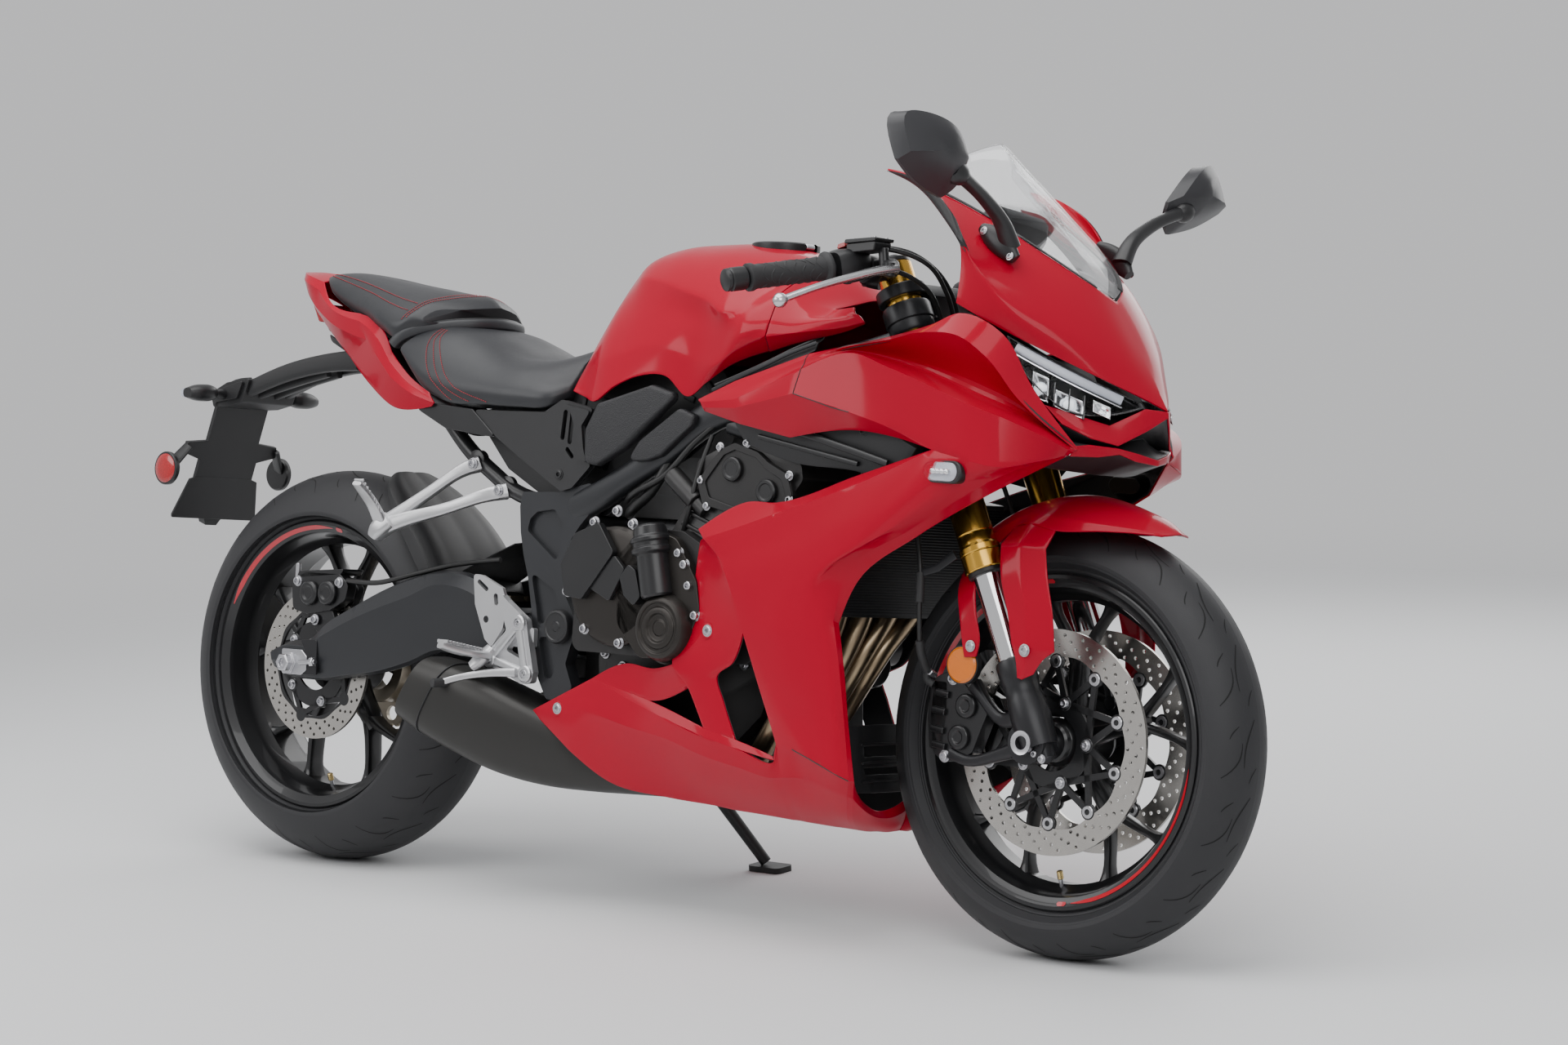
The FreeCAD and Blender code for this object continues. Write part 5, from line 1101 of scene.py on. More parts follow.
def crown_radius(y, outer, half, shoulder):
    """The tyre's radius at y: the circle through its crown and both shoulders."""
    drop = outer - shoulder
    bend = (half ** 2 + drop ** 2) / (2 * drop)
    return outer - bend + np.sqrt(np.maximum(bend ** 2 - np.asarray(y, float) ** 2, 0))


def make_tyre(which):
    """The tread and side walls as one closed profile swept round the axle, with a fine step at the
    shoulder and two ribs above the rim."""
    x, z, outer, half, shoulder, flange, _ = WHEELS[which]
    bead = flange - 5.4
    ys = half * np.sin(np.linspace(0, np.pi / 2, 16))
    crown = list(zip(ys, crown_radius(ys, outer, half, shoulder)))
    fall = shoulder - 235
    side = [(half - 0.4, shoulder - 3), (half - 1.0, shoulder - 5.5), (half - 1.6, shoulder - 6),
            (half - 2.2, shoulder - 0.45 * fall), (half - 0.72 * (half - bead), 238.5),
            (bead + 5.2, 236.6), (bead + 4.4, 235.0), (bead + 2.6, 234.8), (bead + 1.4, 233.0),
            (bead, 229), (bead, BEAD_R + 0.4), (bead - 12, BEAD_R + 0.4), (bead - 8, 226),
            (half - 12, shoulder - 8)]
    inner = [(y * (half - 9) / half, r - 9) for y, r in reversed(crown)]
    profile = crown + side + inner
    profile += [(-y, r) for y, r in reversed(profile[1:-1])]
    body = which + "_wheel"
    make(which + "_tyre_skin", [lathe(profile, (x, 0, z), (0, 1, 0), 144)], body, TYRE,
         replaces=(which + "_tyre",), sharp=24)
    # the grooves: flat dark strips on the crown, painted shade in place of cut grooves
    make(which + "_tread", sipe_shade_strips(which), body, GROOVE_SHADE, sharp=60)


SIPE_SHADE_TABLE = [
    # where each groove's painted shade lies: start and end, each part of the pitch round and part of the
    # half width across; bow; width in mm
    (0.00, 0.16, 0.62, 0.44, 0.10, 2.6),
    (0.30, 0.50, 0.78, 0.84, -0.10, 2.2),
    (0.08, 0.56, 0.24, 0.74, 0.03, 1.8),
    (0.62, 0.10, 0.82, 0.28, 0.03, 1.8)]


def sipe_shade_strips(which):
    """Thin bowed dark strips laid 0.25 mm over the tread, painted shade where grooves would be cut: each
    runs from one (turn, width) point to another with a sine bow, and its two edges lie on the crown's
    circle."""
    x, z, outer, half, shoulder, _, _ = WHEELS[which]
    pitches = 18
    shapes = []
    share = np.linspace(0, 1, 9)
    for begin, across, end, reach, bow, width in SIPE_SHADE_TABLE:
        turn = begin + (end - begin) * share
        part = across + (reach - across) * share + bow * np.sin(np.pi * share)
        half_width = 0.5 * width * np.sin(np.pi * np.clip(share, 0.06, 0.94)) ** 0.35
        for side in (-1, 1):
            for pitch in range(pitches):
                angle = 2 * np.pi * (pitch + turn + (0.5 if side > 0 else 0)) / pitches
                rows = []
                for edge in (-1, 1):
                    y = side * half * part + edge * half_width * 0.6
                    spin = angle + edge * half_width * 0.8 / outer
                    r = crown_radius(y, outer, half, shoulder) + 0.25
                    rows.append(np.stack([x + r * np.sin(spin), y, z + r * np.cos(spin)], 1))
                shapes.append((np.vstack(rows), quads(2, len(share))))
    return shapes


def ribbon(x, z, start, end, edges, steps=40, lift=0.3):
    """A painted stripe round a wheel from start to end in degrees, between two (y, radius)
    edges, tapered to its tips."""
    share = np.linspace(0, 1, steps)
    angle = np.radians(start + (end - start) * share)
    (y0, r0), (y1, r1) = edges
    taper = np.minimum(1, np.minimum(share, 1 - share) * 7 + 0.15)
    rows = []
    for sign in (-1, 1):
        place_in = 0.5 + 0.5 * sign * taper
        y = y0 + (y1 - y0) * place_in + math.copysign(lift, y0)
        r = r0 + (r1 - r0) * place_in - lift
        rows.append(np.stack([x + r * np.cos(angle), y, z + r * np.sin(angle)], 1))
    return np.vstack(rows), quads(2, steps)


def spoke(x, z, turn, hub_r, depth):
    """One forked spoke: a stem from the hub and two limbs that part towards the barrel."""
    def at(radius, degrees, y=0.0):
        px, pz = polar(x, z, radius, turn + degrees)
        return (px, y, pz)

    shapes = [bar([at(hub_r - 8, 0), at(hub_r + 22, 0), at(104, 0), at(124, 0)],
                  [(depth + 4, 15), (depth, 11), (depth - 2, 12), (depth - 6, 9)], square=0.55,
                  parts=4)]
    for sign in (-1, 1):
        shapes.append(bar([at(88, sign * 0.5), at(112, sign * 3.0), at(150, sign * 9.5),
                           at(186, sign * 14.5), at(206, sign * 16.5)],
                          [(depth - 3, 6), (depth - 3, 7), (depth - 4, 6.2), (depth - 3, 7),
                           (depth + 3, 15)], square=0.55, parts=4))
    return shapes


def make_rim(which):
    """A cast wheel: turned rim and hub, five forked spokes, painted arcs, valve and its cap."""
    x, z, _, _, _, flange, hub_r = WHEELS[which]
    body = which + "_wheel"
    half = [(0, 195), (0.28 * flange, 195), (0.42 * flange, 203), (0.55 * flange, 207),
            (0.8 * flange, 209), (0.9 * flange, 212), (flange - 3, 219), (flange - 1.5, 221.5),
            (flange, 224), (flange, FLANGE_R - 2), (flange - 1.5, FLANGE_R),
            (flange - 3.5, FLANGE_R), (flange - 5, FLANGE_R - 2), (flange - 5, BEAD_R),
            (0.55 * flange, BEAD_R - 2), (0.35 * flange, 202), (0, 202)]
    outline = half + [(-y, r) for y, r in reversed(half[1:-1])]
    bore = 13.1 if which == "front" else 10.2
    hub = [(-60, bore), (-60, 24), (-57, 27), (-50, 28), (-46, hub_r - 2), (-42, hub_r),
           (-24, hub_r - 3), (24, hub_r - 3), (42, hub_r), (46, hub_r - 2), (50, 28), (57, 27),
           (60, 24), (60, bore)]
    shapes = [lathe(outline, (x, 0, z), (0, 1, 0), 144), lathe(hub, (x, 0, z), (0, 1, 0), 64)]
    depth = 15 if which == "front" else 20
    for index in range(WHEEL_SPOKES):
        shapes += spoke(x, z, 90 + 360 / WHEEL_SPOKES * index, hub_r, depth)
    make(which + "_rim_cast", shapes, body, WHEEL, replaces=(which + "_rim",), sharp=30)
    edges = [(flange - 0.2, 223.4), (flange - 4.2, 217.0)]
    arcs = ((-80, -5), (100, 175)) if which == "front" else ((84, 157),)
    stripes = []
    for start, end in arcs:
        for side in (-1, 1):
            stripes.append(ribbon(x, z, start, end, [(side * y, r) for y, r in edges]))
            stripes.append(ribbon(x, z, start - 6, start - 2, [(side * y, r) for y, r in edges],
                                  8))
    make(which + "_rim_stripes", stripes, body, STRIPE, sharp=80)
    vx, vz = polar(x, z, 207, 90 + 72 * 2 + 36)
    inward = unit([x - vx, 0, z - vz])
    base = np.array([vx, -0.25 * flange, vz])
    lean = unit(inward + np.array([0, -0.35, 0]))
    make(which + "_valve", [rod(base, base + lean * 22, 3.2, 14),
                            rod(base - inward * 2, base + lean * 5, 6.0, 14)], body, BOLT)
    make(which + "_valve_cap", [rod(base + lean * 20, base + lean * 32, 4.6, 10)], body, BRASS,
         sharp=20)


def drilled_ring(x, z, outer, inner, y, thickness, rows, count, hole, scallops):
    """A brake ring with rows of drilled holes and a lightly scalloped inner edge."""
    angle = 2 * np.pi * np.arange(160) / 160
    wave = inner + 1.6 * np.cos(scallops * angle)
    inner_loop = np.stack([x + wave * np.cos(angle), z + wave * np.sin(angle)], 1)
    loops = [circle(x, z, outer, 160), inner_loop]
    for row, radius in enumerate(rows):
        for index in range(count):
            turn = 360 / count * (index + row * 0.37)
            hx, hz = polar(x, z, radius, turn)
            loops.append(circle(hx, hz, hole, 8))
    return cut_plate(loops, y - thickness / 2, y + thickness / 2)


def carrier(x, z, y, bolt_r, button_r, buttons, hub_r, sign):
    """The disc's inner spider: bosses at the hub bolts and crossing links to the buttons."""
    half = 2.4
    shapes = [ring_y(x, z, bolt_r + 7, hub_r, y - half, y + half, 48)]
    step = 360.0 / buttons
    for index in range(buttons):
        button = polar(x, z, button_r, step * (index + 0.5))
        base = 72 * round(step * (index + 0.5) / 72)
        for spread in (0, 72 if step * (index + 0.5) > base else -72):
            boss = polar(x, z, bolt_r, base + spread)
            shapes.append(link(boss, button, 5.0, 4.0, y - half, y + half))
        shapes.append(disc_y(*button, 11.5, y - half - 0.4, y + half + 0.4, 20))
    for index in range(5):
        shapes.append(disc_y(*polar(x, z, bolt_r, 72 * index), 10.5, y - half - 1,
                             y + half + 1, 20))
    return shapes


def make_front_discs():
    """Both front discs: drilled rings, carriers, ten floating buttons and five bolts each."""
    x, z = WHEELBASE, FRONT_AXLE_Z
    rings, spiders, bright = [], [], []
    for sign in (-1, 1):
        y = sign * FRONT_DISC_Y
        rings.append(drilled_ring(x, z, 155, 119, y, 5, (125, 132, 139.5, 147.5), 30, 2.7, 10))
        spiders += carrier(x, z, y, 57, 111, 10, 40, sign)
        for index in range(FRONT_DISC_BUTTONS):
            bx, bz = polar(x, z, 111, 360 / FRONT_DISC_BUTTONS * (index + 0.5))
            bright.append(lathe([(-4.6, 4.2), (-4.6, 8.0), (-3.6, 9.0), (3.6, 9.0), (4.6, 8.0),
                                 (4.6, 4.2)], (bx, y, bz), (0, 1, 0), 20))
        for index in range(5):
            bx, bz = polar(x, z, 57, 72 * index)
            bright += bolt((bx, y + sign * 3.4, bz), (0, sign, 0), 6.0, 5.0)
    make("front_disc_rings", rings, "front_wheel", DISC, replaces=("front_discs",), sharp=30)
    make("front_disc_carriers", spiders, "front_wheel", CALIPER, sharp=30)
    make("front_disc_buttons", bright, "front_wheel", BOLT, sharp=30)


def make_rear_disc():
    """The rear disc and the chain wheel, its edge a circle rippled by a cosine per tooth."""
    x, z, y = 0.0, REAR_AXLE_Z, REAR_DISC_Y
    make("rear_disc_ring", [drilled_ring(x, z, 120, 89, y, 5, (95.5, 104, 113), 30, 2.6, 10)],
         "rear_wheel", DISC, replaces=("rear_disc",), sharp=30)
    shapes = carrier(x, z, y, 62, 88, 5, 42, -1)
    shapes.append(ring_y(x, z, 92, 84, y - 2.2, y + 2.2, 64))
    make("rear_disc_carrier", shapes, "rear_wheel", CALIPER, sharp=30)
    bolts = []
    for index in range(5):
        bx, bz = polar(x, z, 62, 72 * index)
        bolts += bolt((bx, y - 3.4, bz), (0, -1, 0), 6.0, 5.0)
    make("rear_disc_bolts", bolts, "rear_wheel", BOLT, sharp=30)
    teeth = []
    angle = 2 * np.pi * np.arange(SPROCKET_TEETH * 6) / (SPROCKET_TEETH * 6)
    radius = 99.5 + 2.6 * np.cos(SPROCKET_TEETH * angle)
    teeth.append(np.stack([radius * np.cos(angle), z + radius * np.sin(angle)], 1))
    teeth.append(circle(0, z, 42, 60))
    for index in range(6):
        teeth.append(circle(*polar(0, z, 80, 60 * index + 30), 12, 20))
        teeth.append(circle(*polar(0, z, 53, 60 * index), 4.5, 12))
    make("rear_sprocket_plate", [cut_plate(teeth, CHAIN_Y - 3.5, CHAIN_Y + 3.5),
                                 ring_y(0, z, 62, 42, 60.4, CHAIN_Y - 3.5, 60)],
         "rear_wheel", CHAIN, replaces=("rear_sprocket",), sharp=30)


# ---- fork, front brakes and mudguard -------------------------------------------------------
def make_fork():
    """Gold outer tubes with their turned lower ends, chromed sliders and black axle lugs."""
    gold, chrome, lugs, dark, bright = [], [], [], [], []
    for side in (-1, 1):
        foot = on_fork(228, side)
        top = np.linalg.norm(on_fork(648, side) - foot)
        gold.append(lathe([(0, 21), (0, 28), (1.5, 29), (24, 29), (25.5, 28.2), (27, 29),
                           (34, 29), (38, 26.4), (52, 26), (53.5, 25.2), (55, 26),
                           (top - 2, 26), (top, 24), (top, 5)], foot, FORK_UP, 56,
                          closed=False))
        dark.append(lathe([(-7, 20.6), (-7, 24), (-5, 26), (0.5, 26), (0.5, 20.6)], foot,
                          FORK_UP, 48))
        chrome.append(rod(on_fork(60, side), on_fork(228, side), 20.5, 56))
        low = on_fork(-6, side)
        lugs.append(lathe([(0, 8), (0, 25), (36, 28), (44, 28), (70, 26.5), (74, 25), (92, 25),
                           (95, 26.5), (122, 26.5), (126, 25), (128, 21)], low, FORK_UP, 48,
                          closed=False))
        x, z = WHEELBASE, FRONT_AXLE_Z
        y = side * FORK_Y
        lugs.append(ring_y(x, z, 30, 13.1, y - 17, y + 17, 48))
        lugs.append(bar([(x - 4, y, z + 26), (x + 8, y, z + 4), (x + 26, y, z - 22)],
                        [(15, 16), (16, 20), (13, 11)], square=0.6, parts=5))
        lugs.append(bar([(x - 18, y - side * 6, z + 40), (x - 60, y - side * 14, z + 26),
                         (x - 108, y - side * 18, z + 62), (x - 118, y - side * 20, z + 70)],
                        [(9, 14), (8, 10), (8, 9), (8, 12)], square=0.6, parts=5))
        lugs.append(bar([(x - 16, y - side * 8, z - 6), (x - 64, y - side * 12, z - 22),
                         (x - 118, y - side * 16, z - 34), (x - 150, y - side * 18, z - 26)],
                        [(9, 13), (8, 9), (8, 8), (8, 9)], square=0.6, parts=5))
        for dx, dz in ((22, -14), (34, -20)):
            bright += bolt((x + dx - 6, y + side * 15, z + dz), (0, side, 0), 4.6, 5)
    make("fork_outers", gold, "steering", GOLD, replaces=("fork_tubes",), sharp=28)
    make("fork_seals", dark, "steering", HOSE, sharp=28)
    make("fork_sliders", chrome, "steering", CHROME, replaces=("fork_legs",), sharp=28)
    make("fork_lugs", lugs, "steering", CLAMP, sharp=34)
    make("fork_pinch_bolts", bright, "steering", BOLT)
    axle = [lathe([(-128, 9.5), (-128, 13), (-129, 16.5), (-121, 16.5), (-121, 13), (121, 13),
                   (121, 16.5), (129, 16.5), (128, 13), (128, 9.5)],
                  (WHEELBASE, 0, FRONT_AXLE_Z), (0, 1, 0), 40)]
    make("front_spindle", axle, "steering", BOLT, replaces=("front_axle",), sharp=30)


def make_front_calipers():
    """Both front calipers: two cheeks and a bridge, with piston caps, ribs, bolts and pins."""
    body, bright = [], []
    for side in (-1, 1):
        outline = rounded([(1268, 376), (1290, 386), (1316, 374), (1330, 362), (1352, 352),
                           (1362, 334), (1354, 316), (1346, 296), (1338, 276), (1318, 262),
                           (1290, 260), (1270, 272), (1262, 320)], 9)
        for y0, y1 in ((62, 88), (30, 46)):
            body.append(plate_y(outline, side * y0, side * y1))
        body.append(plate_y(rounded([(1262, 372), (1290, 372), (1292, 330), (1286, 276),
                                     (1264, 276), (1258, 320)], 6), side * 30, side * 88))
        for px, pz in ((1326, 340), (1316, 296)):
            body.append(lathe([(0, 0.1), (0, 17.5), (5, 17.5), (7.5, 15), (7.5, 9), (5.5, 8),
                               (5.5, 0.1)], (px, side * 87.5, pz), (0, side, 0), 36,
                              closed=False))
        for rx, rz in ((1282, 356), (1277, 332), (1276, 306), (1280, 284)):
            body.append(bar([(rx - 10, side * 88, rz), (rx + 14, side * 90, rz - 3)],
                            [(4, 5), (4, 5)], side=(0, 1, 0), square=0.7))
        for bx, bz in ((1300, 376), (1292, 268)):
            bright += bolt((bx, side * 88, bz), (0, side, 0), 6.5, 6)
        bright.append(rod((1262, side * 50, 318), (1296, side * 50, 316), 3.5, 12))
        bright.append(rod((1266, side * 86, 378), (1266, side * 100, 384), 5.0, 12))
    make("caliper_bodies", body, "steering", CALIPER, replaces=("front_calipers",), bevel=1.6,
         sharp=34)
    make("caliper_bolts", bright, "steering", BOLT, sharp=30)


def make_hoses():
    """Brake lines: sleeved at both ends, one smooth bend from the lower bridge down."""
    lines, sleeves, clips = [], [], []
    for side in (-1, 1):
        points = np.array([(1222, 60, 712), (1228, 96, 655), (1244, 116, 588), (1262, 126, 520),
                           (1266, 128, 455), (1264, 118, 410), (1262, 100, 386)], float)
        points[:, 1] *= side
        lines.append(pipe(points, 3.5, 14, 8))
        path = refine(points, (), 8)
        sleeves.append(tube(path[-12:], 6.0, 14))
        sleeves.append(tube(path[24:30], 6.2, 14))
        sleeves.append(tube(path[:8], 5.6, 14))
        sleeves.append(pipe([(1262, side * 98, 386), (1258, side * 92, 372),
                             (1266, side * 88, 366)], 6.0, 14, 5))
        clips.append(bar([(1262, side * 126, 520), (1290, side * 124, 528),
                          (1318, side * 122, 548)], [(2, 6), (2, 6), (2, 7)], square=0.6))
    make("brake_lines", lines, "steering", HOSE, replaces=("brake_hoses",), sharp=50)
    make("brake_line_sleeves", sleeves, "steering", GRIP, sharp=50)
    make("brake_line_clips", clips, "steering", CLAMP, bevel=0.5)


FENDER_CROWN = [
    # from the middle out to the side edge; each row from the rear forward
    [(1286, 0, 560), (1312, 0, 589), (1346, 0, 612), (1390, 0, 629), (1427, 0, 638),
     (1480, 0, 638), (1540, 0, 624), (1580, 0, 608), (1606, 0, 592)],
    [(1286, -20, 559), (1312, -24, 587), (1346, -26, 609), (1390, -28, 626), (1427, -30, 634),
     (1480, -30, 633), (1540, -26, 619), (1580, -16, 606), (1605, -6, 591)],
    [(1287, -44, 552), (1313, -50, 578), (1347, -54, 598), (1390, -57, 616), (1428, -60, 624),
     (1480, -62, 621), (1538, -52, 608), (1577, -34, 599), (1603, -16, 590)],
    [(1290, -62, 532), (1316, -68, 558), (1349, -71, 582), (1390, -75, 603), (1430, -84, 610),
     (1478, -86, 605), (1534, -72, 598), (1572, -50, 594), (1600, -26, 589)],
    [(1293, -70, 516), (1320, -73, 538), (1352, -74, 564), (1386, -80, 590), (1424, -98, 596),
     (1466, -96, 588), (1530, -78, 590), (1568, -56, 590), (1597, -32, 588)]]

FENDER_BLADE = [
    # the side blade from the crown down to the fork lug: rear edge, crease, front edge
    [(1386, -80, 590), (1424, -98, 596), (1466, -96, 588)],
    [(1392, -118, 566), (1428, -124, 566), (1462, -110, 562)],
    [(1402, -128, 520), (1438, -132, 522), (1474, -118, 520)],
    [(1418, -132, 478), (1450, -134, 478), (1486, -121, 478)],
    [(1430, -134, 432), (1456, -134, 430), (1492, -120, 424)],
    [(1436, -130, 408), (1452, -131, 402), (1478, -122, 414)],
    [(1438, -128, 386), (1446, -128, 384), (1462, -124, 392)]]

FENDER_REAR_ARM = [
    # the strap behind the fork leg: rear edge, front edge, from the crown down to its bolt
    [(1296, -76, 520), (1336, -92, 548)],
    [(1312, -104, 496), (1346, -112, 512)],
    [(1328, -118, 460), (1356, -120, 470)],
    [(1338, -122, 424), (1366, -122, 430)],
    [(1342, -122, 408), (1362, -122, 410)]]


def make_fender():
    """The front mudguard with its blades, arms and bolts, and the reflectors on the fork."""
    skin("fender_crown", [surface(FENDER_CROWN, (3,))], "steering", RED, side="both",
         replaces=("front_fender",), wall=2.4, ease=1, bevel=0.8)
    skin("fender_blades", [surface(FENDER_BLADE, (1, 4), (1,))], "steering", RED, side="both",
         wall=3.0, ease=1, bevel=0.9)
    skin("fender_arms", [surface(FENDER_REAR_ARM)], "steering", RED, side="both", wall=3.0,
         ease=0, bevel=0.8)
    bolts = []
    for side in (-1, 1):
        bolts += bolt((1453, side * 134, 424), (0, side, 0), 6.5, 4)
        bolts += bolt((1353, side * 123, 424), (0, side, 0), 6, 4)
    make("fender_bolts", bolts, "steering", BOLT)
    amber, rims = [], []
    for side in (-1, 1):
        at = (1334, side * 108, 397)
        amber.append(lathe([(0, 0.1), (0, 25), (8, 25), (10, 22), (11, 0.1)], at, (0, side, 0),
                           40, closed=False))
        rims.append(lathe([(-3, 0.1), (-3, 27), (7, 27), (7, 25), (0, 25)], at, (0, side, 0),
                          40, closed=False))
    make("fork_reflectors", amber, "steering", AMBER, sharp=30)
    make("fork_reflector_rims", rims, "steering", CONTROL, sharp=30)


# ---- frame, swingarm and engine ------------------------------------------------------------
def tidy_copy(node, finish, width=1.0, angle=35.0):
    """A copy of a CAD node with its doubles merged and its edges rounded, in its place."""
    source = frame["nodes"][node]
    mesh = source.data.copy()
    shape = bmesh.new()
    shape.from_mesh(mesh)
    bmesh.ops.remove_doubles(shape, verts=shape.verts, dist=0.00002)
    bmesh.ops.dissolve_limit(shape, angle_limit=math.radians(1.5), verts=shape.verts,
                             edges=shape.edges)
    shape.to_mesh(mesh)
    shape.free()
    mesh.materials.clear()
    mesh.materials.append(finish)
    mesh.polygons.foreach_set("use_smooth", np.ones(len(mesh.polygons), bool))
    mesh.set_sharp_from_angle(angle=math.radians(angle))
    piece = bpy.data.objects.new(node + "_finished", mesh)
    bpy.context.scene.collection.objects.link(piece)
    rounding = piece.modifiers.new("edge", "BEVEL")
    rounding.width = width / 1000
    rounding.segments = 2
    rounding.limit_method = "ANGLE"
    rounding.angle_limit = math.radians(40)
    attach(piece, source["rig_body"] if "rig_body" in source else source.parent.name)
    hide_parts(node)
    return piece


PIVOT_PLATE = [(500, 606), (575, 608), (640, 624), (652, 590), (622, 560), (606, 540),
               (597, 506), (597, 457), (612, 434), (626, 408), (614, 377), (606, 352),
               (622, 318), (606, 296), (570, 297), (552, 326), (536, 376), (531, 429),
               (520, 478), (508, 512), (500, 545), (496, 584)]
PLATE_RECESSES = [
    [(514, 548), (519, 566), (533, 577), (568, 582), (585, 563), (585, 526), (577, 504)],
    [(526, 486), (577, 461), (586, 436), (566, 412), (546, 408), (540, 436)],
    [(548, 389), (580, 391), (594, 374), (580, 330), (566, 326)]]


def make_frame():
    """Pivot plates with sunk panels, curved spars, the head and the cross tubes."""
    cast, tubes, plugs = [], [], []
    for side in (-1, 1):
        face = 134 if side < 0 else 140
        low = 112 if side < 0 else 118
        outline = rounded(PIVOT_PLATE, 7)
        recesses = [rounded(recess, 7) for recess in PLATE_RECESSES]
        cast.append(plate_y(outline, side * low, side * (face - 7)))
        cast.append(cut_plate([outline] + recesses, side * (face - 7), side * face))
        spar = [(1150, 26, 835), (1085, 92, 800), (980, 118, 768), (868, 127, 730),
                (780, 130, 672), (700, 130, 628), (650, 127, 603), (596, 122, 584)]
        spar = [(x, side * y, z) for x, y, z in spar]
        tubes.append(bar(spar, [(18, 34), (18, 34), (17, 32), (16, 25), (15, 21), (15, 20),
                                (15, 22), (12, 24)], square=0.75, count=20, parts=6))
        tubes.append(bar([(1165, side * 24, 790), (1115, side * 80, 742),
                          (1020, side * 112, 702), (900, side * 122, 716)],
                         [(12, 16), (12, 14), (12, 14), (12, 14)], square=0.8, parts=6))
        plugs.append(lathe([(-3, 0.1), (-3, 26), (8, 26), (11.5, 24), (12, 21), (10.5, 19.5),
                            (10.5, 8), (12, 6.5), (12, 0.1)], (593, side * face, 407),
                           (0, side, 0), 44, closed=False))
    head = (TRAIL_X - 768 * math.tan(RAKE), 0, 768)
    tubes.append(lathe([(0, 15.2), (0, 29), (3, 31), (18, 31), (22, 28), (92, 28), (96, 31),
                        (110, 31), (113, 29), (113, 15.2)], head, FORK_UP, 48))
    tubes.append(rod((615, -118, 565), (615, 118, 565), 16))
    tubes.append(rod((590, -118, 318), (590, 118, 318), 13))
    make("frame_castings", cast, "frame", FRAME_GREY, replaces=("main_frame",), bevel=1.6)
    make("frame_tubes", tubes, "frame", FRAME_GREY, sharp=50)
    plugs.append(rod((593, -134, 407), (593, 140, 407), 10))
    make("pivot_plugs", plugs, "frame", CONTROL, sharp=30, replaces=("pivot_bolt",))
    rails = []
    for side in (-1, 1):
        upper = [(640, 100, 655), (520, 96, 700), (330, 84, 724), (215, 72, 765),
                 (120, 52, 822), (-40, 34, 862)]
        lower = [(566, 108, 592), (500, 104, 594), (450, 101, 607), (404, 100, 632),
                 (350, 96, 664), (296, 88, 706)]
        rails.append(pipe([(x, side * y, z) for x, y, z in upper], 12.5, 18))
        rails.append(pipe([(x, side * y, z) for x, y, z in lower], 12.5, 18))
        rails.append(lathe([(0, 0.1), (0, 17), (12, 17), (14, 12), (14, 0.1)],
                           (372, side * 96, 650), (0, side, 0), 24, closed=False))
        rails.append(lathe([(0, 0.1), (0, 17), (8, 17), (10, 12), (10, 0.1)],
                           (438, side * 98, 612), (0, side, 0), 24, closed=False))
    for x, z, half in ((330, 722, 84), (120, 822, 52), (-30, 859, 36)):
        rails.append(rod((x, -half, z), (x, half, z), 9))
    make("seat_rails", rails, "frame", SMOOTH_BLACK, replaces=("rear_subframe",), sharp=50)


SWINGARM = [
    # x, top, upper crease, lower crease, bottom of the arm
    (-46, 334, 330, 318, 304), (-30, 345, 338, 318, 297), (30, 352, 344, 316, 291),
    (70, 386, 362, 330, 292), (122, 412, 386, 352, 300), (191, 443, 412, 378, 311),
    (259, 466, 434, 398, 330), (320, 478, 456, 410, 352), (382, 476, 452, 410, 346),
    (440, 448, 430, 400, 342), (472, 430, 418, 392, 342)]


def make_swingarm():
    """Each arm is carried along X through a six-sided section that swells at its creases."""
    arms = []
    for side in (-1, 1):
        inner, outer = (98, 131) if side < 0 else (121, 150)
        rows = np.array([[(x, inner, top - 4), (x, inner + 0.4 * (outer - inner), top),
                          (x, outer - 11, top - 4), (x, outer, crease), (x, outer - 3, lower),
                          (x, outer - 10, bottom + 4), (x, inner + 0.4 * (outer - inner), bottom),
                          (x, inner, bottom + 2)] for x, top, crease, lower, bottom in SWINGARM],
                        float)
        rows[..., 1] *= side
        arms.append(outward(loft(refine(rows, (2,), 5))))
    arms.append(bar([(345, 11, 380), (400, 11, 384), (470, 11, 384)],
                    [(109, 30), (109, 42), (109, 40)], square=0.35, parts=4))
    arms.append(bar([(462, 1, 388), (520, 1, 388), (575, 1, 390)],
                    [(89, 36), (89, 34), (86, 28)], square=0.35, parts=4))
    arms.append(lathe([(-108, 10.2), (-108, 24), (94, 24), (94, 10.2)],
                      (593, 0, 407), (0, 1, 0), 36))
    make("swingarm_cast", arms, "frame", ARM_GREY, replaces=("swingarm",), bevel=1.0, sharp=14)
    silver, bright, dark = [], [], []
    for side, face in ((-1, 131), (1, 150)):
        silver.append(plate_y(rounded([(-16, 338), (30, 338), (42, 328), (42, 306), (30, 298),
                                       (-14, 298)], 4), side * (face - 3), side * (face + 2.5)))
        dark.append(plate_y(rounded([(24, 354), (62, 356), (64, 300), (34, 298), (34, 340)],
                                    4), side * (face - 4), side * (face + 1)))
        silver.append(lathe([(0, 0.1), (0, 19), (3, 19), (3, 15), (13, 15), (15, 13),
                             (15, 8), (9, 7.5), (9, 0.1)], (0, side * (face + 2), 316),
                            (0, side, 0), 6, closed=False))
        bright.append(rod((30, side * (face + 6), 318), (66, side * (face + 6), 321), 4, 12))
        bright.append(rod((56, side * (face + 6), 320), (64, side * (face + 6), 321), 7.5, 6))
    make("chain_adjusters", silver, "frame", BOLT, replaces=("rear_axle",), bevel=0.8,
         sharp=30)
    make("adjuster_bolts", bright, "frame", BOLT, sharp=30)
    make("adjuster_slots", dark, "frame", CLAMP, bevel=0.8)


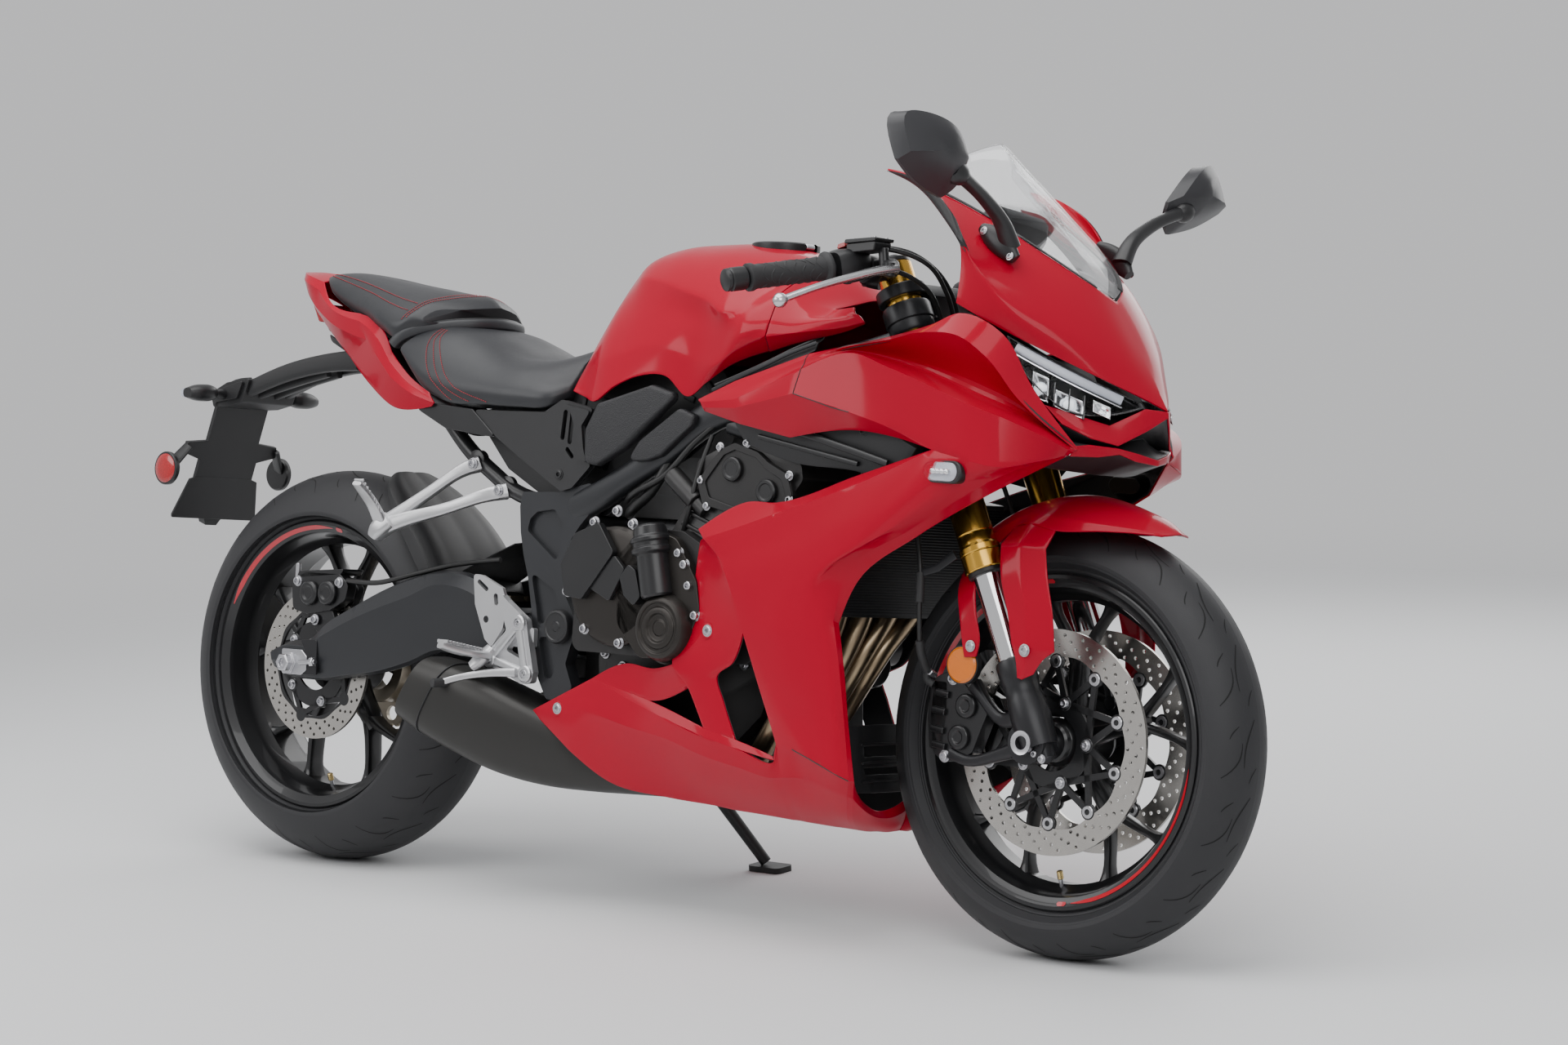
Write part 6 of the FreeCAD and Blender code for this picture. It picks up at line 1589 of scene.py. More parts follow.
def chain_path(rear_r, front_r, steps):
    """Points round the two chain wheels: an arc on each, joined by the lines that touch both."""
    rear = np.array([0.0, REAR_AXLE_Z])
    front = np.array([665.0, 412.0])
    line = front - rear
    tilt = math.atan2(line[1], line[0])
    half = math.acos((rear_r - front_r) / np.linalg.norm(line))
    behind = np.linspace(tilt + half, tilt + 2 * np.pi - half, 40)
    ahead = np.linspace(tilt - half, tilt + half, 24)
    ring = [rear + rear_r * np.stack([np.cos(behind), np.sin(behind)], 1),
            front + front_r * np.stack([np.cos(ahead), np.sin(ahead)], 1)]
    loop = np.vstack(ring + [ring[0][:1]])
    far = np.concatenate([[0], np.cumsum(np.linalg.norm(np.diff(loop, axis=0), axis=1))])
    at = np.linspace(0, far[-1], steps + 1)[:-1]
    return np.stack([np.interp(at, far, loop[:, 0]), np.interp(at, far, loop[:, 1])], 1)


def make_chain():
    """Links of two side plates and a roller, alternately wide and narrow."""
    pins = chain_path(111.0, 41.0, 118)
    ahead = np.roll(pins, -1, axis=0)
    shapes = []
    for index, (a, b) in enumerate(zip(pins, ahead)):
        gap = 8.0 if index % 2 else 5.4
        for side in (-1, 1):
            y = CHAIN_Y + side * gap
            across = unit(np.array([a[1] - b[1], b[0] - a[0]]))
            along = unit(b - a)
            corners = [a - along * 4 + across * 2.6, a + across * 4.6, b + across * 4.6,
                       b + along * 4 + across * 2.6, b + along * 4 - across * 2.6,
                       b - across * 4.6, a - across * 4.6, a - along * 4 - across * 2.6]
            shapes.append(plate_y([tuple(c) for c in corners], y - 0.8, y + 0.8))
        shapes.append(rod((a[0], CHAIN_Y - 5, a[1]), (a[0], CHAIN_Y + 5, a[1]), 3.6, 8))
    make("chain_links", shapes, "frame", CHAIN, replaces=("chain",), sharp=30)


def make_engine():
    """Cast covers, plugs, pump and bolts over the engine's plain block."""
    tidy_copy("engine", ENGINE, 2.2)
    dark, bronze, black, bright = [], [], [], []
    bronze.append(lathe([(0, 0.1), (0, 88), (9, 88), (14, 83), (16, 74), (16, 0.1)],
                        (740, -170, 474), (0, -1, 0), 72, closed=False))
    bronze.append(plate_y(rounded([(748, 520), (800, 566), (862, 548), (902, 490), (912, 446),
                                   (880, 380), (800, 372), (752, 420)], 22), -172, -186))
    bronze.append(lathe([(0, 0.1), (0, 54), (8, 54), (10, 50), (24, 48), (31, 44), (33, 40),
                         (33, 37), (30, 36), (30, 31), (33, 30), (34, 26), (34, 22), (29, 19),
                         (28, 12), (30, 11), (30, 0.1)], (850, -172, 419), (0, -1, 0), 72,
                        closed=False))
    black.append(plate_y(rounded([(646, 503), (671, 548), (718, 566), (750, 524), (712, 478),
                                  (690, 452), (656, 456)], 6), -186, -198))
    black.append(plate_y(rounded([(700, 470), (748, 520), (770, 500), (742, 452)], 5), -186,
                         -194))
    pump_low, pump_high = np.array([836, -190, 462]), np.array([812, -190, 566])
    black.append(lathe([(0, 0.1), (0, 22), (4, 25), (62, 25), (66, 31), (72, 31), (74, 28),
                        (80, 28), (82, 31), (87, 31), (91, 26), (104, 24), (107, 20),
                        (107, 0.1)], pump_low, pump_high - pump_low, 48, closed=False))
    black.append(plate_y(rounded([(786, 508), (800, 500), (812, 462), (800, 448), (780, 462),
                                  (770, 488)], 6), -186, -204))
    for x, z in ((651, 499), (676, 536), (652, 462), (690, 409), (800, 470), (783, 493),
                 (868, 528), (890, 482), (880, 512), (700, 566), (744, 584), (776, 566),
                 (905, 440), (760, 392)):
        bright += bolt((x, -184, z), (0, -1, 0), 6.2, 8)
    for x, z in ((703, 354), (668, 372), (940, 372), (960, 420)):
        bright += bolt((x, -171 if z > 385 else -113, z), (0, -1, 0), 6.0, 6)
    head = rounded([(884, 600), (872, 632), (896, 660), (914, 680), (940, 690), (984, 678),
                    (1004, 664), (1040, 648), (1052, 616), (1020, 592), (940, 588)], 9)
    dark.append(plate_y(head, -149, -157))
    ridge = rounded([(896, 610), (886, 632), (906, 656), (920, 672), (941, 680), (982, 669),
                     (1000, 654), (1030, 640), (1040, 618), (1016, 602), (944, 598)], 8)
    dark.append(cut_plate([head, ridge], -157, -160))
    for x, z in ((938, 652), (1004, 622)):
        black.append(lathe([(0, 0.1), (0, 18), (5, 18), (7, 15.5), (7, 12), (5.5, 11),
                            (5.5, 0.1)], (x, -157, z), (0, -1, 0), 36, closed=False))
    for x, z in ((892, 598), (879, 634), (912, 683), (962, 690), (1044, 646), (1046, 612)):
        bright += bolt((x, -158, z), (0, -1, 0), 5.2, 5)
    for z in (540, 556, 572, 588):
        x = 800 + (z - 530) * 0.67
        dark.append(bar([(x + 12, -150, z), (x + 150, -150, z - 48)], [(4, 3), (4, 3)],
                        square=0.5))
    dark.append(rod((812, -146, 640), (866, -150, 602), 15, 24))
    dark.append(rod((866, -150, 602), (884, -150, 588), 11, 20))
    black.append(lathe([(0, 0.1), (0, 32), (4, 34), (30, 34), (33, 31), (40, 31), (44, 27),
                        (46, 0.1)], (998, 70, 378), (1, 0, -0.04), 40, closed=False))
    left = [lathe([(0, 0.1), (0, 62), (14, 62), (20, 57), (20, 0.1)], (745, 165, 440),
                  (0, 1, 0), 64, closed=False),
            lathe([(0, 0.1), (0, 58), (26, 55), (32, 50), (34, 40), (34, 28), (31, 26),
                   (31, 0.1)], (836, 165, 440), (0, 1, 0), 64, closed=False)]
    bronze += left
    for index in range(8):
        x, z = polar(836, 440, 52, 45 * index + 20)
        bright += bolt((x, 190, z), (0, 1, 0), 5.5, 5)
    make("engine_castings", dark, "frame", ENGINE, replaces=("engine_covers",), bevel=1.0,
         sharp=32)
    make("engine_bronze_covers", bronze, "frame", BRONZE, bevel=1.4, sharp=32)
    make("engine_black_covers", black, "frame", SMOOTH_BLACK, bevel=1.4, sharp=32)
    make("engine_bolts", bright, "frame", BOLT, sharp=30)
    lines = [pipe([(702, -120, 600), (740, -146, 612), (800, -148, 640), (848, -140, 690),
                   (905, -128, 735)], 5, 10),
             pipe([(842, -150, 560), (858, -158, 592), (868, -154, 640), (880, -140, 700)], 4,
                  10),
             pipe([(690, -100, 580), (728, -132, 590), (768, -140, 616), (790, -130, 660)], 8,
                  12),
             pipe([(862, -152, 500), (900, -160, 540), (910, -160, 580)], 4, 10)]
    make("engine_hoses", lines, "frame", HOSE, sharp=60)


HEADER_ROUTES = [
    # y at the port, then at 480, 400, 300 and 205 above the ground, then at the collector
    (99, 72, 14, -6, 4, 6), (33, 16, -24, -42, -34, -28), (-33, -44, -66, -84, -76, -62),
    (-99, -104, -118, -138, -122, -96)]


def make_exhaust():
    """Four header pipes, the collector and the slanted silencer: rings of an even-sided oval
    carried from the collector to the cut end."""
    pipes, collars = [], []
    for port, high, middle, low, foot, end in HEADER_ROUTES:
        pipes.append(pipe([(1040, port, 588), (1078, port, 568), (1100, (port + high) / 2, 528),
                           (1104, high, 480), (1088, middle, 400), (1032, low, 300),
                           (955, foot, 212), (862, end, 192)], 16, 24, 8))
        collars.append(rod((1036, port, 590), (1056, port, 580), 22, 24))
    make("header_pipes", pipes, "frame", HEADER, replaces=("exhaust_headers",), sharp=60)
    make("header_collars", collars, "frame", ENGINE, sharp=30)
    rings = np.array([(858, -44, 194, 58, 24), (800, -44, 192, 60, 26), (730, -50, 194, 60, 30),
                      (650, -64, 202, 60, 40), (590, -82, 214, 61, 50), (520, -106, 233, 61, 57),
                      (440, -130, 262, 58, 58), (380, -144, 284, 54, 55),
                      (330, -152, 300, 47, 48)], float)
    smooth = refine(rings, (), 5)
    angle = 2 * np.pi * (np.arange(40) + 0.5) / 40
    wide = np.sign(np.cos(angle)) * np.abs(np.cos(angle)) ** 0.55
    high = np.sign(np.sin(angle)) * np.abs(np.sin(angle)) ** 0.68
    up = smooth[:, 4:5] * high
    slant = 0.62 - 0.27 * np.linspace(1, 0, len(smooth))[:, None]
    loops = np.stack([smooth[:, 0:1] + slant * up, smooth[:, 1:2] + smooth[:, 3:4] * wide,
                      smooth[:, 2:3] + up], axis=-1)
    make("silencer_shell", [outward(loft(loops))], "frame", SILENCER, replaces=("silencer",),
         sharp=40, bevel=1.2)
    seam = loops[-6]
    middle = seam.mean(axis=0)
    swollen = middle + (seam - middle) * 1.012
    make("silencer_band", [tube(np.vstack([swollen, swollen[:1]]), 1.3, 8)], "frame", CLAMP,
         sharp=80)
    mouth = np.array([318, -150, 280])
    make("silencer_mouth", [lathe([(0, 14), (0, 20), (16, 22), (18, 20), (16, 16), (6, 14)],
                                  mouth, (-0.9, -0.2, -0.4), 32)], "frame", BRONZE)


def make_filling():
    """The dark air box behind the side covers and the catch tray below the engine."""
    box = plate_y(rounded([(350, 726), (470, 742), (600, 768), (700, 800), (850, 806), (900, 740),
                           (800, 668), (690, 612), (640, 575), (560, 585), (500, 604),
                           (430, 640)], 12), -96, 96)
    tray = plate_y(rounded([(600, 384), (1000, 384), (1010, 250), (900, 222), (640, 236),
                            (600, 300)], 14), -84, 84)
    ribs = [bar([(x, -97, 640 + 0.45 * (x - 520)), (x + 20, -97, 752)], [(2, 5), (2, 5)],
                square=0.5) for x in range(520, 840, 44)]
    shield = [[(1190, -150, 800), (1215, -100, 806), (1225, -50, 810), (1228, 0, 812)],
              [(1196, -160, 720), (1220, -110, 724), (1230, -50, 726), (1234, 0, 728)],
              [(1180, -168, 645), (1198, -110, 645), (1206, -50, 645), (1208, 0, 645)]]
    skin("head_shield", [surface(shield, (1,), (1,))], "frame", PLASTIC, side="both", wall=2.4,
         ease=0)
    make("air_box", [box] + ribs, "frame", PLASTIC, bevel=2.0, sharp=35)
    link = plate_y(rounded([(470, 396), (640, 396), (640, 296), (560, 300), (486, 344)], 12),
                   -28, 28)
    make("catch_tray", [tray, link], "frame", ENGINE, bevel=2.0, sharp=35)


def make_radiator():
    """The radiator with its edges rounded, and a row of level fins across its core."""
    tidy_copy("radiator", RADIATOR, 1.5)
    fins = []
    low, high = np.array([1157.5, 0, 456]), np.array([1180.5, 0, 616])
    for index in range(RADIATOR_FINS):
        at = low + (high - low) * (index + 0.5) / RADIATOR_FINS
        fins.append(bar([at + (0, -166, 0), at + (0, 166, 0)], [(0.6, 1.6), (0.6, 1.6)],
                        side=(1, 0, 0.2), count=4))
    make("radiator_fins", fins, "frame", CLAMP, sharp=30)


# ---- seats and trim ------------------------------------------------------------------------
PILLION = [
    # half sections from the bottom's middle out and up to the top's middle, rear to front
    [(-44, 0, 926), (-45, -24, 926), (-47, -38, 929), (-49, -42, 936), (-47, -32, 943),
     (-46, -15, 945), (-46, 0, 945)],
    [(-25, 0, 915), (-25, -38, 914), (-28, -55, 918), (-28, -60, 929), (-24, -47, 941),
     (-22, -22, 947), (-22, 0, 948)],
    [(50, 0, 893), (50, -60, 887), (48, -79, 883), (47, -84, 899), (52, -65, 927),
     (50, -32, 940), (50, 0, 942)],
    [(110, 0, 878), (110, -78, 872), (106, -98, 868), (104, -104, 886), (108, -82, 914),
     (108, -40, 930), (108, 0, 932)],
    [(170, 0, 862), (170, -94, 853), (166, -118, 848), (166, -126, 864), (176, -101, 897),
     (180, -50, 918), (182, 0, 922)],
    [(214, 0, 856), (210, -100, 844), (202, -127, 838), (204, -132, 853), (218, -106, 888),
     (232, -52, 909), (238, 0, 914)],
    [(258, 0, 858), (252, -88, 852), (232, -118, 850), (228, -126, 864), (238, -106, 885),
     (268, -54, 899), (286, 0, 906)],
    [(296, 0, 866), (288, -58, 864), (258, -100, 860), (246, -114, 866), (250, -102, 877),
     (282, -56, 886), (302, 0, 893)]]

RIDER = [
    [(258, 0, 806), (246, -96, 800), (228, -126, 802), (219, -133, 818), (232, -120, 838),
     (262, -92, 855), (304, -50, 858), (316, 0, 858)],
    [(290, 0, 762), (285, -108, 753), (276, -138, 762), (268, -146, 788), (278, -128, 826),
     (300, -96, 848), (332, -52, 851), (342, 0, 851)],
    [(350, 0, 745), (345, -118, 735), (338, -145, 739), (335, -151, 764), (342, -133, 804),
     (352, -98, 831), (368, -54, 838), (374, 0, 838)],
    [(430, 0, 742), (428, -118, 732), (424, -146, 736), (424, -150, 755), (426, -129, 789),
     (430, -94, 807), (434, -50, 812), (436, 0, 813)],
    [(490, 0, 742), (490, -114, 731), (490, -144, 734), (490, -147, 751), (488, -123, 785),
     (486, -86, 804), (482, -46, 811), (480, 0, 813)],
    [(535, 0, 746), (538, -102, 734), (545, -133, 736), (546, -136, 750), (540, -108, 782),
     (530, -74, 808), (522, -38, 820), (518, 0, 823)],
    [(554, 0, 764), (558, -78, 748), (563, -108, 752), (565, -109, 762), (560, -86, 788),
     (555, -60, 812), (550, -28, 831), (547, 0, 837)]]


def stitches(path, name, spacing=4.2, length=2.9):
    """Short threads laid end to end along a path on the leather."""
    path = np.asarray(path, float)
    far = np.concatenate([[0], np.cumsum(np.linalg.norm(np.diff(path, axis=0), axis=1))])
    starts = np.arange(1.0, far[-1] - length, spacing)
    shapes = []
    for start in starts:
        ends = [[np.interp(at, far, path[:, k]) for k in range(3)]
                for at in (start, start + length / 2, start + length)]
        shapes.append(tube(ends, (0.35, 0.75, 0.35), 6))
    make(name, shapes, "frame", THREAD, both=True, sharp=80)


def make_seats():
    """Closed crowned pads through their sections, with sewn seams."""
    pads = ((PILLION, "pillion_pad", "pillion_seat"), (RIDER, "rider_pad", "rider_seat"))
    for sections, name, node in pads:
        shape = body_through(sections, (2,), 6, 8)
        pad = make(name, [shape], "frame", SEAT, replaces=(node,), sharp=70)
    crest = surface(PILLION, (), (2,), 8)
    stitches(crest[:5 * 8 + 1, 4 * 8 - 2] + (0, -0.2, 0.6), "pillion_stitches_outer")
    stitches(crest[:5 * 8 + 1, 4 * 8 + 1] + (0, 0, 0.6), "pillion_stitches_inner")
    stitches(crest[5 * 8 + 2, 3 * 8 + 2:] + (0.3, 0, 0.6), "pillion_stitches_front")
    stitches(crest[5 * 8 + 5, 3 * 8 + 2:] + (0.3, 0, 0.6), "pillion_stitches_front_low")
    crown = surface(RIDER, (), (2,), 8)
    lines = []
    for offset in (-5, 0, 5):
        start, end = np.array([3 + offset * 0.25, 40]), np.array([21 + offset * 0.7, 17])
        steps = np.linspace(0, 1, 60)[:, None]
        at = start + (end - start) * steps
        low = np.floor(at).astype(int)
        part = at - low
        a = crown[low[:, 0], low[:, 1]]
        b = crown[low[:, 0] + 1, low[:, 1]]
        c = crown[low[:, 0], low[:, 1] + 1]
        lines.append(a + (b - a) * part[:, :1] + (c - a) * part[:, 1:] + (0, -0.5, 0.3))
    for index, line in enumerate(lines):
        stitches(line, "rider_stitches_%d" % index)
    band = [(198, -127, 826), (210, -124, 838), (232, -110, 850), (262, -84, 858),
            (296, -44, 864), (306, 0, 866)]
    whole = band + [(x, -y, z) for x, y, z in reversed(band[:-1])]
    make("seat_band", [bar(whole, [(9, 9)] * len(whole), side=(0, 0, 1), square=0.6, parts=5)],
         "frame", SEAT, sharp=50)
    make("seat_band_seam", [tube(refine(np.array(whole, float) + (0, 0, 9), (), 5), 1.6, 8)],
         "frame", HOSE, sharp=80)


def pillow(outline, y0, y1, inset=5.0, side=-1):
    """A pad seen from the side: its edge rises from y0, then rolls in to a flat crown at y1."""
    ring = np.array(rounded(outline, 9), float)
    middle = ring.mean(axis=0)
    reach = np.linalg.norm(ring - middle, axis=1, keepdims=True)
    loops = []
    for share, rise in ((0, 0), (0.0, 0.55), (0.3, 0.85), (1.0, 1.0), (1.6, 1.02)):
        moved = middle + (ring - middle) * (1 - share * inset / reach)
        y = side * (y0 + (y1 - y0) * rise)
        loops.append(np.stack([moved[:, 0], np.full(len(moved), y), moved[:, 1]], axis=1))
    return outward(loft(loops))


def capsule(a, b, radius, count=8):
    """The outline of a slot: a half circle round each of its two ends."""
    a, b = np.array(a, float), np.array(b, float)
    turn = math.atan2(b[1] - a[1], b[0] - a[0])
    ends = []
    for centre, start in ((b, turn - np.pi / 2), (a, turn + np.pi / 2)):
        angle = start + np.linspace(0, np.pi, count)
        ends.append(centre + radius * np.stack([np.cos(angle), np.sin(angle)], 1))
    return np.vstack(ends)


def make_side_covers():
    """The covers under the seat, their trims, the knee pads and the bolts."""
    cover = [(392, 728), (470, 727), (543, 727), (578, 746), (643, 734), (626, 710),
             (633, 672), (642, 648), (607, 615), (585, 609), (562, 621), (491, 660),
             (444, 687)]
    trim = [(269, 727), (300, 736), (392, 729), (446, 686), (400, 690), (337, 697)]
    slots = [capsule((587, 727), (583, 690), 4.2), capsule((601, 727), (598, 684), 4.2),
             capsule((594, 672), (604, 662), 3.6)]
    covers, trims, pads, bolts = [], [], [], []
    for side in (-1, 1):
        covers.append(cut_plate([rounded(cover, 5)] + slots, side * 137, side * 141))
        covers.append(plate_y(rounded([(585, 740), (640, 730), (624, 708), (630, 674),
                                       (638, 652), (618, 660), (612, 700), (600, 728)], 4),
                              side * 140, side * 145))
        covers.append(plate_y(rounded(cover, 5), side * 128, side * 130))
        trims.append(plate_y(rounded(trim, 5), side * 136, side * 143))
        pads.append(pillow([(643, 652), (641, 702), (664, 742), (770, 771), (812, 760),
                            (813, 750), (723, 677), (668, 649)], 143, 158, 6, side))
        pads.append(pillow([(728, 658), (750, 688), (826, 738), (856, 728), (853, 714),
                            (794, 667), (767, 659)], 145, 156, 4, side))
        bolts += bolt((580, side * 141, 634), (0, side, 0), 6, 3)
    make("side_cover_panels", covers, "frame", PLASTIC, replaces=("side_covers",), bevel=1.4,
         sharp=34)
    make("side_cover_trims", trims, "frame", SMOOTH_BLACK, bevel=1.4)
    make("knee_pads", pads, "frame", PAD, sharp=50)
    make("side_cover_bolts", bolts, "frame", CONTROL)


# ---- rests, stand and rear brake -----------------------------------------------------------
def make_rests():
    """The rider's rests and pedals on pierced plates, then the passenger's on cast stays."""
    silver, bright, rubber = [], [], []
    for side in (-1, 1):
        shift = 0 if side < 0 else 12
        outer, inner = side * (150 + shift), side * (144 + shift)
        heel = rounded([(421, 478), (440, 476), (484, 459), (494, 435), (488, 398), (466, 368),
                        (451, 380), (427, 432)], 6)
        holes = [capsule((434, 466), (450, 456), 3.6), capsule((470, 446), (472, 436), 4.2),
                 circle(452, 410, 5.5, 16)]
        silver.append(cut_plate([heel] + holes, inner, outer))
        fork = rounded([(484, 452), (496, 442), (540, 414), (548, 380), (560, 336), (556, 320),
                        (536, 317), (500, 332), (462, 342), (456, 356), (474, 372), (500, 396),
                        (490, 420)], 7)
        holes = [rounded([(500, 366), (526, 394), (540, 352)], 5)]
        silver.append(cut_plate([fork] + holes, inner - side * 2, outer + side * 4))
        for a, b in (((470, 351), (545, 333)), ((526, 408), (545, 333)), ((470, 351), (527, 408))):
            silver.append(bar([(a[0], outer + side * 4, a[1]), (b[0], outer + side * 4, b[1])],
                              [(5, 7), (5, 7)], square=0.6))
        for x, z in ((527, 408), (545, 333), (470, 351)):
            silver.append(lathe([(0, 0.1), (0, 14), (8, 13), (10, 11), (10, 7), (7, 6.5),
                                 (7, 0.1)], (x, outer, z), (0, side, 0), 28, closed=False))
            bright += bolt((x, outer + side * 5, z), (0, side, 0), 6.5, 5)
        silver.append(plate_y(rounded([(500, 402), (548, 402), (548, 372), (500, 372)], 5),
                              side * (135 + shift), inner))
        peg = np.array([(470, 162, 356), (466, 180, 358), (456, 210, 362), (448, 240, 370)],
                       float)
        peg[:, 1] += shift
        peg[:, 1] *= side
        silver.append(bar(peg, [(11, 8), (13, 6), (12, 6), (9, 5)], side=(1, 0, 0),
                          square=0.6, parts=5))
        for index in range(11):
            share = (index + 0.5) / 11
            at = peg[0] + (peg[-1] - peg[0]) * (0.18 + 0.8 * share) + (0, 0, 6.5)
            silver.append(bar([at + (-11, 0, 0), at + (11, 0, 0)], [(1.8, 2.6), (1.8, 2.6)],
                              square=0.7, count=8))
        silver.append(bar([(474, side * (156 + shift), 366), (462, side * (170 + shift), 348),
                           (452, side * (176 + shift), 338)], [(9, 9), (11, 8), (8, 6)],
                          side=(1, 0, 0), square=0.6, parts=4))
        pedal = [(530, 160, 334), (480, 168, 330), (440, 180, 322), (414, 198, 312)]
        silver.append(bar([(x, side * (y + shift), z) for x, y, z in pedal],
                          [(3.5, 7), (3.5, 6), (3.5, 5), (4, 5)], square=0.6, parts=5))
        rubber.append(rod((416, side * (188 + shift), 312), (408, side * (214 + shift), 310),
                          7, 16))
    make("rest_plates", silver, "frame", SILVER,
         replaces=("rider_rest_right", "rider_rest_left", "foot_pedals"), bevel=0.9, sharp=32)
    make("rest_bolts", bright, "frame", BOLT, sharp=30)
    make("pedal_tips", rubber, "frame", GRIP)
    stays, teeth, knobs = [], [], []
    for side in (-1, 1):
        upper = [(380, 106, 646), (366, 120, 638), (320, 152, 598), (286, 176, 566),
                 (262, 188, 545)]
        lower = [(440, 106, 606), (424, 124, 600), (350, 154, 572), (300, 176, 556),
                 (262, 190, 542)]
        for line in (upper, lower):
            stays.append(bar([(x, side * y, z) for x, y, z in line],
                             [(11, 13), (8, 11), (7, 9), (8, 11), (9, 14)], square=0.6,
                             parts=5))
        stays.append(bar([(274, side * 188, 552), (256, side * 194, 536),
                          (248, side * 196, 524)], [(13, 14), (14, 14), (10, 9)], square=0.5,
                         parts=4))
        peg = [(262, side * 192, 540), (262, side * 214, 572), (268, side * 240, 592),
               (272, side * 262, 606)]
        stays.append(bar(peg, [(13, 8), (12, 5), (11, 5), (8, 4)], side=(1, 0, 0), square=0.6,
                         parts=4))
        for index in range(9):
            share = 0.3 + 0.68 * index / 8
            at = np.array(peg[0]) + (np.array(peg[-1]) - np.array(peg[0])) * share
            teeth.append(bar([at + (-10, side * -4, 6), at + (10, side * -4, 6)],
                             [(1.6, 2.6), (1.6, 2.6)], square=0.7, count=8))
        for x, y, z in ((378, 110, 645), (438, 112, 606)):
            knobs += bolt((x, side * (y + 10), z), (0, side, 0), 7, 6)
    make("passenger_rests", stays + teeth, "frame", SILVER, replaces=("pillion_rests",),
         bevel=0.9, sharp=32)
    make("passenger_rest_bolts", knobs, "frame", BOLT)


def make_rear_caliper():
    """The rear caliper with its bolts and brake line."""
    body = [plate_y(rounded([(-40, 448), (-6, 462), (70, 462), (92, 446), (86, 420), (52, 402),
                             (0, 394), (-34, 400)], 12), -78, -98),
            plate_y(rounded([(-34, 444), (60, 456), (84, 440), (70, 410), (-28, 404)], 10),
                    -52, -66),
            plate_y(rounded([(-30, 450), (72, 460), (80, 470), (-24, 462)], 5), -52, -98)]
    for x, z in ((6, 428), (48, 430)):
        body.append(lathe([(0, 0.1), (0, 20), (5, 20), (8, 17), (8, 11), (6, 10), (6, 0.1)],
                          (x, -98, z), (0, -1, 0), 36, closed=False))
    body.append(plate_y(rounded([(10, 404), (50, 410), (70, 372), (40, 352), (14, 372)], 8),
                        -84, -94))
    make("rear_caliper_body", body, "frame", CALIPER, replaces=("rear_caliper",), bevel=1.5,
         sharp=32)
    parts = []
    for x, z in ((-24, 446), (72, 448), (20, 386)):
        parts += bolt((x, -98, z), (0, -1, 0), 6.5, 6)
    parts.append(rod((-34, -90, 440), (-34, -90, 474), 4.5, 12))
    make("rear_caliper_bolts", parts, "frame", BOLT)
    make("rear_brake_line", [pipe([(84, -92, 452), (110, -108, 452), (170, -112, 452),
                                   (250, -106, 470), (330, -100, 488), (420, -92, 500)], 4,
                                  12)], "frame", HOSE, sharp=60)


STAND_PIVOT = (575.0, 132.0, 256.0)
STAND_FOOT = (694.0, 258.0, 43.0)
STAND_AXIS = (0.112, 0.815, 0.569)


def make_stand():
    """The sprung leg, its spring and foot; it turns with its own body."""
    tidy_copy("side_stand", STAND, 1.2)
    pivot, foot = np.array(STAND_PIVOT), np.array(STAND_FOOT)
    along = unit(foot - pivot)
    aside = unit(np.cross(along, STAND_AXIS))
    start, end = pivot + along * 26 - aside * 18, pivot + along * 120 - aside * 17
    turns = 15
    share = np.linspace(0, 1, turns * 10)
    angle = 2 * np.pi * turns * share
    coil = (start + (end - start) * share[:, None]
            + 5.5 * (np.cos(angle)[:, None] * aside + np.sin(angle)[:, None] * unit(STAND_AXIS)))
    make("stand_spring", [tube(coil, 1.4, 6)], "side_stand", BOLT, sharp=80)


# ---- lamps, ducts and cockpit ----------------------------------------------------------------
LAMP_CORNERS = ((1414, 848), (1428, 818))   # (x, z) of the glass's outer rear corners
LAMP_TIPS = ((1552, 766), (1557, 759))      # of its front tip's upper and lower end
LAMP_SIDES = (158, 32)                      # distance of corners and tip from the middle
LAMP_BOWS = (14, 18)                        # outward bow of the upper and lower edge
LAMP_HANG = 40                              # how far the lower edge hangs below a line


def lamp_rows(rows=3, columns=5):
    """A lamp's glass from its upper edge (v = 0) down (v = 1), each row straight from the
    outer rear corner (u = 0) to the front tip (u = 1), then bowed outwards by the sine of
    half a turn of u, and hung down by the same sine times v."""
    v, u = shares(rows, columns)
    bow = np.sin(np.pi * u)
    (top_x, top_z), (foot_x, foot_z) = LAMP_CORNERS
    (upper_x, upper_z), (lower_x, lower_z) = LAMP_TIPS
    x = (top_x + (foot_x - top_x) * v) * (1 - u) + (upper_x + (lower_x - upper_x) * v) * u
    y = (-LAMP_SIDES[0] * (1 - u) - LAMP_SIDES[1] * u
         - (LAMP_BOWS[0] + (LAMP_BOWS[1] - LAMP_BOWS[0]) * v) * bow)
    z = ((top_z - (top_z - foot_z) * v) * (1 - u) + (upper_z - (upper_z - lower_z) * v) * u
         - LAMP_HANG * v * bow)
    return np.stack([x, y, z], axis=-1)


LAMP_LENS = lamp_rows()
LAMP_OUT = np.array([0.62, -0.678, 0.112])
LAMP_ALONG = unit(np.array([0.71, 0.59, -0.36]))
LAMP_UP = np.array([-0.07, 0.10, 0.99])


def cup(centre, wide, high, depth):
    """A reflector: across and up in the lamp's own directions, sunk by the depth times one
    less the square of each, multiplied together."""
    span = np.linspace(-1, 1, 13)
    a, b = np.meshgrid(span, span)
    a, b = a[..., None], b[..., None]
    grid = (np.asarray(centre, float) + LAMP_ALONG * a * wide + LAMP_UP * b * high
            - LAMP_OUT * depth * (1 - a ** 2) * (1 - b ** 2))
    return grid.reshape(-1, 3), quads(13, 13)


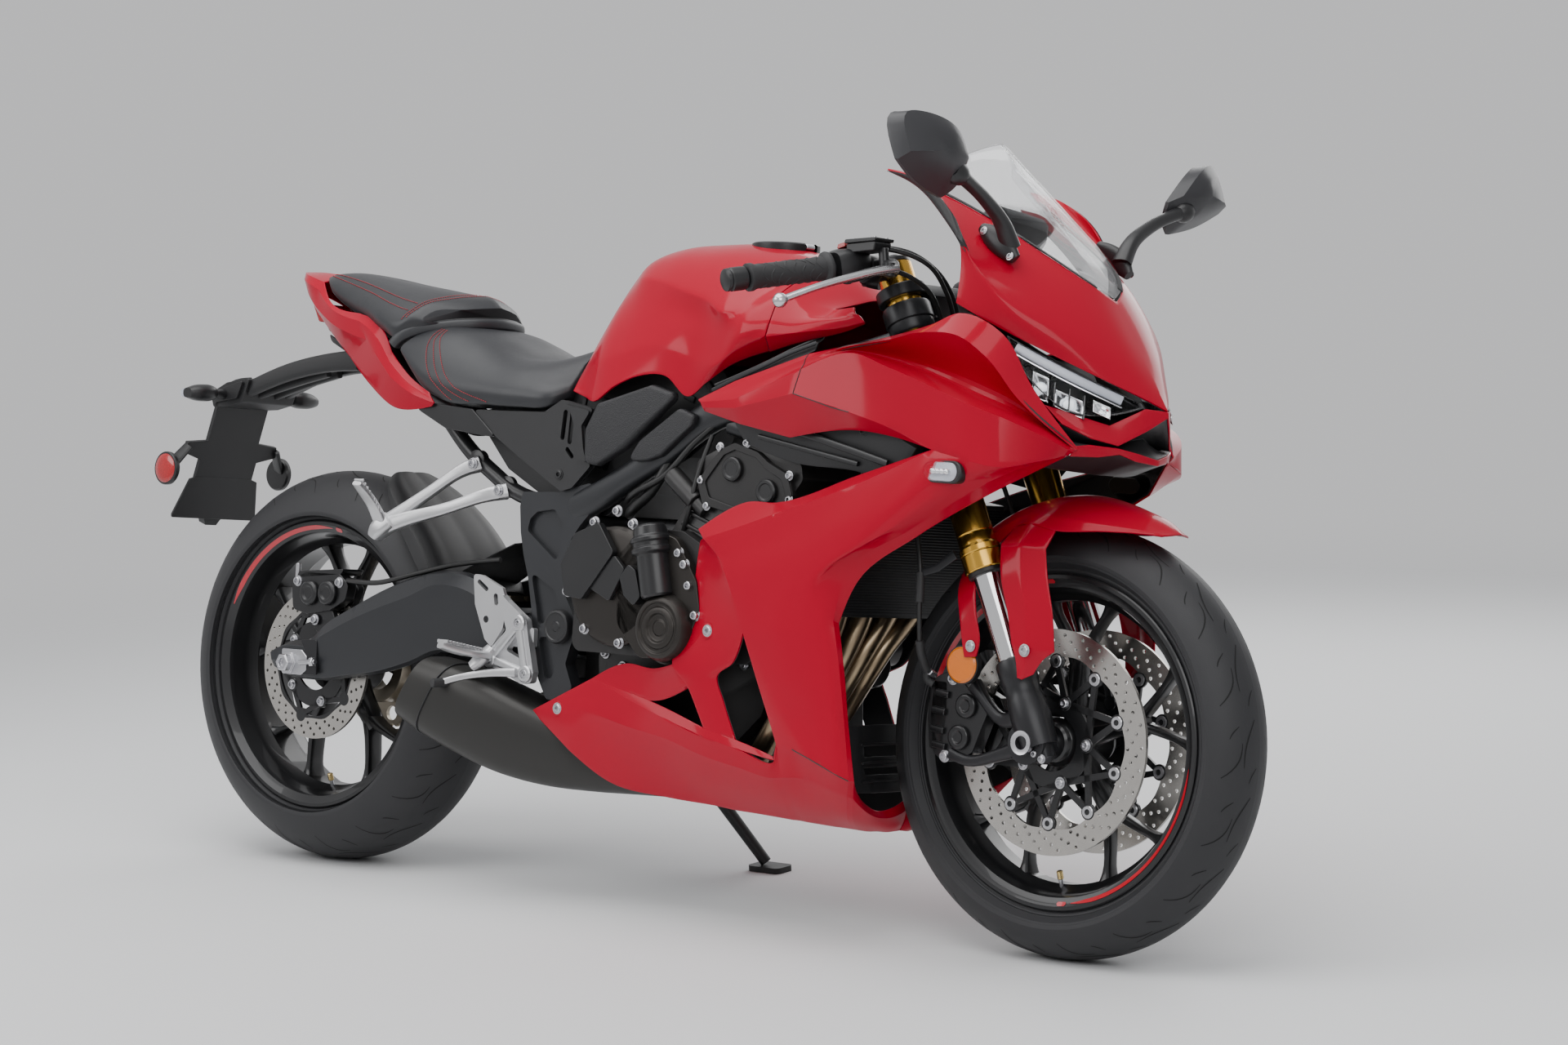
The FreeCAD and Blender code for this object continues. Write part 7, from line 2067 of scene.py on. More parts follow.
def make_headlamps():
    """Clear lenses over dark bowls with a pale strip and two bright reflectors each."""
    skin("lamp_lenses", [surface(LAMP_LENS)], "frame", GLASS, side="both",
         replaces=("headlights",), wall=1.8, ease=0, bevel=0.4)
    grid = surface(LAMP_LENS)
    rim = np.vstack([grid[0], grid[1:, -1], grid[-1, -2::-1], grid[-2:0:-1, 0]])
    middle = rim.mean(axis=0)
    loops = [middle + (rim - middle) * scale - LAMP_OUT * depth
             for scale, depth in ((1.0, 2.5), (0.94, 10), (0.86, 24), (0.6, 34), (0.02, 36))]
    bowl = loft(loops, cap=False)
    make("lamp_bowls", [bowl], "frame", LAMP_DARK, both=True, wall=1.2, sharp=50)
    top = refine(LAMP_LENS[0], (), 6)[2:-3] - (0, 0, 8) - LAMP_OUT * 6
    strip = bar(top, [(4, 6.5)] * len(top), side=LAMP_OUT, square=0.6)
    line = bar(top - (0, 0, 9.5), [(1.2, 1.0)] * len(top), side=LAMP_OUT, square=0.6, count=8)
    make("lamp_strips", [strip], "frame", LAMP_WHITE, both=True, sharp=50)
    cups = [cup(np.array([1460, -137, 781]) - LAMP_OUT * 9, 12, 17, 11),
            cup(np.array([1494, -116, 760]) - LAMP_OUT * 11, 21, 12, 12),
            cup(np.array([1530, -90, 755]) - LAMP_OUT * 13, 13, 8, 8)]
    make("lamp_reflectors", cups + [line], "frame", MIRROR_BRIGHT, both=True, wall=0.8)
    eyes = []
    for centre, size in (((1460, -137, 781), 6.5), ((1494, -116, 760), 7.5)):
        at = np.array(centre) - LAMP_OUT * 18
        eyes.append(lathe([(0, size), (3, size * 0.85), (5.5, size * 0.5), (6.4, 0.1)], at,
                          LAMP_OUT, 20, closed=False))
    make("lamp_eyes", eyes, "frame", LAMP_GLOW, both=True, sharp=80)
    wall = []
    for share in (0.0, 0.5, 1.0):
        at = np.array([1476, -127, 772]) + LAMP_ALONG * 44 * share - LAMP_OUT * 12
        wall.append(bar([at - LAMP_UP * 16, at + LAMP_UP * 16], [(1.2, 8), (1.2, 8)],
                        side=LAMP_ALONG, square=0.4, count=12))
    make("lamp_dividers", wall, "frame", LAMP_DARK, both=True, sharp=40)


def make_ducts():
    """Black panels behind the fairing's openings, with ribs and an edge strip."""
    inner = [[(1290, -186, 690), (1180, -178, 730), (1050, -172, 742), (930, -166, 736)],
             [(1270, -181, 665), (1175, -176, 693), (1055, -170, 703), (945, -163, 713)],
             [(1250, -176, 640), (1170, -168, 656), (1060, -164, 664), (960, -160, 690)]]
    strip = [[(1085, -148, 843), (1000, -162, 806), (900, -162, 770)],
             [(1086, -160, 836), (1000, -171, 799), (900, -167, 762)],
             [(1085, -166, 823), (1000, -174, 788), (900, -168, 752)]]
    skin("duct_panels", [surface([row[::-1] for row in inner]),
                         surface([row[::-1] for row in strip], (1,))], "frame", PLASTIC,
         side="both", replaces=("inner_ducts",), wall=2.6, ease=0)
    ribs = [bar([(960, -167, 724), (1050, -174, 712), (1150, -180, 690), (1240, -184, 668)],
                [(2.5, 5)] * 4, square=0.5, parts=5),
            bar([(990, -166, 700), (1080, -170, 684), (1180, -174, 666)], [(2.5, 3.5)] * 3,
                square=0.5, parts=5),
            bar([(1086, -149, 845), (1040, -158, 826), (1000, -163, 808), (950, -164, 789),
                 (900, -163, 772)], [(1.6, 2.0)] * 5, square=0.6, parts=5)]
    make("duct_ribs", ribs, "frame", SMOOTH_BLACK, both=True, sharp=40)
    edge = bar([(1088, -167, 834), (1040, -173, 817), (1000, -176, 800), (950, -174, 782),
                (902, -171, 764)], [(1.2, 3.0)] * 5, square=0.6, parts=5)
    make("duct_edges", [edge], "frame", CLAMP, both=True, sharp=40)
    screws = []
    for x, y, z in ((945, -167, 728), (1190, -178, 712)):
        screws += bolt((x, y, z), (0, -1, 0), 6, 2.5)
    make("duct_screws", screws, "frame", CONTROL, both=True)


def wheel_clear(y, z):
    """How far forward a panel reaches behind the front wheel: a circle about the steering
    axis, less a gap."""
    drop = z - FRONT_AXLE_Z
    tyre_back = WHEELBASE - np.sqrt(FRONT_AXLE_Z ** 2 - drop ** 2)
    axis = TRAIL_X - z * math.tan(RAKE)
    return axis - np.sqrt((axis - tyre_back) ** 2 - y ** 2) - 16.0


def make_belly_tray():
    """The black insert at the fairing's foot, curved round the wheel, with two slots."""
    z = np.linspace(300, 205, 20)[:, None] * np.ones((1, 29))
    half = np.interp(z, [205, 250, 300], [118, 140, 150])
    y = half * np.linspace(-1, 1, 29)[None, :]
    x = np.minimum(wheel_clear(y, z), 1160.0) - 1.0
    grid = np.stack([x, y, z], axis=-1)
    points, faces = grid.reshape(-1, 3), quads(20, 29)
    middles = points[np.array(faces)].mean(axis=1)
    slot = (np.abs(middles[:, 2] - 262) < 6) | (np.abs(middles[:, 2] - 236) < 6)
    keep = [face for face, gone in zip(faces, slot & (np.abs(middles[:, 1]) < 96)) if not gone]
    finish_mesh("belly_insert", points, keep, "frame", PLASTIC, replaces=("belly_tray",),
                wall=3.0, bevel=0.8)
    rims = []
    for level in (273, 247, 221):
        across = np.linspace(-104, 104, 27)
        depth = np.minimum(wheel_clear(across, np.full(27, float(level))), 1160.0)
        rims.append(tube(np.stack([depth - 0.5, across, np.full(27, level)], 1), 2.0, 8))
    make("belly_ribs", rims, "frame", PLASTIC, sharp=80)


def make_mirrors():
    """Faceted heads with glass behind, on jointed stalks with bolted feet."""
    corners = np.array([(1352, -352, 1064), (1340, -336, 1126), (1368, -318, 1128),
                        (1397, -298, 1112), (1409, -270, 1068), (1400, -268, 1044),
                        (1384, -278, 1024), (1364, -318, 1040)], float)
    middle = corners.mean(axis=0)
    normal = unit(np.cross(corners[2] - corners[6], corners[4] - corners[0]))
    normal = normal * np.sign(normal[0])
    level = unit(np.cross(normal, (0, 0, 1)))
    corners = corners + 0.38 * ((corners - middle) @ level)[:, None] * level
    ring = refine(np.vstack([corners, corners[:1]]), (0, 4, 6), 5)[:-1]
    ridge = middle + np.array([2, -6, 10])
    loops = [middle + (ring - middle) * 0.90 + normal * 2,
             middle + (ring - middle) * 0.95 - normal * 1, middle + (ring - middle),
             middle + (ring - middle) * 1.0 + normal * 6,
             ridge + (ring - middle) * 0.86 + normal * 18,
             ridge + (ring - middle) * 0.55 + normal * 32,
             ridge + (ring - middle) * 0.22 + normal * 38,
             ridge + (ring - middle) * 0.03 + normal * 39]
    hinge = middle
    make("mirror_heads", [turned(outward(loft(loops)), 0.56, hinge, (0, 0, 1))], "frame",
         MIRROR_SHELL, both=True, replaces=("mirrors",), sharp=32)
    glass = [middle + (ring - middle) * 0.90 + normal * 1.0,
             middle + (ring - middle) * 0.90 - normal * 0.6]
    make("mirror_glasses", [turned(outward(loft(glass)), 0.56, hinge, (0, 0, 1))], "frame",
         MIRROR_BRIGHT, both=True)
    stalk = bar([(1392, -132, 970), (1392, -150, 997), (1394, -196, 1028), (1398, -244, 1048),
                 (1401, -272, 1058)], [(15, 11), (12, 10), (9, 9), (9.5, 9), (11, 11)],
                side=(1, 0, 0), square=0.8, parts=6)
    joint = lathe([(-15, 0.1), (-15, 10), (-10, 14), (-2, 16), (7, 14.5), (14, 10), (14, 0.1)],
                  (1400, -268, 1056), (0.1, -0.94, 0.3), 28, closed=False)
    foot = [(1346, -136, 996), (1364, -138, 985), (1386, -138, 970), (1404, -134, 953)]
    base = bar(foot, [(6, 7), (8, 15), (8, 16), (6, 8)], side=(-0.1, -0.95, 0.2), square=0.9,
               parts=5)
    make("mirror_stalks", [stalk, joint, base], "frame", CONTROL, both=True, sharp=50)
    screws = bolt((1355, -144, 991), (-0.1, -0.95, 0.3), 4.5, 3)
    screws += bolt((1400, -142, 956), (-0.1, -0.95, 0.3), 4.5, 3)
    make("mirror_foot_bolts", screws, "frame", BOLT, both=True)


def tilted(outline, origin, along, up):
    """Points of a flat outline set on a plane through the origin."""
    outline = np.asarray(outline, float)
    return np.asarray(origin, float) + outline[:, :1] * unit(along) + outline[:, 1:] * unit(up)


def make_dash():
    """Instrument housing with its dark screen, and the cockpit's inner panels."""
    across, up = np.array([0.0, 1.0, 0.0]), unit(np.array([1.0, 0.0, 1.0]))
    back = np.cross(across, up)
    back = back * np.sign(back[0])
    centre = np.array([1288.0, 0.0, 1011.0])
    outline = np.array(rounded([(-76, -34), (76, -34), (80, 20), (60, 38), (-60, 38),
                                (-80, 20)], 12))
    loops = [tilted(outline * 0.96, centre, across, up), tilted(outline, centre + back * 3,
                                                                across, up),
             tilted(outline, centre + back * 12, across, up),
             tilted(outline * 0.86, centre + back * 22, across, up)]
    make("dash_housing", [outward(loft(loops))], "frame", CONTROL, replaces=("dash",),
         bevel=1.0)
    face = np.array(rounded([(-62, -24), (62, -24), (66, 18), (52, 28), (-52, 28), (-66, 18)],
                            8))
    make("dash_screen", [outward(loft([tilted(face, centre - back * 1.5, across, up),
                                       tilted(face, centre + back * 2, across, up)]))],
         "frame", LAMP_DARK, bevel=0.5)
    buttons = [lathe([(0, 0.1), (0, 5), (3, 4.5), (3.4, 0.1)],
                     centre + across * side * 70 - up * 22 - back * 0.5, -back, 20,
                     closed=False) for side in (-1, 1)]
    make("dash_buttons", buttons, "frame", BOLT)
    tray = [[(1298, -82, 919), (1340, -80, 896), (1420, -74, 853)],
            [(1298, -41, 923), (1340, -40, 900), (1420, -37, 857)],
            [(1298, 0, 924), (1340, 0, 901), (1420, 0, 858)]]
    skin("dash_tray", [surface(tray)], "frame", PLASTIC, side="both", wall=2.5, ease=0)


def make_front_signals():
    """Clear oval lamps on black feet."""
    feet, bowls, lenses, bulbs = [], [], [], []
    out = unit(np.array([-0.1, -1.0, 0.05]))
    along, up = np.array([1.0, -0.1, -0.02]), np.array([0.0, 0.05, 1.0])
    oval = np.array(capsule((-15, 0), (15, 0), 13, 14))
    base = np.array([1369.0, -204.0, 658.0])
    feet.append(outward(loft([tilted(oval * s + (2, 0), base + out * d, along, up) for s, d in
                              ((0.9, -10), (1.0, -2), (1.12, 6), (1.2, 17), (1.18, 21),
                               (1.1, 22), (1.02, 21))])))
    bowls.append(outward(loft([tilted(oval * s, base + out * d, along, up) for s, d in
                               ((0.8, 12), (0.96, 21), (0.9, 22))])))
    lenses.append(outward(loft([tilted(oval * s, base + out * d, along, up) for s, d in
                                ((1.0, 19), (1.0, 25), (0.94, 31), (0.8, 35), (0.45, 37.5),
                                 (0.05, 38))])))
    for share in (-12, -4, 4, 12):
        at = base + out * 22 + unit(along) * share
        bulbs.append(lathe([(0, 4.4), (4, 4.0), (6, 2.4), (6.6, 0.1)], at, out, 14,
                           closed=False))
    make("front_signal_feet", feet, "frame", CONTROL, both=True,
         replaces=("front_signals",), bevel=0.8)
    make("front_signal_bowls", bowls, "frame", LAMP_WHITE, both=True, sharp=40)
    make("front_signal_bulbs", bulbs, "frame", MIRROR_BRIGHT, both=True, sharp=40)
    make("front_signal_lenses", lenses, "frame", GLASS, both=True, sharp=40)


# ---- steering parts ----------------------------------------------------------------------------
def make_clamps():
    """The fork bridges, the steering lock and nut, and the fork caps."""
    tidy_copy("triple_clamps", CLAMP, 1.6, 40)
    axis_top = (TRAIL_X - 888 * math.tan(RAKE), 0, 888)
    lock = lathe([(8, 0.1), (8, 21), (14, 21), (17, 18), (17, 9), (15, 8), (15, 0.1)],
                 np.array(axis_top) + (12, 0, 5), FORK_UP, 32, closed=False)
    nut = lathe([(8, 0.1), (8, 17), (15, 17), (17, 15), (17, 0.1)], np.array(axis_top)
                - (4, 0, 0), FORK_UP, 6, closed=False)
    make("steering_lock", [lock], "steering", BOLT, sharp=32)
    make("steering_nut", [nut], "steering", CLAMP, sharp=32)
    caps = []
    for side in (-1, 1):
        caps.append(lathe([(0, 0.1), (0, 24.5), (5, 24.5), (7, 22), (7, 13), (12, 12),
                           (12, 6), (9, 5.5), (9, 0.1)], on_fork(648.5, side), FORK_UP, 40,
                          closed=False))
    make("fork_caps", caps, "steering", CLAMP, sharp=32)


GRIP_IN = np.array([1151.0, -228.0, 934.0])
GRIP_OUT = np.array([1090.0, -372.0, 905.0])


def make_bars():
    """Clip-on clamps, bars, ribbed rubber grips and end weights."""
    clamps, tubes, grips, ends, marks = [], [], [], [], []
    for side in (-1, 1):
        clamps.append(lathe([(606, 26.5), (606, 31), (609, 33), (622, 33), (624, 35), (645, 35),
                             (649, 33), (650, 26.5)], on_fork(0, side), FORK_UP, 44))
        root = on_fork(635, side)
        clamps.append(bar([root + (-26, 0, -8), root + (-44, side * 8, -4),
                           (1176, side * 124, 938)], [(12, 13), (13, 13), (14, 14)],
                          side=(0, 1, 0), square=0.7, parts=4))
        marks += bolt(root + (-30, side * -4, 10), (-0.4, 0, 0.9), 5, 4)
    mirror = np.array([1, -1, 1])
    axis = unit(GRIP_OUT - GRIP_IN)
    tube_path = [(1176, -124, 938), (1160, -190, 938), tuple(GRIP_IN),
                 tuple(GRIP_IN + axis * 40)]
    tubes.append(pipe(tube_path, 11, 20))
    grips.append(lathe([(-2, 11), (-2, 22), (2, 23), (5, 22), (8, 17), (30, 16.4), (60, 16.8),
                        (112, 17), (118, 19.5), (124, 19.5), (126, 16), (126, 11)], GRIP_IN,
                       axis, 40))
    across = unit(np.cross(axis, (0, 0, 1)))
    up = np.cross(axis, across)
    for index in range(8):
        for part in range(4):
            share = np.linspace(0, 1, 9)
            angle = (np.radians(90 * part + 22 * index) + share * 1.25)[:, None]
            reach = (14 + 12 * index + 9 * np.sin(np.pi * share * 0.9))[:, None]
            path = GRIP_IN + axis * reach + 16.6 * (across * np.cos(angle) + up * np.sin(angle))
            grips.append(tube(path, 1.0, 6))
    ends.append(lathe([(127, 0.1), (127, 13), (129, 16), (133, 16.5), (150, 16.5), (152, 15),
                       (154, 16), (158, 15.5), (160, 12), (160, 0.1)], GRIP_IN, axis, 40,
                      closed=False))
    tubes += [(points * mirror, [face[::-1] for face in faces]) for points, faces in tubes[:]]
    make("bar_clamps", clamps, "steering", CLAMP, replaces=("handlebars",), bevel=0.9,
         sharp=35)
    make("bar_tubes", tubes, "steering", CLAMP, sharp=50)
    make("grip_rubbers", grips, "steering", GRIP, both=True, sharp=50)
    make("bar_ends", ends, "steering", CONTROL, both=True, sharp=32)
    make("bar_clamp_bolts", marks, "steering", BOLT)


def make_controls():
    """Levers, master cylinders, switch boxes with their buttons, the fluid pot and cables."""
    lever = bar([(1240, -190, 935), (1233, -214, 931), (1222, -262, 918), (1208, -318, 900),
                 (1193, -364, 881)], [(7, 13), (6.5, 12.5), (5.5, 9.5), (5, 7.5), (5, 7)],
                side=(0, 0, 1), square=0.9, parts=6)
    ball = lathe([(-10, 0.1), (-9, 5), (-6, 8.5), (0, 10.5), (6, 8.5), (9, 5), (10, 0.1)],
                 (1190, -371, 878), (-0.1, -0.9, -0.4), 24, closed=False)
    make("levers", [lever, ball], "steering", LEVER, both=True, replaces=("hand_controls",),
         sharp=60)
    axis = unit(np.array([-16.0, -104.0, -4.0]))
    dark = [lathe([(-10, 11.2), (-10, 19), (-8, 20), (8, 20), (10, 19), (10, 11.2)],
                  (1168, -158, 938), axis, 32),
            bar([(1180, -158, 940), (1206, -162, 940), (1222, -176, 938)],
                [(12, 10), (11, 9), (12, 11)], side=(0, 0, 1), square=0.6, parts=4),
            bar([(1208, -160, 939), (1226, -182, 937), (1240, -206, 934)],
                [(13, 12), (13, 12), (9, 8)], side=(0, 0, 1), square=0.7, parts=4),
            lathe([(-9, 0.1), (-9, 8), (9, 8), (9, 0.1)], (1238, -200, 934), (0, 0, 1), 20,
                  closed=False)]
    make("lever_perches", dark, "steering", CONTROL, both=True, sharp=40)
    boxes = [bar([(1168, -172, 941), (1164, -186, 941), (1158, -206, 938), (1154, -220, 935)],
                 [(19, 20), (23, 25), (24, 25), (21, 22)], side=(0, 0, 1), square=0.55,
                 parts=4)]
    make("switch_boxes", boxes, "steering", CONTROL, both=True, sharp=40)
    seams = [lathe([(-0.8, 20), (-0.8, 25.4), (0.8, 25.4), (0.8, 20)], (1161, -196, 939), axis,
                   40)]
    make("switch_box_seams", seams, "steering", HOSE, both=True)
    knobs = [plate_y(rounded([(1146, 962), (1162, 966), (1160, 972), (1148, 969)], 2), -204,
                     -190),
             lathe([(0, 0.1), (0, 6.5), (5, 6), (6, 0.1)], (1136, -198, 944), (-1, 0, 0.2), 20,
                   closed=False)]
    make("kill_switch", knobs[:1], "steering", RED_LENS, bevel=0.8)
    make("start_button", knobs[1:], "steering", CLAMP)
    left = [lathe([(0, 0.1), (0, 6), (5, 5.5), (6, 0.1)], (1136, 192, 948), (-1, 0, 0.3), 20,
                  closed=False),
            plate_y(rounded([(1132, 932), (1140, 930), (1142, 940), (1134, 942)], 2), 196, 212),
            plate_y(rounded([(1146, 960), (1160, 963), (1159, 970), (1148, 968)], 2), 188, 204)]
    make("left_buttons", left, "steering", CLAMP, bevel=0.6)
    pot = [plate_y(rounded([(1169, 956), (1216, 960), (1219, 973), (1167, 969)], 3), -209,
                   -173),
           bar([(1222, -190, 936), (1218, -190, 964)], [(7, 6), (7, 6)], side=(1, 0, 0),
               square=0.8)]
    lid = plate_y(rounded([(1165, 969), (1220, 973), (1221, 978), (1167, 975)], 2), -212,
                  -170)
    make("fluid_pot", pot, "steering", SMOOTH_BLACK, bevel=1.2)
    make("fluid_pot_lid", [lid], "steering", CONTROL, bevel=1.2)
    screws = []
    for x, y in ((1175, -204), (1175, -178), (1212, -204), (1212, -178)):
        screws += bolt((x, y, 975.5 + (x - 1175) * 0.065), (-0.065, 0, 1), 3, 1.2)
    make("fluid_pot_screws", screws, "steering", BOLT)
    lines = [pipe([(1172, -206, 957), (1190, -196, 962), (1222, -160, 962), (1246, -120, 945),
                   (1250, -84, 910), (1240, -50, 872)], 3.4, 10, 8),
             pipe([(1166, -180, 964), (1186, -160, 968), (1220, -130, 962), (1240, -96, 940),
                   (1244, -60, 904), (1236, -34, 868)], 3.4, 10, 8),
             pipe([(1214, -164, 936), (1224, -140, 930), (1236, -108, 912), (1238, -76, 870),
                   (1232, -50, 820), (1226, -44, 760), (1222, -60, 714)], 3.6, 10, 8),
             pipe([(1160, 206, 958), (1188, 186, 962), (1222, 150, 956), (1244, 110, 936),
                   (1244, 70, 896), (1236, 44, 850)], 3.6, 10, 8)]
    make("control_cables", lines, "steering", HOSE, sharp=60)


# ---- tail, hanger and the rest -----------------------------------------------------------------
def make_hanger():
    """Box-section stays, the head block, the tapered board with its fins and the plate."""
    top, slope = np.array([-286.0, 0.0, 735.0]), np.array([-66.0, 0.0, -201.0])
    normal = unit(np.array([slope[2], 0.0, -slope[0]]))
    dark = []
    for side in (-1, 1):
        dark.append(bar([(14, side * 24, 806), (-60, side * 28, 800), (-140, side * 34, 784),
                         (-232, side * 42, 752)], [(9, 17), (9, 15), (9, 14), (9, 12)],
                        square=0.5, parts=5))
        dark.append(bar([(-70, side * 12, 786), (-150, side * 14, 768), (-232, side * 18, 746)],
                        [(6, 8), (6, 8), (6, 8)], square=0.5, parts=4))
    for x, z in ((-60, 800), (-140, 780)):
        dark.append(bar([(x, -34, z), (x, 34, z)], [(10, 6), (10, 6)], side=(1, 0, 0),
                        square=0.5))
    block = rounded([(-212, 773), (-228, 732), (-262, 724), (-298, 722), (-304, 738),
                     (-298, 750), (-268, 764)], 6)
    dark.append(plate_y(block, -56, 56))
    dark.append(plate_y(rounded([(-222, 768), (-236, 738), (-290, 730), (-292, 744),
                                 (-266, 756)], 4), -62, 62))
    for share in (-40, -20, 0, 20, 40):
        dark.append(bar([(-226, share, 772), (-262, share, 768), (-296, share, 754)],
                        [(2, 2), (2, 2), (2, 2)], side=(0, 1, 0), square=0.5, parts=3))

    def board(outline, front, back):
        """A flat piece on the hanger's slope: share down it, then half way across."""
        loops = []
        for depth in (front, back):
            loops.append(np.array([top + slope * share + normal * depth + (0, y, 0)
                                   for share, y in outline]))
        return outward(loft(loops))

    upper = [(0, -56), (0, 56), (0.34, 56), (0.36, 98), (0.45, 100), (0.50, 62), (0.7, 62),
             (0.7, -62), (0.50, -62), (0.45, -100), (0.36, -98), (0.34, -56)]
    dark.append(board(upper, 5, -3))
    dark.append(board([(0.66, -74), (0.64, -60), (0.64, 60), (0.66, 74), (0.96, 92), (0.985, 90),
                       (0.985, -90), (0.96, -92)], 0, -4))
    dark.append(board([(0.10, -34), (0.10, 34), (0.5, 40), (0.84, 36), (1.04, 12), (1.04, -12),
                       (0.84, -36), (0.5, -40)], 16, -2))
    fins = [board([(0.5 + 0.05 * k, -22 - k * 1.3), (0.515 + 0.05 * k, -22 - k * 1.3),
                   (0.545 + 0.05 * k, 22 + k * 1.3), (0.53 + 0.05 * k, 22 + k * 1.3)], 18, 12)
            for k in range(8)]
    make("hanger", dark, "frame", PLASTIC, replaces=("plate_hanger",), bevel=1.2, sharp=32)
    make("hanger_fins", fins, "frame", PLASTIC, sharp=32)
    bodies, clear, red, rims = [], [], [], []
    for side in (-1, 1):
        bodies.append(bar([(-268, side * 60, 744), (-268, side * 94, 744)], [(9, 8), (8, 7)],
                          side=(1, 0, 0), square=0.9))
        bodies.append(bar([(-264, side * 86, 744), (-265, side * 96, 744),
                           (-266, side * 120, 743), (-268, side * 140, 742)],
                          [(12, 9), (18, 13), (19, 13.5), (12, 8)], side=(1, 0, 0),
                          square=0.75, parts=5))
        clear.append(bar([(-276, side * 92, 744), (-279, side * 112, 743),
                          (-278, side * 138, 742)], [(12, 10), (13, 11.5), (8, 7)],
                         side=(1, 0, 0), square=0.75, parts=5))
        centre, out = np.array([-327.0, side * 121.0, 617.0]), np.array([0.0, side, 0.0])
        red.append(lathe([(3, 0.1), (3, 23), (7, 24.5), (9, 22), (10, 12), (10.5, 0.1)], centre,
                         out, 40, closed=False))
        rims.append(lathe([(-3, 0.1), (-3, 25), (0, 27.5), (6, 27.5), (7.5, 26), (7.5, 23.5),
                           (3, 23.5), (3, 0.1)], centre, out, 40, closed=False))
        rims.append(bar([centre + (4, side * -2, 6), (-308, side * 96, 656)],
                        [(4, 12), (4, 9)], side=(0, 1, 0), square=0.6))
    make("signal_bodies", bodies, "frame", CONTROL, replaces=("rear_signals",), sharp=50)
    make("signal_lenses", clear, "frame", LAMP_WHITE, sharp=50)
    make("reflector_lenses", red, "frame", RED_LENS, sharp=50)
    make("reflector_rims", rims, "frame", CONTROL, sharp=35)


def make_tail_parts():
    """The tail lamp, the tray under the seats and the fuel cap."""
    lamp = [(-98, 897), (-82, 868), (-46, 864), (-46, 890), (-76, 897)]
    glass = [plate_y(rounded(lamp, 4), -30, 30)]
    make("tail_lamp", glass, "frame", RED_LENS, replaces=("tail_light",), bevel=2.5)
    ribs = [bar([(-97, y, 895), (-82.5, y, 869)], [(1.4, 1.4), (1.4, 1.4)], square=0.6, count=8)
            for y in range(-24, 25, 6)]
    make("tail_lamp_ribs", ribs, "frame", RED_LENS)
    tray = [[(300, -70, 704), (180, -66, 752), (60, -54, 806), (-50, -30, 847)],
            [(300, -60, 698), (180, -56, 744), (60, -46, 797), (-50, -26, 839)],
            [(300, 0, 696), (180, 0, 742), (60, 0, 795), (-50, 0, 837)]]
    skin("seat_tray", [surface(tray, (), (), 6)], "frame", PLASTIC, side="both",
         replaces=("undertray",), wall=3.0, ease=0)
    lid = [lathe([(-5, 0.1), (-5, 39), (0, 41), (3, 41), (5, 39), (5, 33), (4, 32), (4, 26),
                  (5.5, 25), (6, 0.1)], (CAP_X, 0, CAP_Z), (0, 0, 1), 64, closed=False),
           lathe([(-22, 0.1), (-22, 17), (-6, 18), (-5, 0.1)], (CAP_X, 0, CAP_Z), (0, 0, 1),
                 32, closed=False),
           bar([(CAP_X - 16, 0, CAP_Z + 6), (CAP_X + 16, 0, CAP_Z + 6)], [(8, 2), (8, 2)],
               side=(0, 1, 0), square=0.7),
           bar([(CAP_X + 30, 0, CAP_Z), (926, 0, CAP_Z)], [(7, 4), (7, 4)], side=(0, 1, 0),
               square=0.5),
           rod((926, -9, CAP_Z), (926, 9, CAP_Z), 4.5, 16)]
    make("cap_lid", lid, "fuel_cap", CAP, replaces=("fuel_cap",), sharp=32)
    studs = []
    for index in range(6):
        angle = 60 * index + 30
        studs += bolt((CAP_X + 36 * math.cos(math.radians(angle)),
                       36 * math.sin(math.radians(angle)), CAP_Z + 4.6), (0, 0, 1), 2.6, 1)
    make("cap_studs", studs, "fuel_cap", BOLT)


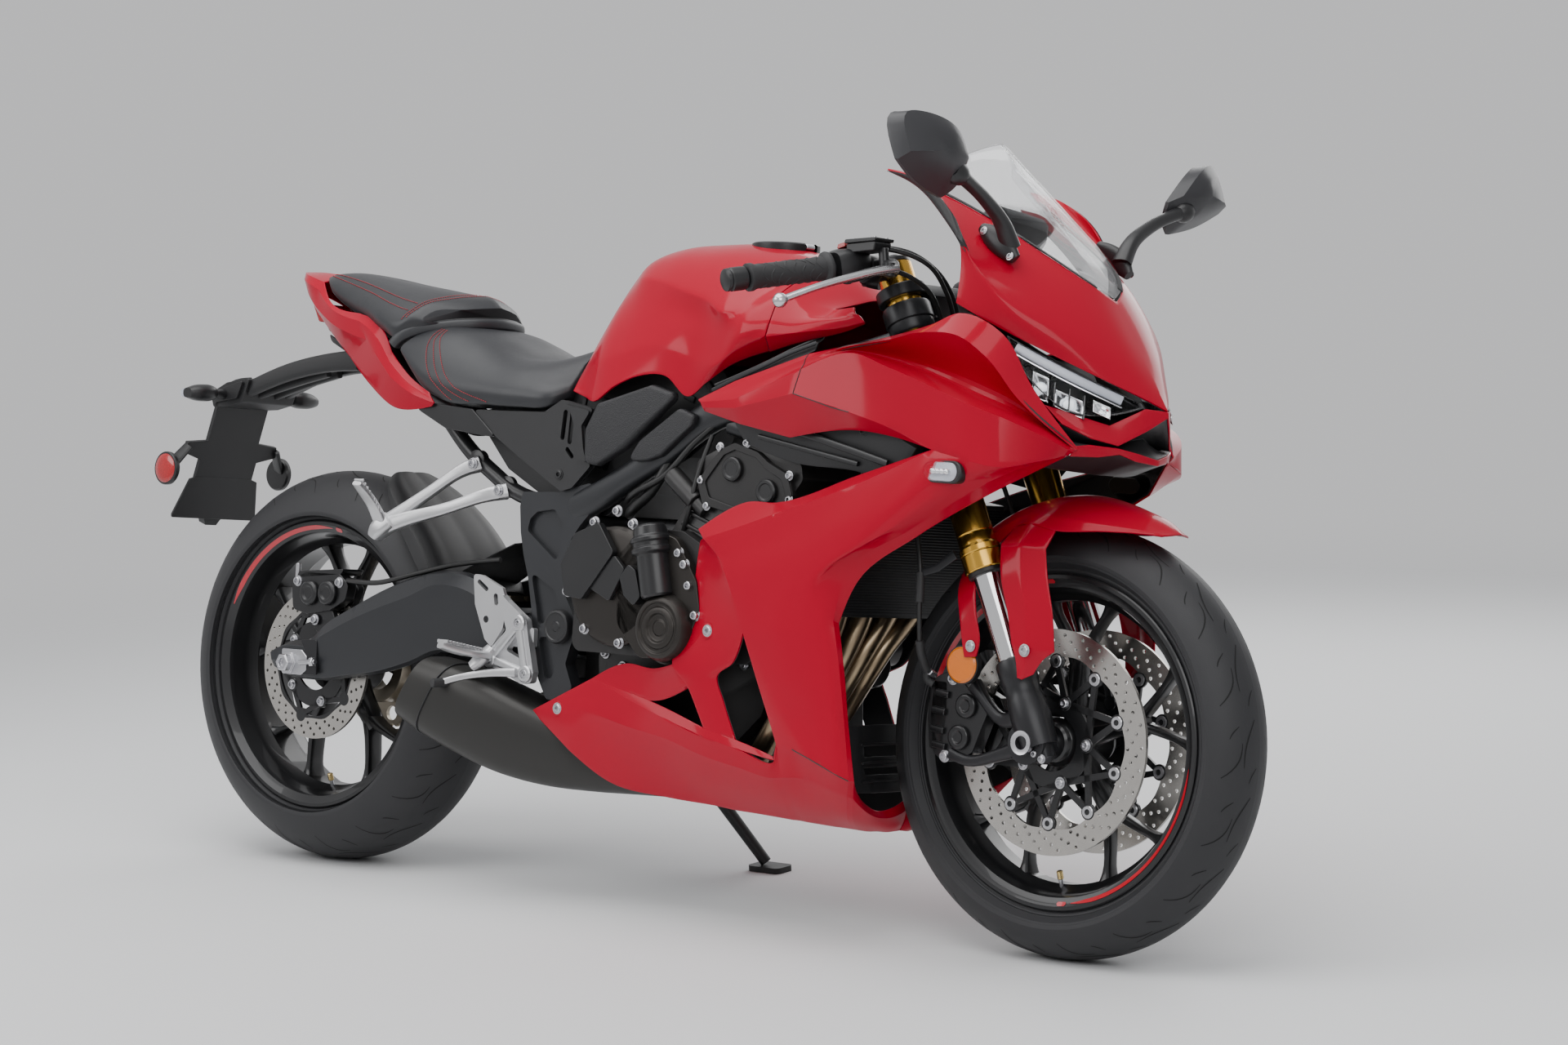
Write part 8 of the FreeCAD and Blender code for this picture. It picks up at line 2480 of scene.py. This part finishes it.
def make_hugger():
    """The mudguard: across the tyre a crown with sides that turn down, carried on round the
    wheel by the angle, and a deeper side plate."""
    degrees = np.array([24, 30, 40, 50, 58, 64, 68])
    radius = np.array([327, 327, 327, 327, 330, 334, 338])
    half = np.array([97, 97, 96, 92, 82, 66, 44])
    drop = np.array([20, 28, 30, 26, 20, 14, 9])
    rows = []
    for a, r, w, d in zip(degrees, radius, half, drop):
        c, s = math.cos(math.radians(a)), math.sin(math.radians(a))
        rows.append([(out * c, -y, REAR_AXLE_Z + out * s) for out, y in
                     ((r, 0), (r, w * 0.55), (r - 3, w * 0.86), (r - 10, w), (r - d, w))])
    grid = surface(rows[::-1], (), (3,), 8)
    skin("hugger", [grid], "frame", PLASTIC, side="both", replaces=("rear_hugger",),
         wall=2.6, ease=0)
    bridge = [[(291, -80, 460), (340, -74, 486), (418, -60, 524)],
              [(291, 0, 466), (340, 0, 490), (418, 0, 530)]]
    skin("hugger_front", [surface(bridge)], "frame", PLASTIC, side="both", wall=2.6,
         ease=0)


def make_shock():
    """The damper body with its coil."""
    low, high = np.array([505.0, 0, 432.0]), np.array([575.0, 0, 628.0])
    axis = high - low
    make("shock_body", [lathe([(0, 0.1), (0, 15), (16, 17), (30, 17), (32, 30), (40, 32),
                               (44, 30), (44, 12), (160, 12), (160, 30), (166, 30), (170, 17),
                               (205, 17), (208, 0.1)], low, axis, 40, closed=False)], "frame",
         SHOCK, replaces=("rear_shock",), sharp=32)
    share = np.linspace(0, 1, 200)[:, None]
    angle = 2 * np.pi * 6.2 * share
    side = unit(np.cross(axis, (0, 1, 0)))
    path = (low + unit(axis) * (48 + 110 * share) + 25.5 * (side * np.cos(angle)
                                                            + np.array([0, 1.0, 0])
                                                            * np.sin(angle)))
    make("shock_spring", [tube(path, 5.2, 10)], "frame", SPRING, sharp=80)


# ---- everything ----------------------------------------------------------------------------
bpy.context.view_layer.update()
make_camera()
make_floor()
make_lights()
plain_nodes()
make_cowls()
make_nose()
make_tank()
make_tail()
make_screen()
for which in ("front", "rear"):
    make_tyre(which)
    make_rim(which)
make_front_discs()
make_rear_disc()
make_fork()
make_front_calipers()
make_hoses()
make_fender()
make_frame()
make_swingarm()
make_chain()
make_engine()
make_exhaust()
make_radiator()
make_filling()
make_seats()
make_side_covers()
make_rests()
make_rear_caliper()
make_stand()
make_headlamps()
make_ducts()
make_belly_tray()
make_mirrors()
make_dash()
make_front_signals()
make_clamps()
make_bars()
make_controls()
make_hanger()
make_tail_parts()
make_hugger()
make_shock()
